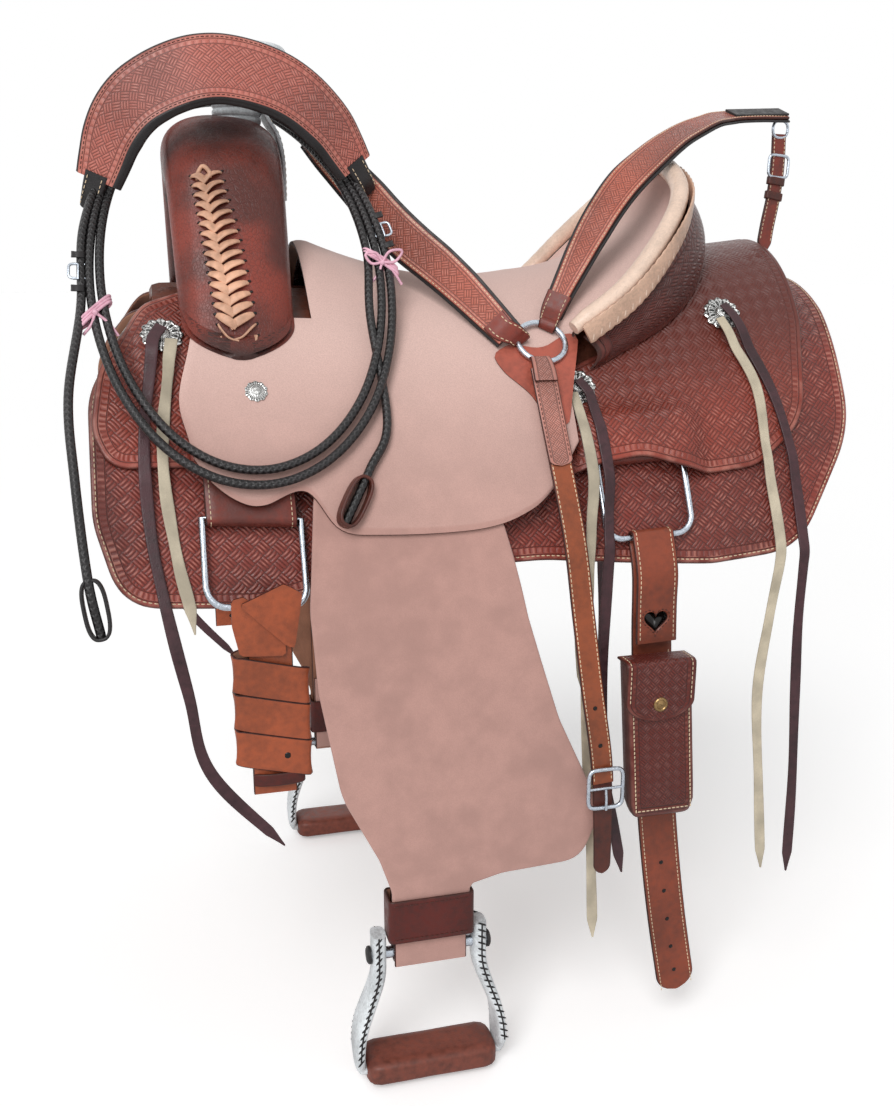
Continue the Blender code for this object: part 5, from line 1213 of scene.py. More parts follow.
def toward_seat(tau):
    a = abs(tau) ** 1.4
    return unit(vec(-0.30, 0.0, -0.95) * (1 - a) + vec(-0.05, -math.copysign(1.0, tau), 0.12) * a)


def rim_frame(tau):
    """At a place on the rim: the way to the seat, the way across it, and the latter turned rearward."""
    ahead = unit(rim_point(min(tau + 0.03, 1.0)) - rim_point(max(tau - 0.03, -1.0)))
    face = toward_seat(tau)
    face = unit(face - ahead * float(face @ ahead))
    across = np.cross(ahead, face)
    return face, across, across if across[0] > 0 else -across


FRONT_ROWS = list(np.linspace(JOCKEY_FRONT, SEAT_FRONT, 34))
SEAT_ROWS = FRONT_ROWS + list(np.linspace(SEAT_FRONT, JOCKEY_REAR, 50))[1:]
INNER_COLS = list(np.linspace(0.0, 1.0, 21))
JOCKEY_COLS = list(np.linspace(0.0, 1.0, 31))[1:-1] + [0.985, 1.0]
DISH_STEPS = 30


def seat_grid():
    grid = []
    for x in SEAT_ROWS:
        row = []
        ahead = max(0.0, (SEAT_FRONT - x) / (SEAT_FRONT - JOCKEY_FRONT))
        behind = float(smooth((x - SEAT_FRONT) / (JOCKEY_REAR - SEAT_FRONT)))
        notch = NOTCH_S + (REAR_NOTCH_S - NOTCH_S) * behind
        qs = [q * notch for q in INNER_COLS]
        qs += [notch + f * (jockey_depth(x) - notch) for f in JOCKEY_COLS]
        for side, line in ((-1.0, reversed(qs[1:])), (1.0, qs)):
            for q in line:
                bent = x + front_of_jockey(q) * ahead * ahead
                row.append(side_point(bent, q, seat_lift(bent, q), side))
        grid.append(row)
    last = grid[-1]
    middle = len(last) // 2
    reach = len(INNER_COLS) - 1
    for step in range(1, DISH_STEPS + 1):
        t = step / DISH_STEPS
        row = []
        for j, start in enumerate(last):
            across = max(-1.0, min(1.0, (j - middle) / reach))
            tau = across * 0.95
            end = rim_point(tau) + toward_seat(tau) * (RIM_RADIUS - 0.0014)
            bend = end + toward_seat(tau) * (0.104 - 0.086 * abs(tau))
            row.append((1 - t) ** 2 * start + 2 * t * (1 - t) * bend + t * t * end)
        grid.append(row)
    return np.array(grid)


def make_seat():
    grid = seat_grid()
    rows, cols = grid.shape[:2]
    middle = cols // 2
    reach = len(INNER_COLS) - 1
    first = len(FRONT_ROWS) - 1
    last = len(SEAT_ROWS) - 1

    def kept(i, j):
        inner = middle - reach <= j < middle + reach
        if i < first:
            return not inner
        if i >= last:
            return inner
        return True

    quads = grid_faces(rows, cols, kept)
    used = {k: new for new, k in enumerate(dict.fromkeys(k for quad in quads for k in quad))}
    top = grid.reshape(-1, 3)[list(used)]
    quads = [tuple(used[k] for k in quad) for quad in quads]
    normal = np.zeros_like(top)
    for a, b, c, d in quads:
        ways = np.cross(top[b] - top[a], top[d] - top[a]) + np.cross(top[d] - top[c], top[b] - top[c])
        for k in (a, b, c, d):
            normal[k] += ways
    normal = unit(normal)
    if normal[used[(first + 10) * cols + middle]][2] < 0:
        normal = -normal
    low = top - normal * SEAT_THICK
    faces, slots = sheet_faces(quads, len(top), 2)
    on_rim = [f[1] for f, slot in zip(faces, slots) if slot == 1]
    top[on_rim] -= normal[on_rim] * 0.0012
    both = np.concatenate([top, low])
    obj = make_object("seat_roughout", both, faces, ["seat", "edge", "flesh"], slots, None, 55)
    put(obj, "seat_leather", True)


def make_cantle():
    taus = np.linspace(-1.0, 1.0, 161)
    sides = 16
    rings, flats = [], []
    run = 0.0
    for i, tau in enumerate(taus):
        here = rim_point(tau)
        face, across, back = rim_frame(tau)
        radius = ROLL_RADIUS * (1.0 - 0.25 * float(smooth((abs(tau) - 0.94) / 0.06)))
        crest = here - (back * 0.90 - face * 0.4) * (RIM_RADIUS - ROLL_RADIUS)
        radius *= 1.0 + 0.012 * math.sin(i * 1.9)
        if i:
            run += np.linalg.norm(here - rim_point(taus[i - 1]))
        for k in range(sides):
            a = 2 * math.pi * k / sides
            rings.append(crest + radius * (face * math.cos(a) + across * 0.9 * math.sin(a)))
            flats.append((run, a * radius, 0.0))
    obj = make_object(
        "cantle_roll", rings, loft_faces(len(taus), sides), ["rawhide"], None, {"flat": np.array(flats)}, 70
    )
    put(obj, "cantle_binding", True)
    make_cantle_flaps(taus[1:-1])

    foot = [(0.310, 0.0), (0.303, 0.052), (0.276, 0.100), (0.232, 0.137), (0.184, 0.160), (0.136, 0.180)]
    line = along([(foot[1][0], -foot[1][1])] + foot, 401)
    start = int(np.argmin(np.abs(line[:, 1])))
    outer, inner, flats = [], [], []
    shares = np.linspace(-1.0, 1.0, 81)
    downs = np.linspace(0.0, 1.0, 19)
    for down in downs:
        for share in shares:
            tau = share * 0.97
            side = -1.0 if tau < 0 else 1.0
            face, _, back = rim_frame(tau)
            top = rim_point(tau) + (face * 0.50 + back * 0.87) * (RIM_RADIUS + 0.0025)
            x, s = line[int(round(start + abs(share) * (len(line) - 1 - start)))]
            low = side_point(x, abs(s), rear_jockey_lift(x, abs(s)) + JOCKEY_THICK + 0.0031, side)
            bulge = vec(0.010, side * 0.006 * abs(share), 0.0) * math.sin(math.pi * down)
            place = top * (1 - down) + low * down + bulge
            outer.append(place)
            inner.append(place - unit(vec(0.85, side * 0.5 * abs(share), 0.15)) * 0.0035)
            flats.append((share * 0.26, down * 0.10, 0.0))
    faces, slots = sheet_faces(grid_faces(len(downs), len(shares)), len(outer), 0)
    flat = np.array(flats + flats)
    depth = np.minimum(np.minimum(flat[:, 1], 0.10 - flat[:, 1]), 0.26 - np.abs(flat[:, 0]))
    border = np.stack([flat[:, 0], depth, 0 * depth], axis=1)
    attributes = {"flat": flat, "border": border}
    looks = ["cantle", "edge"]
    obj = make_object("cantle_back_leather", outer + inner, faces, looks, slots, attributes, 60)
    put(obj, "cantle_back", True)


def make_cantle_flaps(taus):
    """The rawhide binding's flap on the outer side, scalloped, with its lacing."""
    path, across, outs = [], [], []
    for tau in taus:
        face, _, back = rim_frame(tau)
        low = abs(tau) ** 1.4
        out = unit(back * (1 - low) - face * low)
        down = unit(back * low + face * (1 - low))
        path.append(rim_point(tau) + out * 0.0104 + down * 0.0062)
        across.append(down)
        outs.append(out)
    strip = Strip(path, across, 240, outs[0])
    steps = np.linspace(0, 1, 240)
    shares = np.linspace(0, 1, len(outs))
    strip.out = unit(np.stack([np.interp(steps, shares, np.array(outs)[:, k]) for k in range(3)], axis=1))
    obj = strip.mesh("cantle_flap", 0.0195, 0.0022, "flap", "flap", scallop=(0.0026, 0.0105), crown=0.0012)
    put(obj, "cantle_binding")
    place, way, out = walk(strip.row(0.0045, 0.0014), strip.out, 0.0105)
    slant = unit(way) * 0.55 + unit(np.cross(out, way)) * 0.85
    put(studs("cantle_lacing", place, slant, out, 0.0088, 0.0011, "rawhide", 0.8), "cantle_binding")


def plate(name, outline, place, thickness, look, on, cell=0.008):
    """A flat leather piece cut to an outline, bent by place(u, v, height)."""
    flat, triangles, line = flat_pattern(outline, cell)
    low = [place(u, v, 0.0) for u, v in flat]
    top = [place(u, v, thickness) for u, v in flat]
    count, rim = len(flat), len(line)
    faces = list(triangles) + [tuple(count + k for k in f[::-1]) for f in triangles]
    faces += [(k, count + k, count + (k + 1) % rim, (k + 1) % rim) for k in range(rim)]
    slots = [1] * len(triangles) + [0] * len(triangles) + [1] * rim
    both = np.concatenate([flat, flat])
    flats = np.stack([both[:, 0], both[:, 1], 0 * both[:, 0]], axis=1)
    return put(make_object(name, low + top, faces, [look, "edge"], slots, {"flat": flats}, 50), on)


# Rigging, dees, latigo and billets


def fold_strip(x, s, run, side):
    """A strap folded round a dee's top bar: run is how far its outer ply goes up from the bar."""
    reach = (DEE_BAR + GAP + STRAP_THICK / 2) * FOLD_ROOM
    path = [side_point(x, s - run * k / 3, DEE_LIFT + reach, side) for k in (3, 2, 1, 0)]
    centre = side_point(x, s, DEE_LIFT, side)
    out = side_normal(s, side)
    down = unit(side_point(x, s + 0.01, DEE_LIFT, side) - side_point(x, s - 0.01, DEE_LIFT, side))
    for k in range(1, 8):
        angle = math.pi * k / 8
        path.append(centre + out * reach * math.cos(angle) + down * reach * math.sin(angle))
    path += [side_point(x, s - k, DEE_LIFT - reach, side) for k in (0.0, 0.026)]
    return Strip(path, [across_side(p) for p in path], 60, out)


def make_rigging():
    for name, side in SIDES.items():
        for end, (x, s), run in (("front", FRONT_DEE, 0.075), ("rear", REAR_DEE, 0.026)):
            width = DEE_WIDTH - 2 * (DEE_BAR + GAP) - 0.0062
            strip = fold_strip(x, s, run, side)
            node_name = end + "_rigging_" + name
            put(strip.mesh(end + "_rig_fold_" + name, width, STRAP_THICK, "brown"), node_name, True)
            rows = (-width / 2 + 0.005, width / 2 - 0.005)
            put(
                strip.stitches(end + "_rig_stitching_" + name, rows, STRAP_THICK / 2, stop=0.034), node_name
            )
            half = DEE_WIDTH / 2 - DEE_BAR
            path = [(x - half + (2 * half) * k / 10, s) for k in range(11)]
            for way, degrees in ((1, range(0, 91, 10)), (-1, range(90, -1, -10))):
                for angle in np.radians(list(degrees)):
                    across = half - DEE_CORNER * (1 - math.cos(angle))
                    path.append((x + way * across, s + DEE_DROP - DEE_CORNER * (1 - math.sin(angle))))
            top = side_point(x, s, DEE_LIFT, side)
            low = side_point(x, s + DEE_DROP, DEE_LIFT, side)
            down = (low - top) / DEE_DROP
            ring = [top + across_side(top) * (px - x) + down * (ps - s) for px, ps in path]
            ring_name = end + "_dee_" + name
            obj = tube(
                end + "_dee_bar_" + name, ring, DEE_BAR, "steel", 14, True, tuple(side_normal(s, side))
            )
            put(obj, ring_name, True)


SKIRT_EDGE = 0.394
FLANK_DROP = 0.520
FLANK_SWEEP = 0.052
HEART_Z = -0.235


def hanging_strip(x, s, side, outer_drop, inner_drop, sweep, count):
    """A strap folded over a dee's bottom bar: returns the bar's centre, the outer ply's y and the strip."""
    reach = (DEE_BAR + GAP + STRAP_THICK / 2) * FOLD_ROOM
    centre = side_point(x, s, DEE_LIFT, side)
    out = side_normal(s, side)
    up = unit(side_point(x, s - 0.01, DEE_LIFT, side) - side_point(x, s + 0.01, DEE_LIFT, side))
    plies = []
    for way, drop, lift in ((1, outer_drop, DEE_LIFT + reach), (-1, inner_drop, DEE_LIFT - reach)):
        ply = [side_point(x, SKIRT_EDGE, lift, side)] if s + 0.012 < SKIRT_EDGE else []
        start = ply[-1] if ply else centre + out * reach * way
        close = 0.0 if ply else reach - STRAP_THICK / 2 - 0.0006
        for k in range(1, 6):
            share = k / 5
            down = centre[2] - drop * share
            if down < start[2] - 0.012:
                ply.append(
                    vec(x + sweep * (drop * share / FLANK_DROP) ** 2, start[1] - side * way * close, down)
                )
        plies.append(ply)
    arc = [centre + reach * (out * math.cos(a) + up * math.sin(a)) for a in np.linspace(0, math.pi, 9)]
    path = plies[0][::-1] + arc + plies[1]
    across = [across_side(p) if abs(p[2] - centre[2]) < 0.04 else X for p in path]
    return centre, plies[0][-1][1], Strip(path, across, count, (0, side, 0))


def hole_row(name, places, out, radius=0.0022):
    # Near-black studs stand for punched holes: painted shade.
    return studs(name, places, Z, out, 2 * radius, radius, "hole", 0.25, 10)


def make_latigos():
    x = FRONT_DEE[0] + 0.009
    low_s = FRONT_DEE[1] + DEE_DROP
    for name, side in SIDES.items():
        drops = (0.185, 0.185) if name == "left" else (0.120, 0.190)
        centre, outer_y, strip = hanging_strip(x, low_s, side, *drops, 0.0, 160)
        width = 0.042
        node_name = "latigo_left" if name == "left" else "off_billet_right"
        widths = np.where(np.abs(strip.place[:, 2] - centre[2]) < 0.012, 0.034, width)
        piece = strip.mesh(node_name + "_strap", widths, STRAP_THICK, "tan", back="tan")
        put(piece, node_name, True)
        if name == "right":
            rows = (-width / 2 + 0.004, width / 2 - 0.004)
            put(strip.stitches("off_billet_stitching", rows, STRAP_THICK / 2, stop=0.30), node_name)
            places = [vec(x, outer_y - side * 0.0088, centre[2] - d) for d in (0.10, 0.125, 0.15, 0.175)]
            put(hole_row("off_billet_holes", places, side * Y), node_name)
        else:
            make_wraps(centre)


WRAP_PITCH = 0.0365
WRAPS = 3


def make_wraps(centre):
    """The latigo's tail: a slanting first turn, three wraps, and the keeper loop at its end."""
    middle = centre[1]
    deep = 1.5 * STRAP_THICK + 0.0013
    top = centre[2] - 0.052
    turn = oval(vec(centre[0], middle, 0.0), X, Y, 0.0335, deep + 0.0002, 160, 0.5)
    turn = turn[40:] + turn[:41]
    steps = np.linalg.norm(np.diff(np.array(turn), axis=0), axis=1)
    share = np.concatenate([[0.0], np.cumsum(steps)]) / np.sum(steps)
    path = []
    for lap in range(WRAPS):
        for place, part in zip(turn[:-1:2], share[:-1:2]):
            path.append(place + vec(0.0, 0.0, top - WRAP_PITCH * (lap + part)))
    path.append(turn[-1] + vec(0.0, 0.0, top - WRAP_PITCH * WRAPS))
    strip = Strip(path, Z, 360, (0, 1, 0))
    put(strip.mesh("latigo_wraps", WRAP_PITCH - 0.0004, 0.0028, "tan"), "latigo_wraps_left", True)
    turns = (
        (
            "under", 0.0046,
            [
                (-0.034, 0.010, 0.004), (-0.022, 0.013, 0.003), (0.014, -0.024, 0.004),
                (0.014, -0.046, 0.002), (-0.028, -0.044, 0.002), (-0.034, -0.016, 0.012)
            ]
        ),
        (
            "over", 0.0078,
            [
                (-0.027, 0.006, 0.002), (0.014, 0.024, 0.003), (0.031, 0.013, 0.004),
                (0.022, -0.040, 0.003), (0.013, -0.034, 0.002)
            ]
        )
    )
    for name, lift, outline in turns:

        def place(u, v, h):
            bend = 0.0022 * float(smooth(abs(u) / 0.034)) ** 2
            return vec(centre[0] + u, middle - lift - h + bend, centre[2] + v)

        plate("latigo_turn_" + name, rounded(outline), place, 0.0026, "tan", "latigo_left", 0.006)
    hole = [vec(centre[0] + 0.012, middle - deep - 0.0014, top - 0.094)]
    put(hole_row("latigo_hole", hole, -Y, 0.0030), "latigo_wraps_left")
    z = top - 0.118
    ring = oval(vec(centre[0] + 0.004, middle - 0.0015, z), X, Y, 0.0235, 0.0058, 24)
    strip = Strip(ring, Z, 64, (1, 0, 0), True)
    put(strip.mesh("latigo_end_keeper", 0.013, 0.0026, "hobble"), "latigo_left")


HEART_POINTS = 48


def heart(size):
    t = 2 * math.pi * np.arange(HEART_POINTS) / HEART_POINTS
    across = 16 * np.sin(t) ** 3
    up = 13 * np.cos(t) - 5 * np.cos(2 * t) - 2 * np.cos(3 * t) - np.cos(4 * t)
    return np.stack([across, up], axis=1) * size / 32


def cut_hole(obj, cutter):
    """Cuts the cutter out of the object and bakes the result into its mesh."""
    modifier = obj.modifiers.new("cut", "BOOLEAN")
    modifier.operation = "DIFFERENCE"
    modifier.solver = "EXACT"
    modifier.object = cutter
    bpy.context.view_layer.update()
    made = bpy.data.meshes.new_from_object(obj.evaluated_get(bpy.context.evaluated_depsgraph_get()))
    obj.modifiers.clear()
    obj.data = made
    bpy.data.objects.remove(cutter)
    return obj


def make_flank_billets():
    low_s = REAR_DEE[1] + DEE_DROP
    for name, side in SIDES.items():
        centre, outer_y, strip = hanging_strip(
            REAR_DEE[0], low_s, side, 0.105, FLANK_DROP, FLANK_SWEEP, 220
        )
        width = 0.044
        node_name = "flank_billet_" + name
        obj = strip.mesh(
            "flank_billet_strap_" + name, width, STRAP_THICK, "flank", back="flank", tip=("round", 0.020)
        )
        if name == "left":

            def heart_ring(size, depth):
                return [vec(centre[0] + a, outer_y + depth, HEART_Z + b) for a, b in heart(size)]

            turn_outward(obj)
            walls = loft_faces(2, HEART_POINTS)
            cutter = make_object(
                "heart_cutter", heart_ring(0.025, -0.006) + heart_ring(0.025, 0.0028), walls, ["edge"]
            )
            turn_outward(cutter)
            obj = cut_hole(obj, cutter)
            # A near-black heart between the plies: painted shadow seen through the cut heart.
            dark = heart_ring(0.0265, 0.0017) + heart_ring(0.0265, 0.0021)
            put(make_object("heart_painted_shadow", dark, walls, ["hole"]), node_name)
            ring = heart_ring(0.030, -0.0017)
            place, way, out = walk(ring, -Y, 0.0040, looped=True)
            put(studs("heart_stitching", place, way, out, 0.0026, 0.00045, "dark_thread"), node_name)
        put(obj, node_name, True)
        rows = (-width / 2 + 0.0042, width / 2 - 0.0042)
        put(strip.stitches("flank_stitching_" + name, rows, STRAP_THICK / 2, stop=0.53), node_name)
        shown = Strip(list(strip.place[::-2]), list(strip.wide[::-2]), 200, (0, side, 0))
        put(shown.stitches("flank_tail_stitching_" + name, rows, STRAP_THICK / 2, stop=0.24), node_name)
        inner_y = strip.place[-1][1]
        places = []
        for drop in (0.36, 0.395, 0.43, 0.465, 0.495):
            x = centre[0] + FLANK_SWEEP * (drop / FLANK_DROP) ** 2
            places.append(vec(x, inner_y + side * (STRAP_THICK / 2 + 0.0001), centre[2] - drop))
        put(hole_row("flank_holes_" + name, places, side * Y), node_name)
        if name == "left":
            make_pouch(centre, outer_y)


def rounded_ring(half_x, half_y, steps=6, corner=0.35):
    points = []
    for cx, cy, start in ((1, 1, 0), (-1, 1, 90), (-1, -1, 180), (1, -1, 270)):
        for k in range(steps):
            a = math.radians(start + 90 * k / (steps - 1))
            points.append((
                half_x * (cx * (1 - corner) + corner * math.cos(a)),
                half_y * (cy * (1 - corner) + corner * math.sin(a))
            ))
    return points


def make_pouch(centre, outer_y):
    back = outer_y - (STRAP_THICK / 2 + 0.0008)
    depth, height, top_z, half = 0.024, 0.168, -0.272, 0.035
    x = centre[0] - 0.004
    middle = back - depth / 2
    low = top_z - height
    wall = 0.0025
    sections = []
    for share in (0.0, 0.015, 0.05, 0.1, 0.2, 0.35, 0.5, 0.65, 0.8, 0.92, 1.0):
        z = low + height * share
        wide = 0.80 + 0.20 * (share / 0.10) ** 0.5 if share < 0.1 else 1.0
        flat = 0.45 + 0.55 * min(1.0, share / 0.14) ** 0.5
        sections.append((z, half * wide, depth / 2 * flat * (1.0 - 0.10 * share)))
    for z, share in ((top_z, 0.9), (low + 0.014, 0.75)):
        sections.append((z, half - wall, depth / 2 * share - wall))
    points, flats, borders = [], [], []
    for z, wide, flat in sections:
        shift = 0.012 * (top_z - z) / height
        for u, v in rounded_ring(wide, flat):
            points.append(vec(x + shift + u, middle + v, z))
            flats.append((u, z, 0.0))
            borders.append((z, min(wide - abs(u), z - low, top_z - z + 0.004), 0.0))
    faces = loft_faces(len(sections), 24)
    attributes = {"flat": np.array(flats), "border": np.array(borders)}
    obj = make_object("pouch_body", points, faces, ["pouch"], None, attributes, 50)
    put(obj, "billet_pouch", True)
    rows = []
    for u in (-1, 1):
        for share in np.linspace(0.06, 0.97, 34):
            z = low + height * share
            rows.append(vec(x + 0.012 * (top_z - z) / height + u * 0.0300, middle - depth / 2 * 0.93, z))
    for u in np.linspace(-0.026, 0.026, 12):
        rows.append(vec(x + 0.0115 + u, middle - depth / 2 * 0.80, low + 0.0085))
    ways = [Z] * 68 + [X] * 12
    put(studs("pouch_stitching", rows, ways, -Y, 0.0034, 0.0006, "thread"), "billet_pouch")

    front = back - depth
    hinge = top_z + 0.0022
    path = [
        vec(x, back - 0.0013, hinge), vec(x, front + 0.004, hinge + 0.0008),
        vec(x, front - 0.0012, hinge - 0.0002), vec(x, front - 0.0034, hinge - 0.0048),
        vec(x, front - 0.0030, top_z - 0.035), vec(x, front - 0.0026, top_z - 0.058)
    ]
    strip = Strip(path, X, 60, (0, 0, 1))
    put(strip.mesh("pouch_flap_leather", 0.074, 0.0026, "pouch", tip=("round", 0.020)), "pouch_flap", True)
    rows = strip.stitches("pouch_flap_stitching", (-0.0325, 0.0325), 0.0014, stop=0.020)
    put(rows, "pouch_flap")
    snap = [
        (0.0078, 0.0), (0.0076, 0.0010), (0.0064, 0.0022), (0.0050, 0.0024), (0.0044, 0.0018),
        (0.0030, 0.0026), (0.0004, 0.0030), (0.0004, 0.0)
    ]
    obj = lathe("pouch_snap", snap, vec(x, front - 0.0038, top_z - 0.041), (0, -1, 0), "brass", 32)
    put(obj, "pouch_flap")


# Fenders and stirrups


FENDER = rounded([
    (-0.142, 0.205, 0.03), (-0.166, 0.310, 0.06), (-0.177, 0.405, 0.10), (-0.172, 0.480, 0.10),
    (-0.152, 0.590, 0.10), (LEATHER_X - 0.0525, 0.660, 0.03), (LEATHER_X - 0.0405, 0.696, 0.01),
    (LEATHER_X - 0.0405, 0.752, 0.003), (LEATHER_X + 0.0405, 0.752, 0.003),
    (LEATHER_X + 0.0405, 0.697, 0.006), (0.010, 0.689, 0.06), (0.095, 0.686, 0.03), (0.114, 0.640, 0.03),
    (0.102, 0.602, 0.05), (0.068, 0.527, 0.10), (0.034, 0.420, 0.10), (0.014, 0.330, 0.10),
    (-0.012, 0.205, 0.03)
])


def make_fenders():
    neck = 0.0405
    for name, side in SIDES.items():
        panel(
            "fender_leather_" + name, FENDER, FENDER_LIFT, FENDER_THICK, side, "roughout", "fender_" + name,
            True
        )
        outer = FENDER_LIFT - GAP - STRAP_THICK / 2
        upper = BAR_TOP + STRAP_THICK / 2 + 0.0012
        path = [side_point(LEATHER_X, s, upper, side) for s in (0.118, 0.13, 0.145, 0.16, 0.177)]
        path += [
            side_point(LEATHER_X, s, outer, side, True) for s in (0.20, 0.25, 0.31, 0.37, 0.43, 0.52, 0.60)
        ]
        reach = (0.006 + GAP + STRAP_THICK / 2) * FOLD_ROOM
        bolt_y = float(side_point(LEATHER_X, 0.60, outer, side, True)[1]) - side * reach
        bolt = vec(LEATHER_X, bolt_y, BOLT_Z)
        for angle in np.linspace(0, math.pi, 9):
            path.append(bolt + vec(0.0, side * reach * math.cos(angle), -reach * math.sin(angle)))
        path.append(vec(LEATHER_X, bolt_y - side * reach, BOLT_Z + 0.10))
        across = [across_side(p) for p in path[:7]] + [X] * (len(path) - 7)
        strip = Strip(path, across, 200, (0, side, 0))
        node_name = "stirrup_leather_" + name
        put(strip.mesh("stirrup_strap_" + name, 0.076, STRAP_THICK, "roughout"), node_name, True)

        middle_y = bolt_y + side * (FENDER_THICK + GAP) / 2
        thick = STRAP_THICK - 0.0004
        depth = reach + STRAP_THICK / 2 + (FENDER_THICK + GAP) / 2 + 0.0007 + thick / 2
        wide = neck + 0.0012 + thick / 2
        loop = []
        turn = 0.004
        z = BOLT_Z + 0.0185 + 0.024
        for cx, cy, start in ((1, 1, 0), (-1, 1, 90), (-1, -1, 180), (1, -1, 270)):
            for k in range(5):
                angle = math.radians(start + 22.5 * k)
                loop.append(
                    vec(
                        LEATHER_X + cx * (wide - turn) + turn * math.cos(angle),
                        middle_y + cy * (depth - turn) + turn * math.sin(angle), z
                    )
                )
        strip = Strip(loop, Z, 140, (1, 0, 0), True)
        node_name = "hobble_strap_" + name
        put(strip.mesh("hobble_leather_" + name, 0.048, thick, "hobble"), node_name, True)
        rows = []
        for dz in (-0.019, 0.019):
            rows += [
                vec(LEATHER_X + u, middle_y + side * (depth + thick / 2 + 0.0002), z + dz)
                for u in np.arange(-wide + 0.006, wide - 0.005, 0.0052)
            ]
        put(studs("hobble_stitching_" + name, rows, X, side * Y, 0.0036, 0.0005, "dark_thread"), node_name)
        make_stirrup(name, side, bolt)


STIRRUP_HEIGHT = 0.142
BOW_HALF_THICK = 0.0075
TREAD_HALF_HIGH = 0.0135
TREAD_HALF_LONG = 0.069


def make_stirrup(name, side, bolt):
    top = 0.038 + 2 * BOW_HALF_THICK
    low = 0.083 - BOW_HALF_THICK
    height = STIRRUP_HEIGHT - TREAD_HALF_HIGH
    half = [
        (top, 0.024), (top, 0.0), (top + 0.002, -0.028), (low - 0.004, -height * 0.60),
        (low, -height * 0.80), (low, -height + 0.011)
    ]
    right = np.concatenate([
        along(half, 40),
        along(
            [
                (low, -height + 0.011), (low - 0.0015, -height + 0.0015), (low - 0.011, -height),
                (0.0, -height)
            ],
            24
        )[1:]
    ])
    line = np.concatenate([right, np.stack([-right[-2::-1, 0], right[-2::-1, 1]], axis=1)])

    def place(across, up, depth):
        return bolt + vec(across, side * depth, up)

    way = tangents(np.stack([line[:, 0], line[:, 1], 0 * line[:, 0]], axis=1))
    points, flats = [], []
    run = 0.0
    laces = {-1: [], 1: []}
    for i, (across, up) in enumerate(line):
        inward = np.array((way[i][1], -way[i][0]))
        if i:
            run += float(np.linalg.norm(line[i] - line[i - 1]))
        share = float(smooth(-up / (STIRRUP_HEIGHT * 0.8)))
        deep = 0.023 * (0.52 + 0.48 * share)
        if up < -height + 0.002:
            deep *= 0.62
        elif up < -height + 0.016:
            deep *= 0.62 + 0.38 * (up + height - 0.002) / 0.014
        thick = BOW_HALF_THICK - 0.0022 * share
        for k in range(20):
            a = 2 * math.pi * k / 20
            u = math.copysign(abs(math.cos(a)) ** 0.65, math.cos(a))
            v = math.copysign(abs(math.sin(a)) ** 0.65, math.sin(a))
            wide = inward * thick * u
            points.append(place(across + wide[0], up + wide[1], deep * v))
            flats.append((run, a * 0.012, 0.0))
        if up > -height + 0.016:
            for face in (-1, 1):
                laces[face].append((
                    place(
                        across - inward[0] * thick * 0.15, up - inward[1] * thick * 0.15,
                        deep * face * 0.985
                    ),
                    vec(way[i][0], 0, way[i][1]), vec(0, side * face, 0)
                ))
    node_name = "stirrup_" + name
    obj = make_object(
        "stirrup_bow_" + name, points, loft_faces(len(line), 20), ["hide"], None, {"flat": np.array(flats)},
        60
    )
    put(obj, node_name, True)
    reach = top + 0.004 + BOW_HALF_THICK
    put(
        tube(
            "stirrup_bolt_" + name, [place(-reach, 0, 0), place(0, 0, 0), place(reach, 0, 0)], 0.006,
            "steel", 20, up=Z
        ),
        node_name
    )
    for end, x in (("front", -reach), ("rear", reach)):
        way_x = math.copysign(1.0, x)
        cap = [(0.0092, 0.0), (0.0092, 0.0026), (0.0070, 0.0042), (0.0004, 0.0050), (0.0004, 0.0)]
        put(
            lathe(
                "stirrup_nut_%s_%s" % (end, name), cap, place(x - way_x * 0.0035, 0, 0),
                (way_x, 0.001, 0.001), "black", 24
            ),
            node_name
        )
    for face, rows in laces.items():
        way_name = "out" if face > 0 else "in"
        held = rows[::2]
        ways = [r[1] * 0.5 + vec(0.6, 0, 0.2) for r in held]
        put(
            studs(
                "stirrup_lacing_%s_%s" % (way_name, name), [r[0] for r in held], ways, [r[2] for r in held],
                0.0096, 0.0011, "black", 0.7
            ),
            node_name
        )
        rail = [r[0] + r[2] * 0.0002 for r in rows]
        for part, chosen in (
            ("front", [p for p in rail if p[0] < bolt[0]]), ("rear", [p for p in rail if p[0] > bolt[0]])
        ):
            put(
                tube(
                    "stirrup_lace_rail_%s_%s_%s" % (way_name, part, name), chosen, 0.0009, "black", 6, up=Y
                ),
                node_name
            )

    ends = ((0.0, 0.62), (0.002, 0.80), (0.006, 0.93), (0.013, 1.0), (TREAD_HALF_LONG - 0.03, 1.0))
    shape = [(inset - TREAD_HALF_LONG, size) for inset, size in ends]
    shape += [(0.0, 0.985)] + [(-across, size) for across, size in shape[::-1]]
    points, flats = [], []
    for across, size in shape:
        for u, v in rounded_ring(0.026 * size, TREAD_HALF_HIGH * size, 8, 0.5):
            points.append(place(across, v - height, u))
            flats.append((across, u, v))
    node_name = "stirrup_tread_" + name
    obj = make_object(
        "tread_leather_" + name, points, loft_faces(len(shape), 32), ["tread"], None,
        {"flat": np.array(flats)}, 50
    )
    put(obj, node_name, True)
    rows = [place(u, -height - 0.0137, 0.0) for u in np.arange(-0.055, 0.056, 0.0055)]
    put(studs("tread_seam_" + name, rows, X, vec(0, 0, -1), 0.0040, 0.0007, "dark_thread"), node_name)


# Conchos and saddle strings


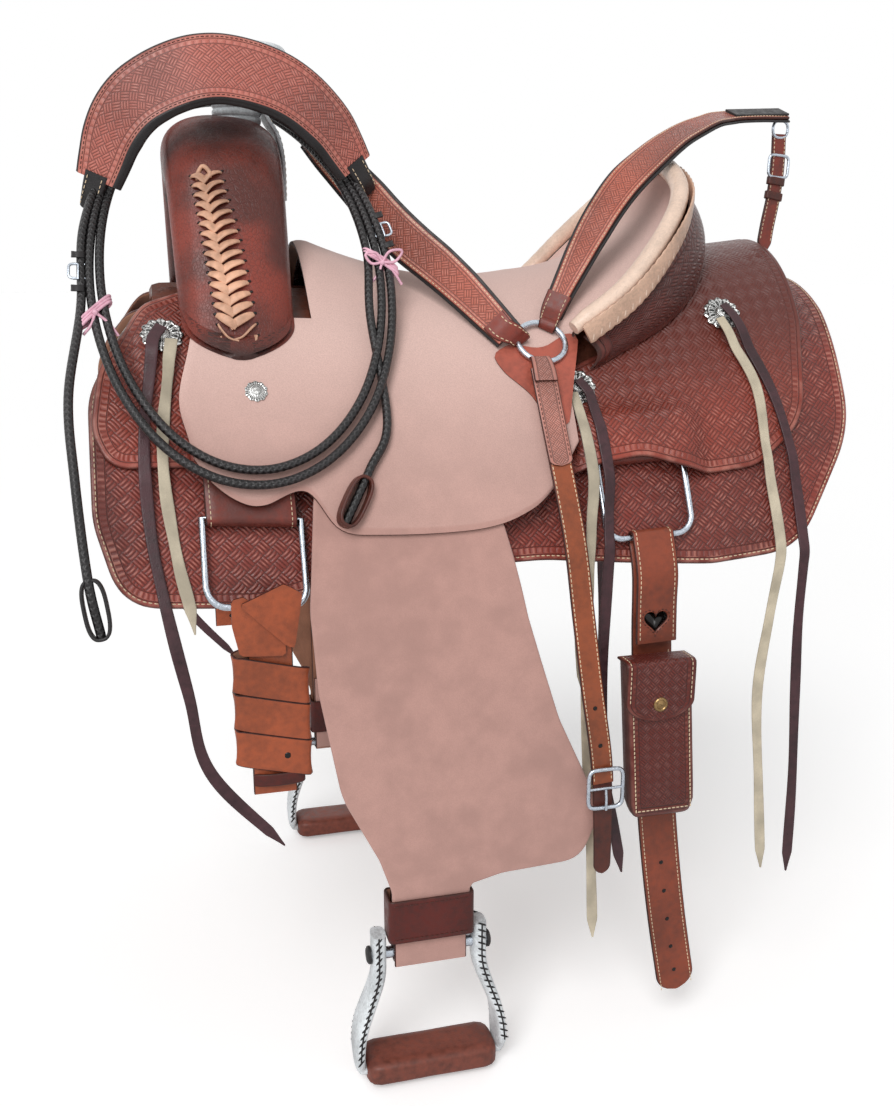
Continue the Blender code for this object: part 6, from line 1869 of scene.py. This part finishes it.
CONCHO_RADIUS = 0.0195
CONCHO_THICK = 0.006
STRING_WIDTH = 0.013
STRING_THICK = 0.0022
FRONT_JOCKEY_DEPTH = 0.280
REAR_JOCKEY_DEPTH = 0.299
CONCHOS = {
    "front": (-0.292, 0.150, front_jockey_lift), "mid": (0.1155, 0.198, rear_jockey_lift),
    "rear": (0.294, 0.132, rear_jockey_lift)
}
STRING_ENDS = {
    "front": (
        [(-0.296, 0.232), (-0.299, 0.290), (-0.292, 0.362), (-0.284, 0.405), (-0.281, 0.430)],
        [
            (-0.314, 0.243), (-0.315, 0.327), (-0.307, 0.396), (-0.290, 0.488), (-0.274, 0.566),
            (-0.208, 0.644)
        ]
    ),
    "mid": (
        [(0.111, 0.297), (0.102, 0.374), (0.101, 0.514), (0.110, 0.648), (0.118, 0.796)],
        [(0.127, 0.297), (0.121, 0.375), (0.119, 0.516), (0.124, 0.600), (0.136, 0.660), (0.148, 0.723)]
    ),
    "rear": (
        [
            (0.309, 0.211), (0.306, 0.287), (0.309, 0.378), (0.300, 0.456), (0.292, 0.542), (0.301, 0.646),
            (0.311, 0.750)
        ],
        [
            (0.325, 0.220), (0.334, 0.311), (0.334, 0.401), (0.333, 0.472), (0.336, 0.550), (0.341, 0.655),
            (0.342, 0.761)
        ]
    )
}


def surface_normal(x, s, lift, side):
    step = 0.012
    around = ((x - step, s), (x + step, s), (x, s - step), (x, s + step))
    here = [side_point(px, ps, lift(px, ps), side) for px, ps in around]
    normal = unit(np.cross(here[1] - here[0], here[3] - here[2]))
    return normal if normal @ side_normal(s, side) > 0 else -normal


def concho_rim(angle, radius):
    return 0.055 * math.cos(12 * angle) if radius > CONCHO_RADIUS * 0.9 else 0.0


def make_conchos():
    outline = [
        (CONCHO_RADIUS, 0.0), (CONCHO_RADIUS, 0.0011), (CONCHO_RADIUS * 0.93, 0.0020),
        (CONCHO_RADIUS * 0.86, 0.0015), (CONCHO_RADIUS * 0.80, 0.0028), (CONCHO_RADIUS * 0.66, 0.0034),
        (CONCHO_RADIUS * 0.50, 0.0030), (CONCHO_RADIUS * 0.42, 0.0026), (CONCHO_RADIUS * 0.36, 0.0044),
        (CONCHO_RADIUS * 0.24, 0.0058), (CONCHO_RADIUS * 0.10, 0.0062), (0.0003, 0.0063), (0.0003, 0.0)
    ]
    for name, side in SIDES.items():
        for place_name, (x, s, lift) in CONCHOS.items():
            out = surface_normal(x, s, lift, side)
            centre = side_point(x, s, lift(x, s) + JOCKEY_THICK, side) + out * 0.0014
            node_name = "concho_%s_%s" % (place_name, name)
            obj = lathe(node_name + "_face", outline, centre, out, "silver", 96, False, concho_rim, 35)
            put(obj, node_name, True)
            petals = []
            for k in range(12):
                a = 2 * math.pi * (k + 0.5) / 12
                first = unit(np.cross(out, X))
                spoke = first * math.cos(a) + np.cross(out, first) * math.sin(a)
                petals.append((centre + spoke * CONCHO_RADIUS * 0.62 + out * 0.0034, spoke, out))
            ridges = studs(node_name + "_petals", *zip(*petals), 0.0052, 0.0013, "silver", 0.55, 8)
            put(ridges, node_name)
            make_strings(place_name, name, side, x, s, lift)


def make_strings(place_name, name, side, x, s, lift):
    first, second = STRING_ENDS[place_name]
    edge = FRONT_JOCKEY_DEPTH if place_name == "front" else REAR_JOCKEY_DEPTH
    half = STRING_WIDTH / 2

    def ground(px, ps):
        here = SKIRT_THICK
        if ps < edge + 0.012:
            here = max(
                float(lift(px - half, ps)), float(lift(px, ps)), float(lift(px + half, ps))
            ) + JOCKEY_THICK
        if place_name == "mid" and REAR_DEE[1] - 0.03 < ps < REAR_DEE[1] + DEE_DROP + 0.01:
            here = max(here, DEE_LIFT + DEE_BAR)
        return here

    def lie(px, ps):
        near = math.hypot(px - x, ps - s) < CONCHO_RADIUS + 0.012
        return ground(px, ps) + 0.0030 + (CONCHO_THICK + 0.0006 if near else 0.0)

    way = math.copysign(1.0, second[0][0] - first[0][0])
    arch = []
    for k in range(5):
        angle = math.pi * k / 4
        px, ps = x - way * 0.0082 * math.cos(angle), s + 0.010 - 0.014 * math.sin(angle)
        arch.append((px, ps, ground(px, ps) + CONCHO_THICK + 0.0038))
    hang = (0.405 if place_name == "front" else 0.388) + 0.006
    drift = 0.008 if place_name == "front" else 0.0
    node_name = "string_%s_%s" % (place_name, name)
    for strand, start, line, look in (
        ("cream", arch[0], first, "cream"), ("brown", arch[-1], second, "dark")
    ):
        route = [arch[2], start] if strand == "brown" else [start]
        fine = along([start[:2]] + line, 40)[1:]
        route += [(px, ps, lie(px, ps)) for px, ps in fine]
        path, outs = [], []
        for px, ps, height in route:
            if ps <= hang:
                path.append(side_point(px, ps, height, side))
            else:
                low = side_point(px, hang, height, side)
                path.append(low + vec(0.0, side * drift * float(smooth((ps - hang) / 0.04)), hang - ps))
            outs.append(side_normal(min(ps, hang), side))
        heights = np.array(path)
        for _ in range(3):
            heights[1:-1, 1] = side * np.maximum(
                np.abs(heights[1:-1, 1]), (np.abs(heights[:-2, 1]) + np.abs(heights[2:, 1])) / 2
            )
        across = [np.cross(t, n) for t, n in zip(tangents(heights), outs)]
        widths = np.full(180, STRING_WIDTH * 0.88)
        widths += 0.0009 * np.sin(np.linspace(0, 23, 180) + x * 40)
        strip = Strip(heights, across, 180, (0, side, 0.3))
        obj = strip.mesh(
            "%s_%s" % (node_name, strand), widths, STRING_THICK, look, edge=look, tip=("point", 0.022)
        )
        put(obj, node_name, True)


# Seat screws


def rosette_rim(angle, radius):
    return 0.05 * math.cos(10 * angle) if radius > 0.009 else 0.0


def make_seat_screws():
    for name, side in SIDES.items():
        x, s = -0.210, 0.208
        out = side_normal(s, side)
        centre = side_point(x, s, SEAT_LIFT + SEAT_THICK + 0.0001, side)
        rosette = [
            (0.0105, 0.0), (0.0105, 0.0010), (0.0092, 0.0018), (0.0080, 0.0012), (0.0062, 0.0026),
            (0.0030, 0.0034), (0.0003, 0.0036), (0.0003, 0.0)
        ]
        screw = lathe("seat_screw_" + name, rosette, centre, out, "silver", 64, False, rosette_rim, 35)
        put(screw, "seat_leather")


# Bridle


LOOP_X = -0.214
LOOP_Z = 0.091
LOOP_HALF = 0.150
LOOP_DROP = 0.184

# The height of the coil's plane against how far out it hangs
LOOP_LEAN = (
    (-0.10, -0.262), (-0.02, -0.218), (0.03, -0.184), (0.12, -0.124), (0.19, -0.072), (0.276, 0.034)
)

BAND_WIDTH = 0.066
REIN_RADIUS = 0.0042


def loop_point(angle, turn):
    """A point of the coil of reins. Each turn is smaller than the last."""
    x = LOOP_X + LOOP_HALF * (1.0 - 0.064 * turn) * math.cos(angle)
    drop = LOOP_DROP * (1.0 - 0.034 * turn)
    z = LOOP_Z + LOOP_DROP - drop + drop * math.sin(angle)
    y = float(np.interp(z, [p[0] for p in LOOP_LEAN], [p[1] for p in LOOP_LEAN]))
    return vec(x, y + 0.0098 * turn * float(smooth((math.sin(angle) - 0.2) / 0.6)), z)


def make_bridle():
    corners = [
        (-0.343, -0.078, 0.188), (-0.322, -0.088, 0.240), (-0.288, -0.092, 0.272), (-0.230, -0.096, 0.291),
        (-0.165, -0.092, 0.279), (-0.118, -0.084, 0.246), (-0.088, -0.072, 0.204)
    ]
    arch = along(corners, 17)
    across = [unit(unit(vec(p[0] + 0.215, 0.0, p[2] - 0.15)) * 0.92 + vec(0.0, 0.38, 0.0)) for p in arch]
    strip = Strip(arch, across, 120, (0, -1, 0))
    swell = np.sin(np.pi * (0.06 + 0.88 * np.linspace(0, 1, 40))) ** 0.7
    widths = BAND_WIDTH * (0.42 + 0.58 * swell)
    put(strip.mesh("bridle_band_leather", widths, 0.0032, "band", lift=0.0009), "bridle_band", True)
    put(
        strip.mesh("bridle_band_lining", widths + 0.005, 0.0024, "black", "black", lift=-0.0018),
        "bridle_band"
    )
    half = strip.spread(widths) / 2
    for name, offset in (("inner", -half + 0.0035), ("outer", half - 0.0035)):
        line = strip.row(offset, 0.0026)
        place, way, out = walk(line, strip.out, 0.0046, 0.003, 0.003)
        put(
            studs("bridle_band_stitching_" + name, place, way, out, 0.0032, 0.0005, "dark_thread"),
            "bridle_band"
        )
    pad = strip.row(-half + 0.0005, -0.0030)
    roll = Strip(list(pad), list(strip.wide), 120, (0, -1, 0))
    obj = roll.mesh(
        "bridle_band_padding", [0.012, 0.015, 0.0095, 0.0075, 0.0095, 0.015, 0.012], 0.0050, "black",
        "black", crown=0.0032
    )
    put(obj, "bridle_band")
    for name, index, way in (("front", 0, -1.0), ("rear", -1, 1.0)):
        start = strip.place[index]
        along_it = strip.way[index] * way
        path = [
            start - along_it * 0.006, start + along_it * 0.006, start + along_it * 0.018,
            start + along_it * 0.028 + vec(0, 0.006, 0)
        ]
        tab = Strip(path, strip.wide[index], 24, (0, -1, 0))
        put(
            tab.mesh(
                "bridle_end_tab_" + name, [0.026, 0.024, 0.021, 0.018], 0.0062, "black", "black",
                crown=0.0008, lift=0.0004
            ),
            "bridle_band"
        )
        put(tab.stitches("bridle_end_stitching_" + name, (-0.0075, 0.0075), 0.0044), "bridle_band")

    path = [
        vec(-0.361, -0.306, -0.200), vec(-0.369, -0.298, -0.150), vec(-0.375, -0.262, -0.070),
        vec(-0.377, -0.218, -0.002)
    ]
    path += [loop_point(math.radians(186.0 - 22.5 * k), k / 16) for k in range(42)]
    path += [side_point(x, s, 0.037, -1.0) for x, s in ((-0.090, 0.238), (-0.112, 0.283), (-0.140, 0.333))]
    line = along(path, 640)
    reins = tube("rein_coil", line, REIN_RADIUS, "rein", 14, False, tuple(unit(vec(0.12, 1.0, 0.55))))
    put(reins, "bridle_reins", True)
    pieces = make_rein_pieces(line)
    held = [tuple(float(v) for v in p) for p in line]
    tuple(held[0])


def oval(centre, first, second, a, b, count=28, power=1.0):
    points = []
    for k in range(count):
        t = 2 * math.pi * k / count
        c, s = math.cos(t), math.sin(t)
        c, s = math.copysign(abs(c) ** power, c), math.copysign(abs(s) ** power, s)
        points.append(centre + first * a * c + second * b * s)
    return points


def make_rein_pieces(line):
    """The ties, buckles and end loops on the reins."""
    pieces = []

    def keep(obj):
        pieces.append(put(obj, "bridle_reins"))

    for name, degrees, bow in (("front", 190.0, False), ("rear", 4.0, True)):
        a = math.radians(degrees)
        middle = (loop_point(a, 0.0) + loop_point(a, 2.4)) / 2
        spoke = unit(loop_point(a, 0.0) - loop_point(a, 2.0))
        way = unit(loop_point(a + 0.05, 1.0) - loop_point(a - 0.05, 1.0))
        deep = np.cross(spoke, way)
        for k, shift in enumerate((-0.0032, 0.0, 0.0032)):
            ring = oval(middle + way * shift, spoke, deep, 0.0190, 0.0062, 28, 0.7)
            keep(tube("rein_tie_%s_%d" % (name, k), ring, 0.0015, "tie", 8, True))
        knot = middle - vec(0.0, 0.0085, 0.0)
        loops = [(1.0, 0.55, 0.020), (-1.0, 0.45, 0.017), (0.8, -0.9, 0.024), (-0.6, -1.0, 0.020)]
        for k, (u, v, reach) in enumerate(loops if bow else loops[2:]):
            tip = knot + vec(u * reach, -0.0015, v * reach)
            side_way = unit(np.cross(tip - knot, Y))
            half_way = (knot + tip) / 2
            if k < 2 and bow:
                route = [knot, half_way + side_way * 0.0055, tip, half_way - side_way * 0.0055]
                route.append(knot + vec(0, -0.0012, 0))
            else:
                route = [knot, half_way + side_way * 0.0020, tip]
            keep(tube("rein_bow_%s_%d" % (name, k), along(route, 24), 0.0014, "tie", 8))
        ball = [(0.0003, -0.0030), (0.0022, -0.0022), (0.0031, 0.0), (0.0022, 0.0022), (0.0003, 0.0030)]
        keep(lathe("rein_knot_" + name, ball, knot, (0.1, 1, 0), "tie", 16))
    for name, degrees in (("front", 176.0), ("rear", 16.0)):
        a = math.radians(degrees)
        middle = loop_point(a, 0.0) - vec(0.0, 0.0012, 0.0)
        way = unit(loop_point(a + 0.05, 0.0) - loop_point(a - 0.05, 0.0))
        spoke = unit(np.cross(way, Y))
        ring = oval(middle, spoke, way, 0.0088, 0.0078, 28, 0.45)
        keep(tube("rein_buckle_" + name, ring, 0.0013, "steel", 10, True))
        tongue = [
            middle - way * 0.0078 - vec(0, 0.0044, 0), middle - vec(0, 0.0052, 0),
            middle + way * 0.0084 - vec(0, 0.0040, 0)
        ]
        keep(tube("rein_buckle_tongue_" + name, tongue, 0.0009, "steel", 8))
        for k, shift in enumerate((-0.018, 0.018)):
            band = oval(middle + vec(0, 0.0012, 0) + way * shift, spoke, Y, 0.0058, 0.0056, 24)
            keeper = Strip(band, way, 48, spoke, True)
            keep(keeper.mesh("rein_keeper_%s_%d" % (name, k), 0.0065, 0.0016, "black", "black"))
    ends = (
        ("front", line[0], unit(line[14] - line[0]), "black", 0.052),
        ("rear", line[-1], unit(line[-12] - line[-1]), "rein_brown", 0.050)
    )
    for name, end, way, look, reach in ends:
        spoke = unit(np.cross(way, Y))
        deep = np.cross(spoke, way)
        ring = oval(end + way * reach * 0.48, way, spoke, reach / 2, 0.0098, 48, 0.7)
        band = Strip(ring, deep, 90, way, True)
        keep(band.mesh("rein_end_loop_" + name, 0.0135, 0.0030, look, look))
    return pieces


# Breast collar


COLLAR_WIDTH = 0.042

# The rear strap's middle line, its width direction and its width: it twists as it goes over the cantle
REAR_STRAP = (
    ((0.0974, -0.1413, 0.0500), (-0.78, 0.50, 0.30), 0.024),
    ((0.1091, -0.1373, 0.0724), (-0.72, 0.50, 0.45), 0.028),
    ((0.1295, -0.1272, 0.1055), (-0.64, 0.56, 0.50), 0.034),
    ((0.1493, -0.1160, 0.1346), (-0.63, 0.60, 0.48), 0.039),
    ((0.1718, -0.1058, 0.1650), (-0.62, 0.61, 0.47), 0.041),
    ((0.1973, -0.0935, 0.1919), (-0.58, 0.64, 0.48), 0.043),
    ((0.2277, -0.0763, 0.2141), (-0.40, 0.755, 0.50), 0.043),
    ((0.2635, -0.0556, 0.2362), (-0.142, 0.88, 0.453), 0.043),
    ((0.2954, -0.0407, 0.2514), (0.12, 0.878, 0.42), 0.042),
    ((0.3263, -0.0258, 0.2621), (0.33, 0.887, 0.323), 0.040),
    ((0.3563, -0.0110, 0.2680), (0.40, 0.86, 0.30), 0.038),
    ((0.4004, -0.0020, 0.2716), (0.42, 0.84, 0.34), 0.034),
    ((0.4330, 0.0050, 0.2730), (0.42, 0.83, 0.36), 0.032)
)


def collar_strap(name, path, across, widths, out):
    strip = Strip(path, across, 150, out)
    put(strip.mesh(name + "_leather", widths, 0.0034, "collar", lift=0.0010), name, True)
    put(
        strip.mesh(name + "_lining", np.array(widths) + 0.005, 0.0024, "black", "black", lift=-0.0019), name
    )
    half = strip.spread(widths) / 2
    every = [[], [], []]
    for offset in (-half + 0.0032, half - 0.0032):
        for held, found in zip(every, walk(strip.row(offset, 0.0028), strip.out, 0.0044, 0.004, 0.004)):
            held.append(found)
    place, way, outs = (np.concatenate(v) for v in every)
    put(studs(name + "_stitching", place, way, outs, 0.0031, 0.0005, "thread"), name)
    return strip


def make_collar():
    ring_lift = SEAT_LIFT + SEAT_THICK + 0.0012 + 0.003
    ring_x, ring_s = 0.080, 0.160
    centre = side_point(ring_x, ring_s, ring_lift, -1.0)
    out = side_normal(ring_s, -1.0)
    first = unit(np.cross(out, X))
    second = np.cross(out, first)
    ring = oval(centre, first, second, 0.025, 0.025, 64)
    put(tube("collar_ring_bar", ring, 0.003, "steel", 16, True, tuple(out)), "collar_ring", True)
    forward = along(
        [
            side_point(ring_x - 0.036, ring_s - 0.002, ring_lift + 0.009, -1.0), (-0.002, -0.130, 0.094),
            (-0.048, -0.086, 0.140), (-0.080, -0.046, 0.184), (-0.105, -0.014, 0.216),
            (-0.121, 0.018, 0.240)
        ],
        10
    )
    widths = COLLAR_WIDTH * (0.66 + 0.34 * np.sin(np.pi * np.arange(10) / 9))
    front = collar_strap("collar_front_strap", forward, unit(vec(0.62, -0.10, 0.70)), widths, out)
    rear = collar_strap(
        "collar_rear_strap", [p for p, _, _ in REAR_STRAP], [unit(vec(*a)) for _, a, _ in REAR_STRAP],
        [w - 0.005 for _, _, w in REAR_STRAP], out
    )
    for name, strip in (("front", front), ("rear", rear)):
        start = strip.place[0]
        toward = centre - start
        toward = unit(toward - out * float(toward @ out))
        bar = centre - toward * 0.025
        path = [strip.place[10] + strip.out[10] * 0.0042, strip.place[4] + strip.out[4] * 0.0044]
        path += [
            (start + bar) / 2 + out * 0.0064, bar + out * 0.0054, bar + out * 0.0020 + toward * 0.0050,
            bar - out * 0.0024 + toward * 0.0046
        ]
        tab = Strip(path, strip.wide[4], 40, out)
        put(
            tab.mesh("collar_ring_tab_" + name, [0.027, 0.026, 0.023, 0.020, 0.018], 0.0028, "brown"),
            "collar_%s_strap" % name
        )
        put(
            tab.stitches("collar_ring_tab_stitching_" + name, (-0.0085, 0.0085), 0.0017, stop=0.010),
            "collar_%s_strap" % name
        )
    corners = [
        (0.026, 0.170, 0.010), (0.048, 0.158, 0.015), (0.080, 0.166, 0.03), (0.112, 0.148, 0.012),
        (0.122, 0.154, 0.006), (0.106, 0.200, 0.05), (0.092, 0.247, 0.010), (0.072, 0.246, 0.010),
        (0.060, 0.214, 0.05), (0.036, 0.190, 0.03)
    ]
    base = SEAT_LIFT + SEAT_THICK + 0.0004
    plate(
        "collar_safe", rounded(corners), lambda x, s, h: side_point(x, s, base + h, -1.0), 0.0009, "safe",
        "collar_ring"
    )
    path = [rear.place[-26] + rear.out[-26] * 0.0040, rear.place[-1] + rear.out[-1] * 0.0040]
    cap = Strip(path, rear.wide[-12], 24, rear.out[-12])
    put(cap.mesh("collar_end_cap", 0.022, 0.0026, "black", "black"), "collar_rear_strap")

    end_ring = oval(vec(0.4315, 0.0045, 0.2575), vec(0.97, 0.24, 0.0), Z, 0.0115, 0.0095, 40, 0.8)
    put(tube("collar_end_ring", end_ring, 0.0017, "steel", 10, True, (0, 1, 0)), "collar_tug")
    hung = along(
        [(0.431, 0.006, 0.252), (0.429, 0.002, 0.200), (0.418, -0.004, 0.150), (0.410, -0.010, 0.112)], 5
    )
    tug = Strip(hung, vec(1.0, 0.1, 0.0), 60, (0, -1, 0))
    put(tug.mesh("collar_tug_strap", 0.0195, 0.0036, "brown", tip=("point", 0.018)), "collar_tug", True)
    put(tug.stitches("collar_tug_stitching", (-0.0070, 0.0070), 0.0019, stop=0.02), "collar_tug")
    for k, share in enumerate((0.38, 0.50)):
        i = int(share * 59)
        band = oval(tug.place[i], tug.wide[i], tug.out[i], 0.0108, 0.0034, 32, 0.5)
        keeper = Strip(band, tug.way[i], 60, tug.wide[i], True)
        put(
            keeper.mesh("collar_tug_keeper_%d" % k, 0.009, 0.0016, "rein_brown", "rein_brown"), "collar_tug"
        )
    i = int(0.26 * 59)
    frame_ring = oval(tug.place[i] + tug.out[i] * 0.0022, tug.wide[i], tug.way[i], 0.0135, 0.0125, 40, 0.4)
    put(tube("collar_tug_buckle", frame_ring, 0.0017, "steel", 10, True, tuple(tug.out[i])), "collar_tug")
    make_chest_strap()


def make_chest_strap():
    route = [(0.072, 0.192, 0.040), (0.073, 0.240, 0.038)]
    low = [(0.077, 0.300), (0.081, 0.360), (0.086, 0.420), (0.097, 0.493), (0.110, 0.575)]
    route += [(x, s, 0.036) for x, s in low + [(0.114, 0.647), (0.115, 0.704)]]
    path = [side_point(x, s, lift, -1.0, True) for x, s, lift in route]
    normals = [side_normal(s, -1.0, True) for _, s, _ in route]
    across = [np.cross(t, n) for t, n in zip(tangents(path), normals)]
    whole = Strip(path, across, 300, (0, -1, 0.2))
    split = int(np.searchsorted(whole.run, whole.run[-1] * 0.80))
    upper = Strip(list(whole.place[: split + 1 : 3]), list(whole.wide[: split + 1 : 3]), 200, (0, -1, 0.2))
    lower = Strip(list(whole.place[split - 12 :: 3]), list(whole.wide[split - 12 :: 3]), 90, (0, -1, 0.2))
    put(upper.mesh("chest_strap_leather", 0.0238, STRAP_THICK, "chest"), "chest_strap", True)
    put(
        upper.stitches("chest_strap_stitching", (-0.0092, 0.0092), STRAP_THICK / 2, start=0.02),
        "chest_strap"
    )
    widths = [0.0215, 0.0212, 0.020, 0.0185]
    put(
        lower.mesh("chest_strap_tail", widths, 0.0026, "rein_brown", lift=-0.0006, tip=("round", 0.010)),
        "chest_strap", True
    )
    top = Strip(
        list(whole.place[:60:3] + whole.out[:60:3] * 0.0026), list(whole.wide[:60:3]), 60, (0, -1, 0.2)
    )
    put(
        top.mesh(
            "chest_strap_chape", [0.0262, 0.0258, 0.0254, 0.0250], 0.0022, "chape", tip=("round", 0.006)
        ),
        "chest_strap"
    )
    put(
        top.stitches("chest_strap_chape_stitching", (-0.0098, 0.0098), 0.0012, "dark_thread", stop=0.008),
        "chest_strap"
    )
    bend = ((0.206, 0.0452), (0.195, 0.0452), (0.186, 0.0440), (0.1800, 0.0412), (0.1790, 0.0372))
    loop = Strip([side_point(0.0722, s, lift, -1.0) for s, lift in bend], X, 40, side_normal(0.18, -1.0))
    put(loop.mesh("chest_strap_loop", [0.0245, 0.0240, 0.0225, 0.0205], 0.0022, "chape"), "chest_strap")
    holes = ((0.1005, 0.515), (0.1075, 0.556))
    places = [side_point(x, s, 0.036, -1.0, True) - Y * 0.0019 for x, s in holes]
    put(hole_row("chest_strap_holes", places, -Y, 0.0021), "chest_strap")
    middle = side_point(0.1135, 0.602, 0.036, -1.0, True) - vec(0.0, 0.0052, 0.0)
    ring = oval(middle, X, Z, 0.0185, 0.021, 56, 0.35)
    put(tube("chest_buckle_frame", ring, 0.0022, "steel", 14, True, (0, 1, 0)), "chest_buckle", True)
    bar = [middle - vec(0.0180, 0, 0), middle + vec(0, 0.0004, 0), middle + vec(0.0180, 0, 0)]
    put(tube("chest_buckle_bar", bar, 0.0015, "steel", 12), "chest_buckle")
    tongue = [
        middle - vec(0, 0.0008, 0.0005), middle - vec(0, 0.0026, 0.010), middle - vec(0, 0.0030, 0.0225)
    ]
    put(tube("chest_buckle_tongue", along(tongue, 16), 0.0014, "steel", 12, up=X), "chest_buckle")


# Floor, light and camera


ROOM_LIGHT = 0.42
WHITE = (1.0, 1.0, 1.0, 1.0)


def make_stage():
    floor_look = Look("floor_pale", 0.85)
    rays = floor_look.add("LightPath").outputs["Is Camera Ray"]
    floor_look.shader.inputs["Emission Color"].default_value = WHITE
    floor_look.links.new(floor_look.times(rays, 0.32), floor_look.shader.inputs["Emission Strength"])
    floor_look.colour(
        floor_look.mix(floor_look.noise(3.0), (0.93, 0.93, 0.93, 1.0), (0.95, 0.95, 0.95, 1.0))
    )
    floor_z = CAD_BOX[0][2] - 0.004
    corners = [vec(x, y, floor_z) for x, y in ((-20, -20), (20, -20), (20, 20), (-20, 20))]
    LOOK["floor"] = floor_look.material
    floor = make_object("floor", corners, [(0, 1, 2, 3)], ["floor"])

    world = bpy.data.worlds.new("pale_room")
    bpy.context.scene.world = world
    world.use_nodes = True
    tree = world.node_tree
    background = tree.nodes["Background"]
    background.inputs["Color"].default_value = WHITE
    rays = tree.nodes.new("ShaderNodeLightPath")
    seen = None
    for name in ("Is Camera Ray", "Is Glossy Ray", "Is Transmission Ray"):
        if seen is None:
            seen = rays.outputs[name]
            continue
        higher = tree.nodes.new("ShaderNodeMath")
        higher.operation = "MAXIMUM"
        tree.links.new(seen, higher.inputs[0])
        tree.links.new(rays.outputs[name], higher.inputs[1])
        seen = higher.outputs[0]
    strength = tree.nodes.new("ShaderNodeMath")
    strength.operation = "MULTIPLY_ADD"
    strength.inputs[1].default_value = 1.0 - ROOM_LIGHT
    strength.inputs[2].default_value = ROOM_LIGHT
    tree.links.new(seen, strength.inputs[0])
    tree.links.new(strength.outputs[0], background.inputs["Strength"])


def add_light(name, kind, place, toward, energy, size):
    data = bpy.data.lights.new(name, kind)
    data.energy = energy
    if kind == "SUN":
        data.angle = size
    else:
        data.shape = "SQUARE"
        data.size = size
    lamp = bpy.data.objects.new(name, data)
    bpy.context.scene.collection.objects.link(lamp)
    lamp.location = place
    lamp.rotation_euler = (Vector(toward) - Vector(place)).to_track_quat("-Z", "Y").to_euler()


CAMERA_TURN = math.radians(-14.6)
CAMERA_PITCH = math.radians(14.916)
CAMERA_PLACE = (-0.315, -1.31, 0.132)
CAMERA_LENS = 38.25


def make_camera():
    data = bpy.data.cameras.new("camera")
    data.lens = CAMERA_LENS
    data.sensor_fit = "VERTICAL"
    data.sensor_height = 36.0
    camera = bpy.data.objects.new("camera", data)
    bpy.context.scene.collection.objects.link(camera)
    a, p = CAMERA_TURN, CAMERA_PITCH
    right = Vector((math.cos(a), math.sin(a), 0.0))
    back = Vector((math.sin(a) * math.cos(p), -math.cos(a) * math.cos(p), math.sin(p)))
    up = back.cross(right)
    turn = Matrix((right, up, back)).transposed().to_4x4()
    camera.matrix_world = Matrix.Translation(CAMERA_PLACE) @ turn
    bpy.context.scene.camera = camera


def dress_solids():
    for name, look in (("saddle_tree", "wood"), ("ground_seat", "steel")):
        data = NODES[name].data
        for k in range(len(data.materials)):
            data.materials[k] = LOOK[look]


def main():
    make_camera()
    dress_solids()
    make_bridle()
    make_side_leathers()
    make_fork()
    make_horn()
    make_seat()
    make_cantle()
    make_rigging()
    make_latigos()
    make_flank_billets()
    make_fenders()
    make_conchos()
    make_seat_screws()
    make_collar()
    make_stage()
    add_light("sun_soft", "SUN", (-1.6, -2.6, 3.4), (0.0, 0.0, 0.0), 1.15, 0.5)
    add_light("window_soft", "AREA", (-1.3, -2.2, 1.1), (-0.05, 0.0, -0.1), 17.0, 1.0)
    bpy.context.scene.view_settings.view_transform = "Standard"


main()
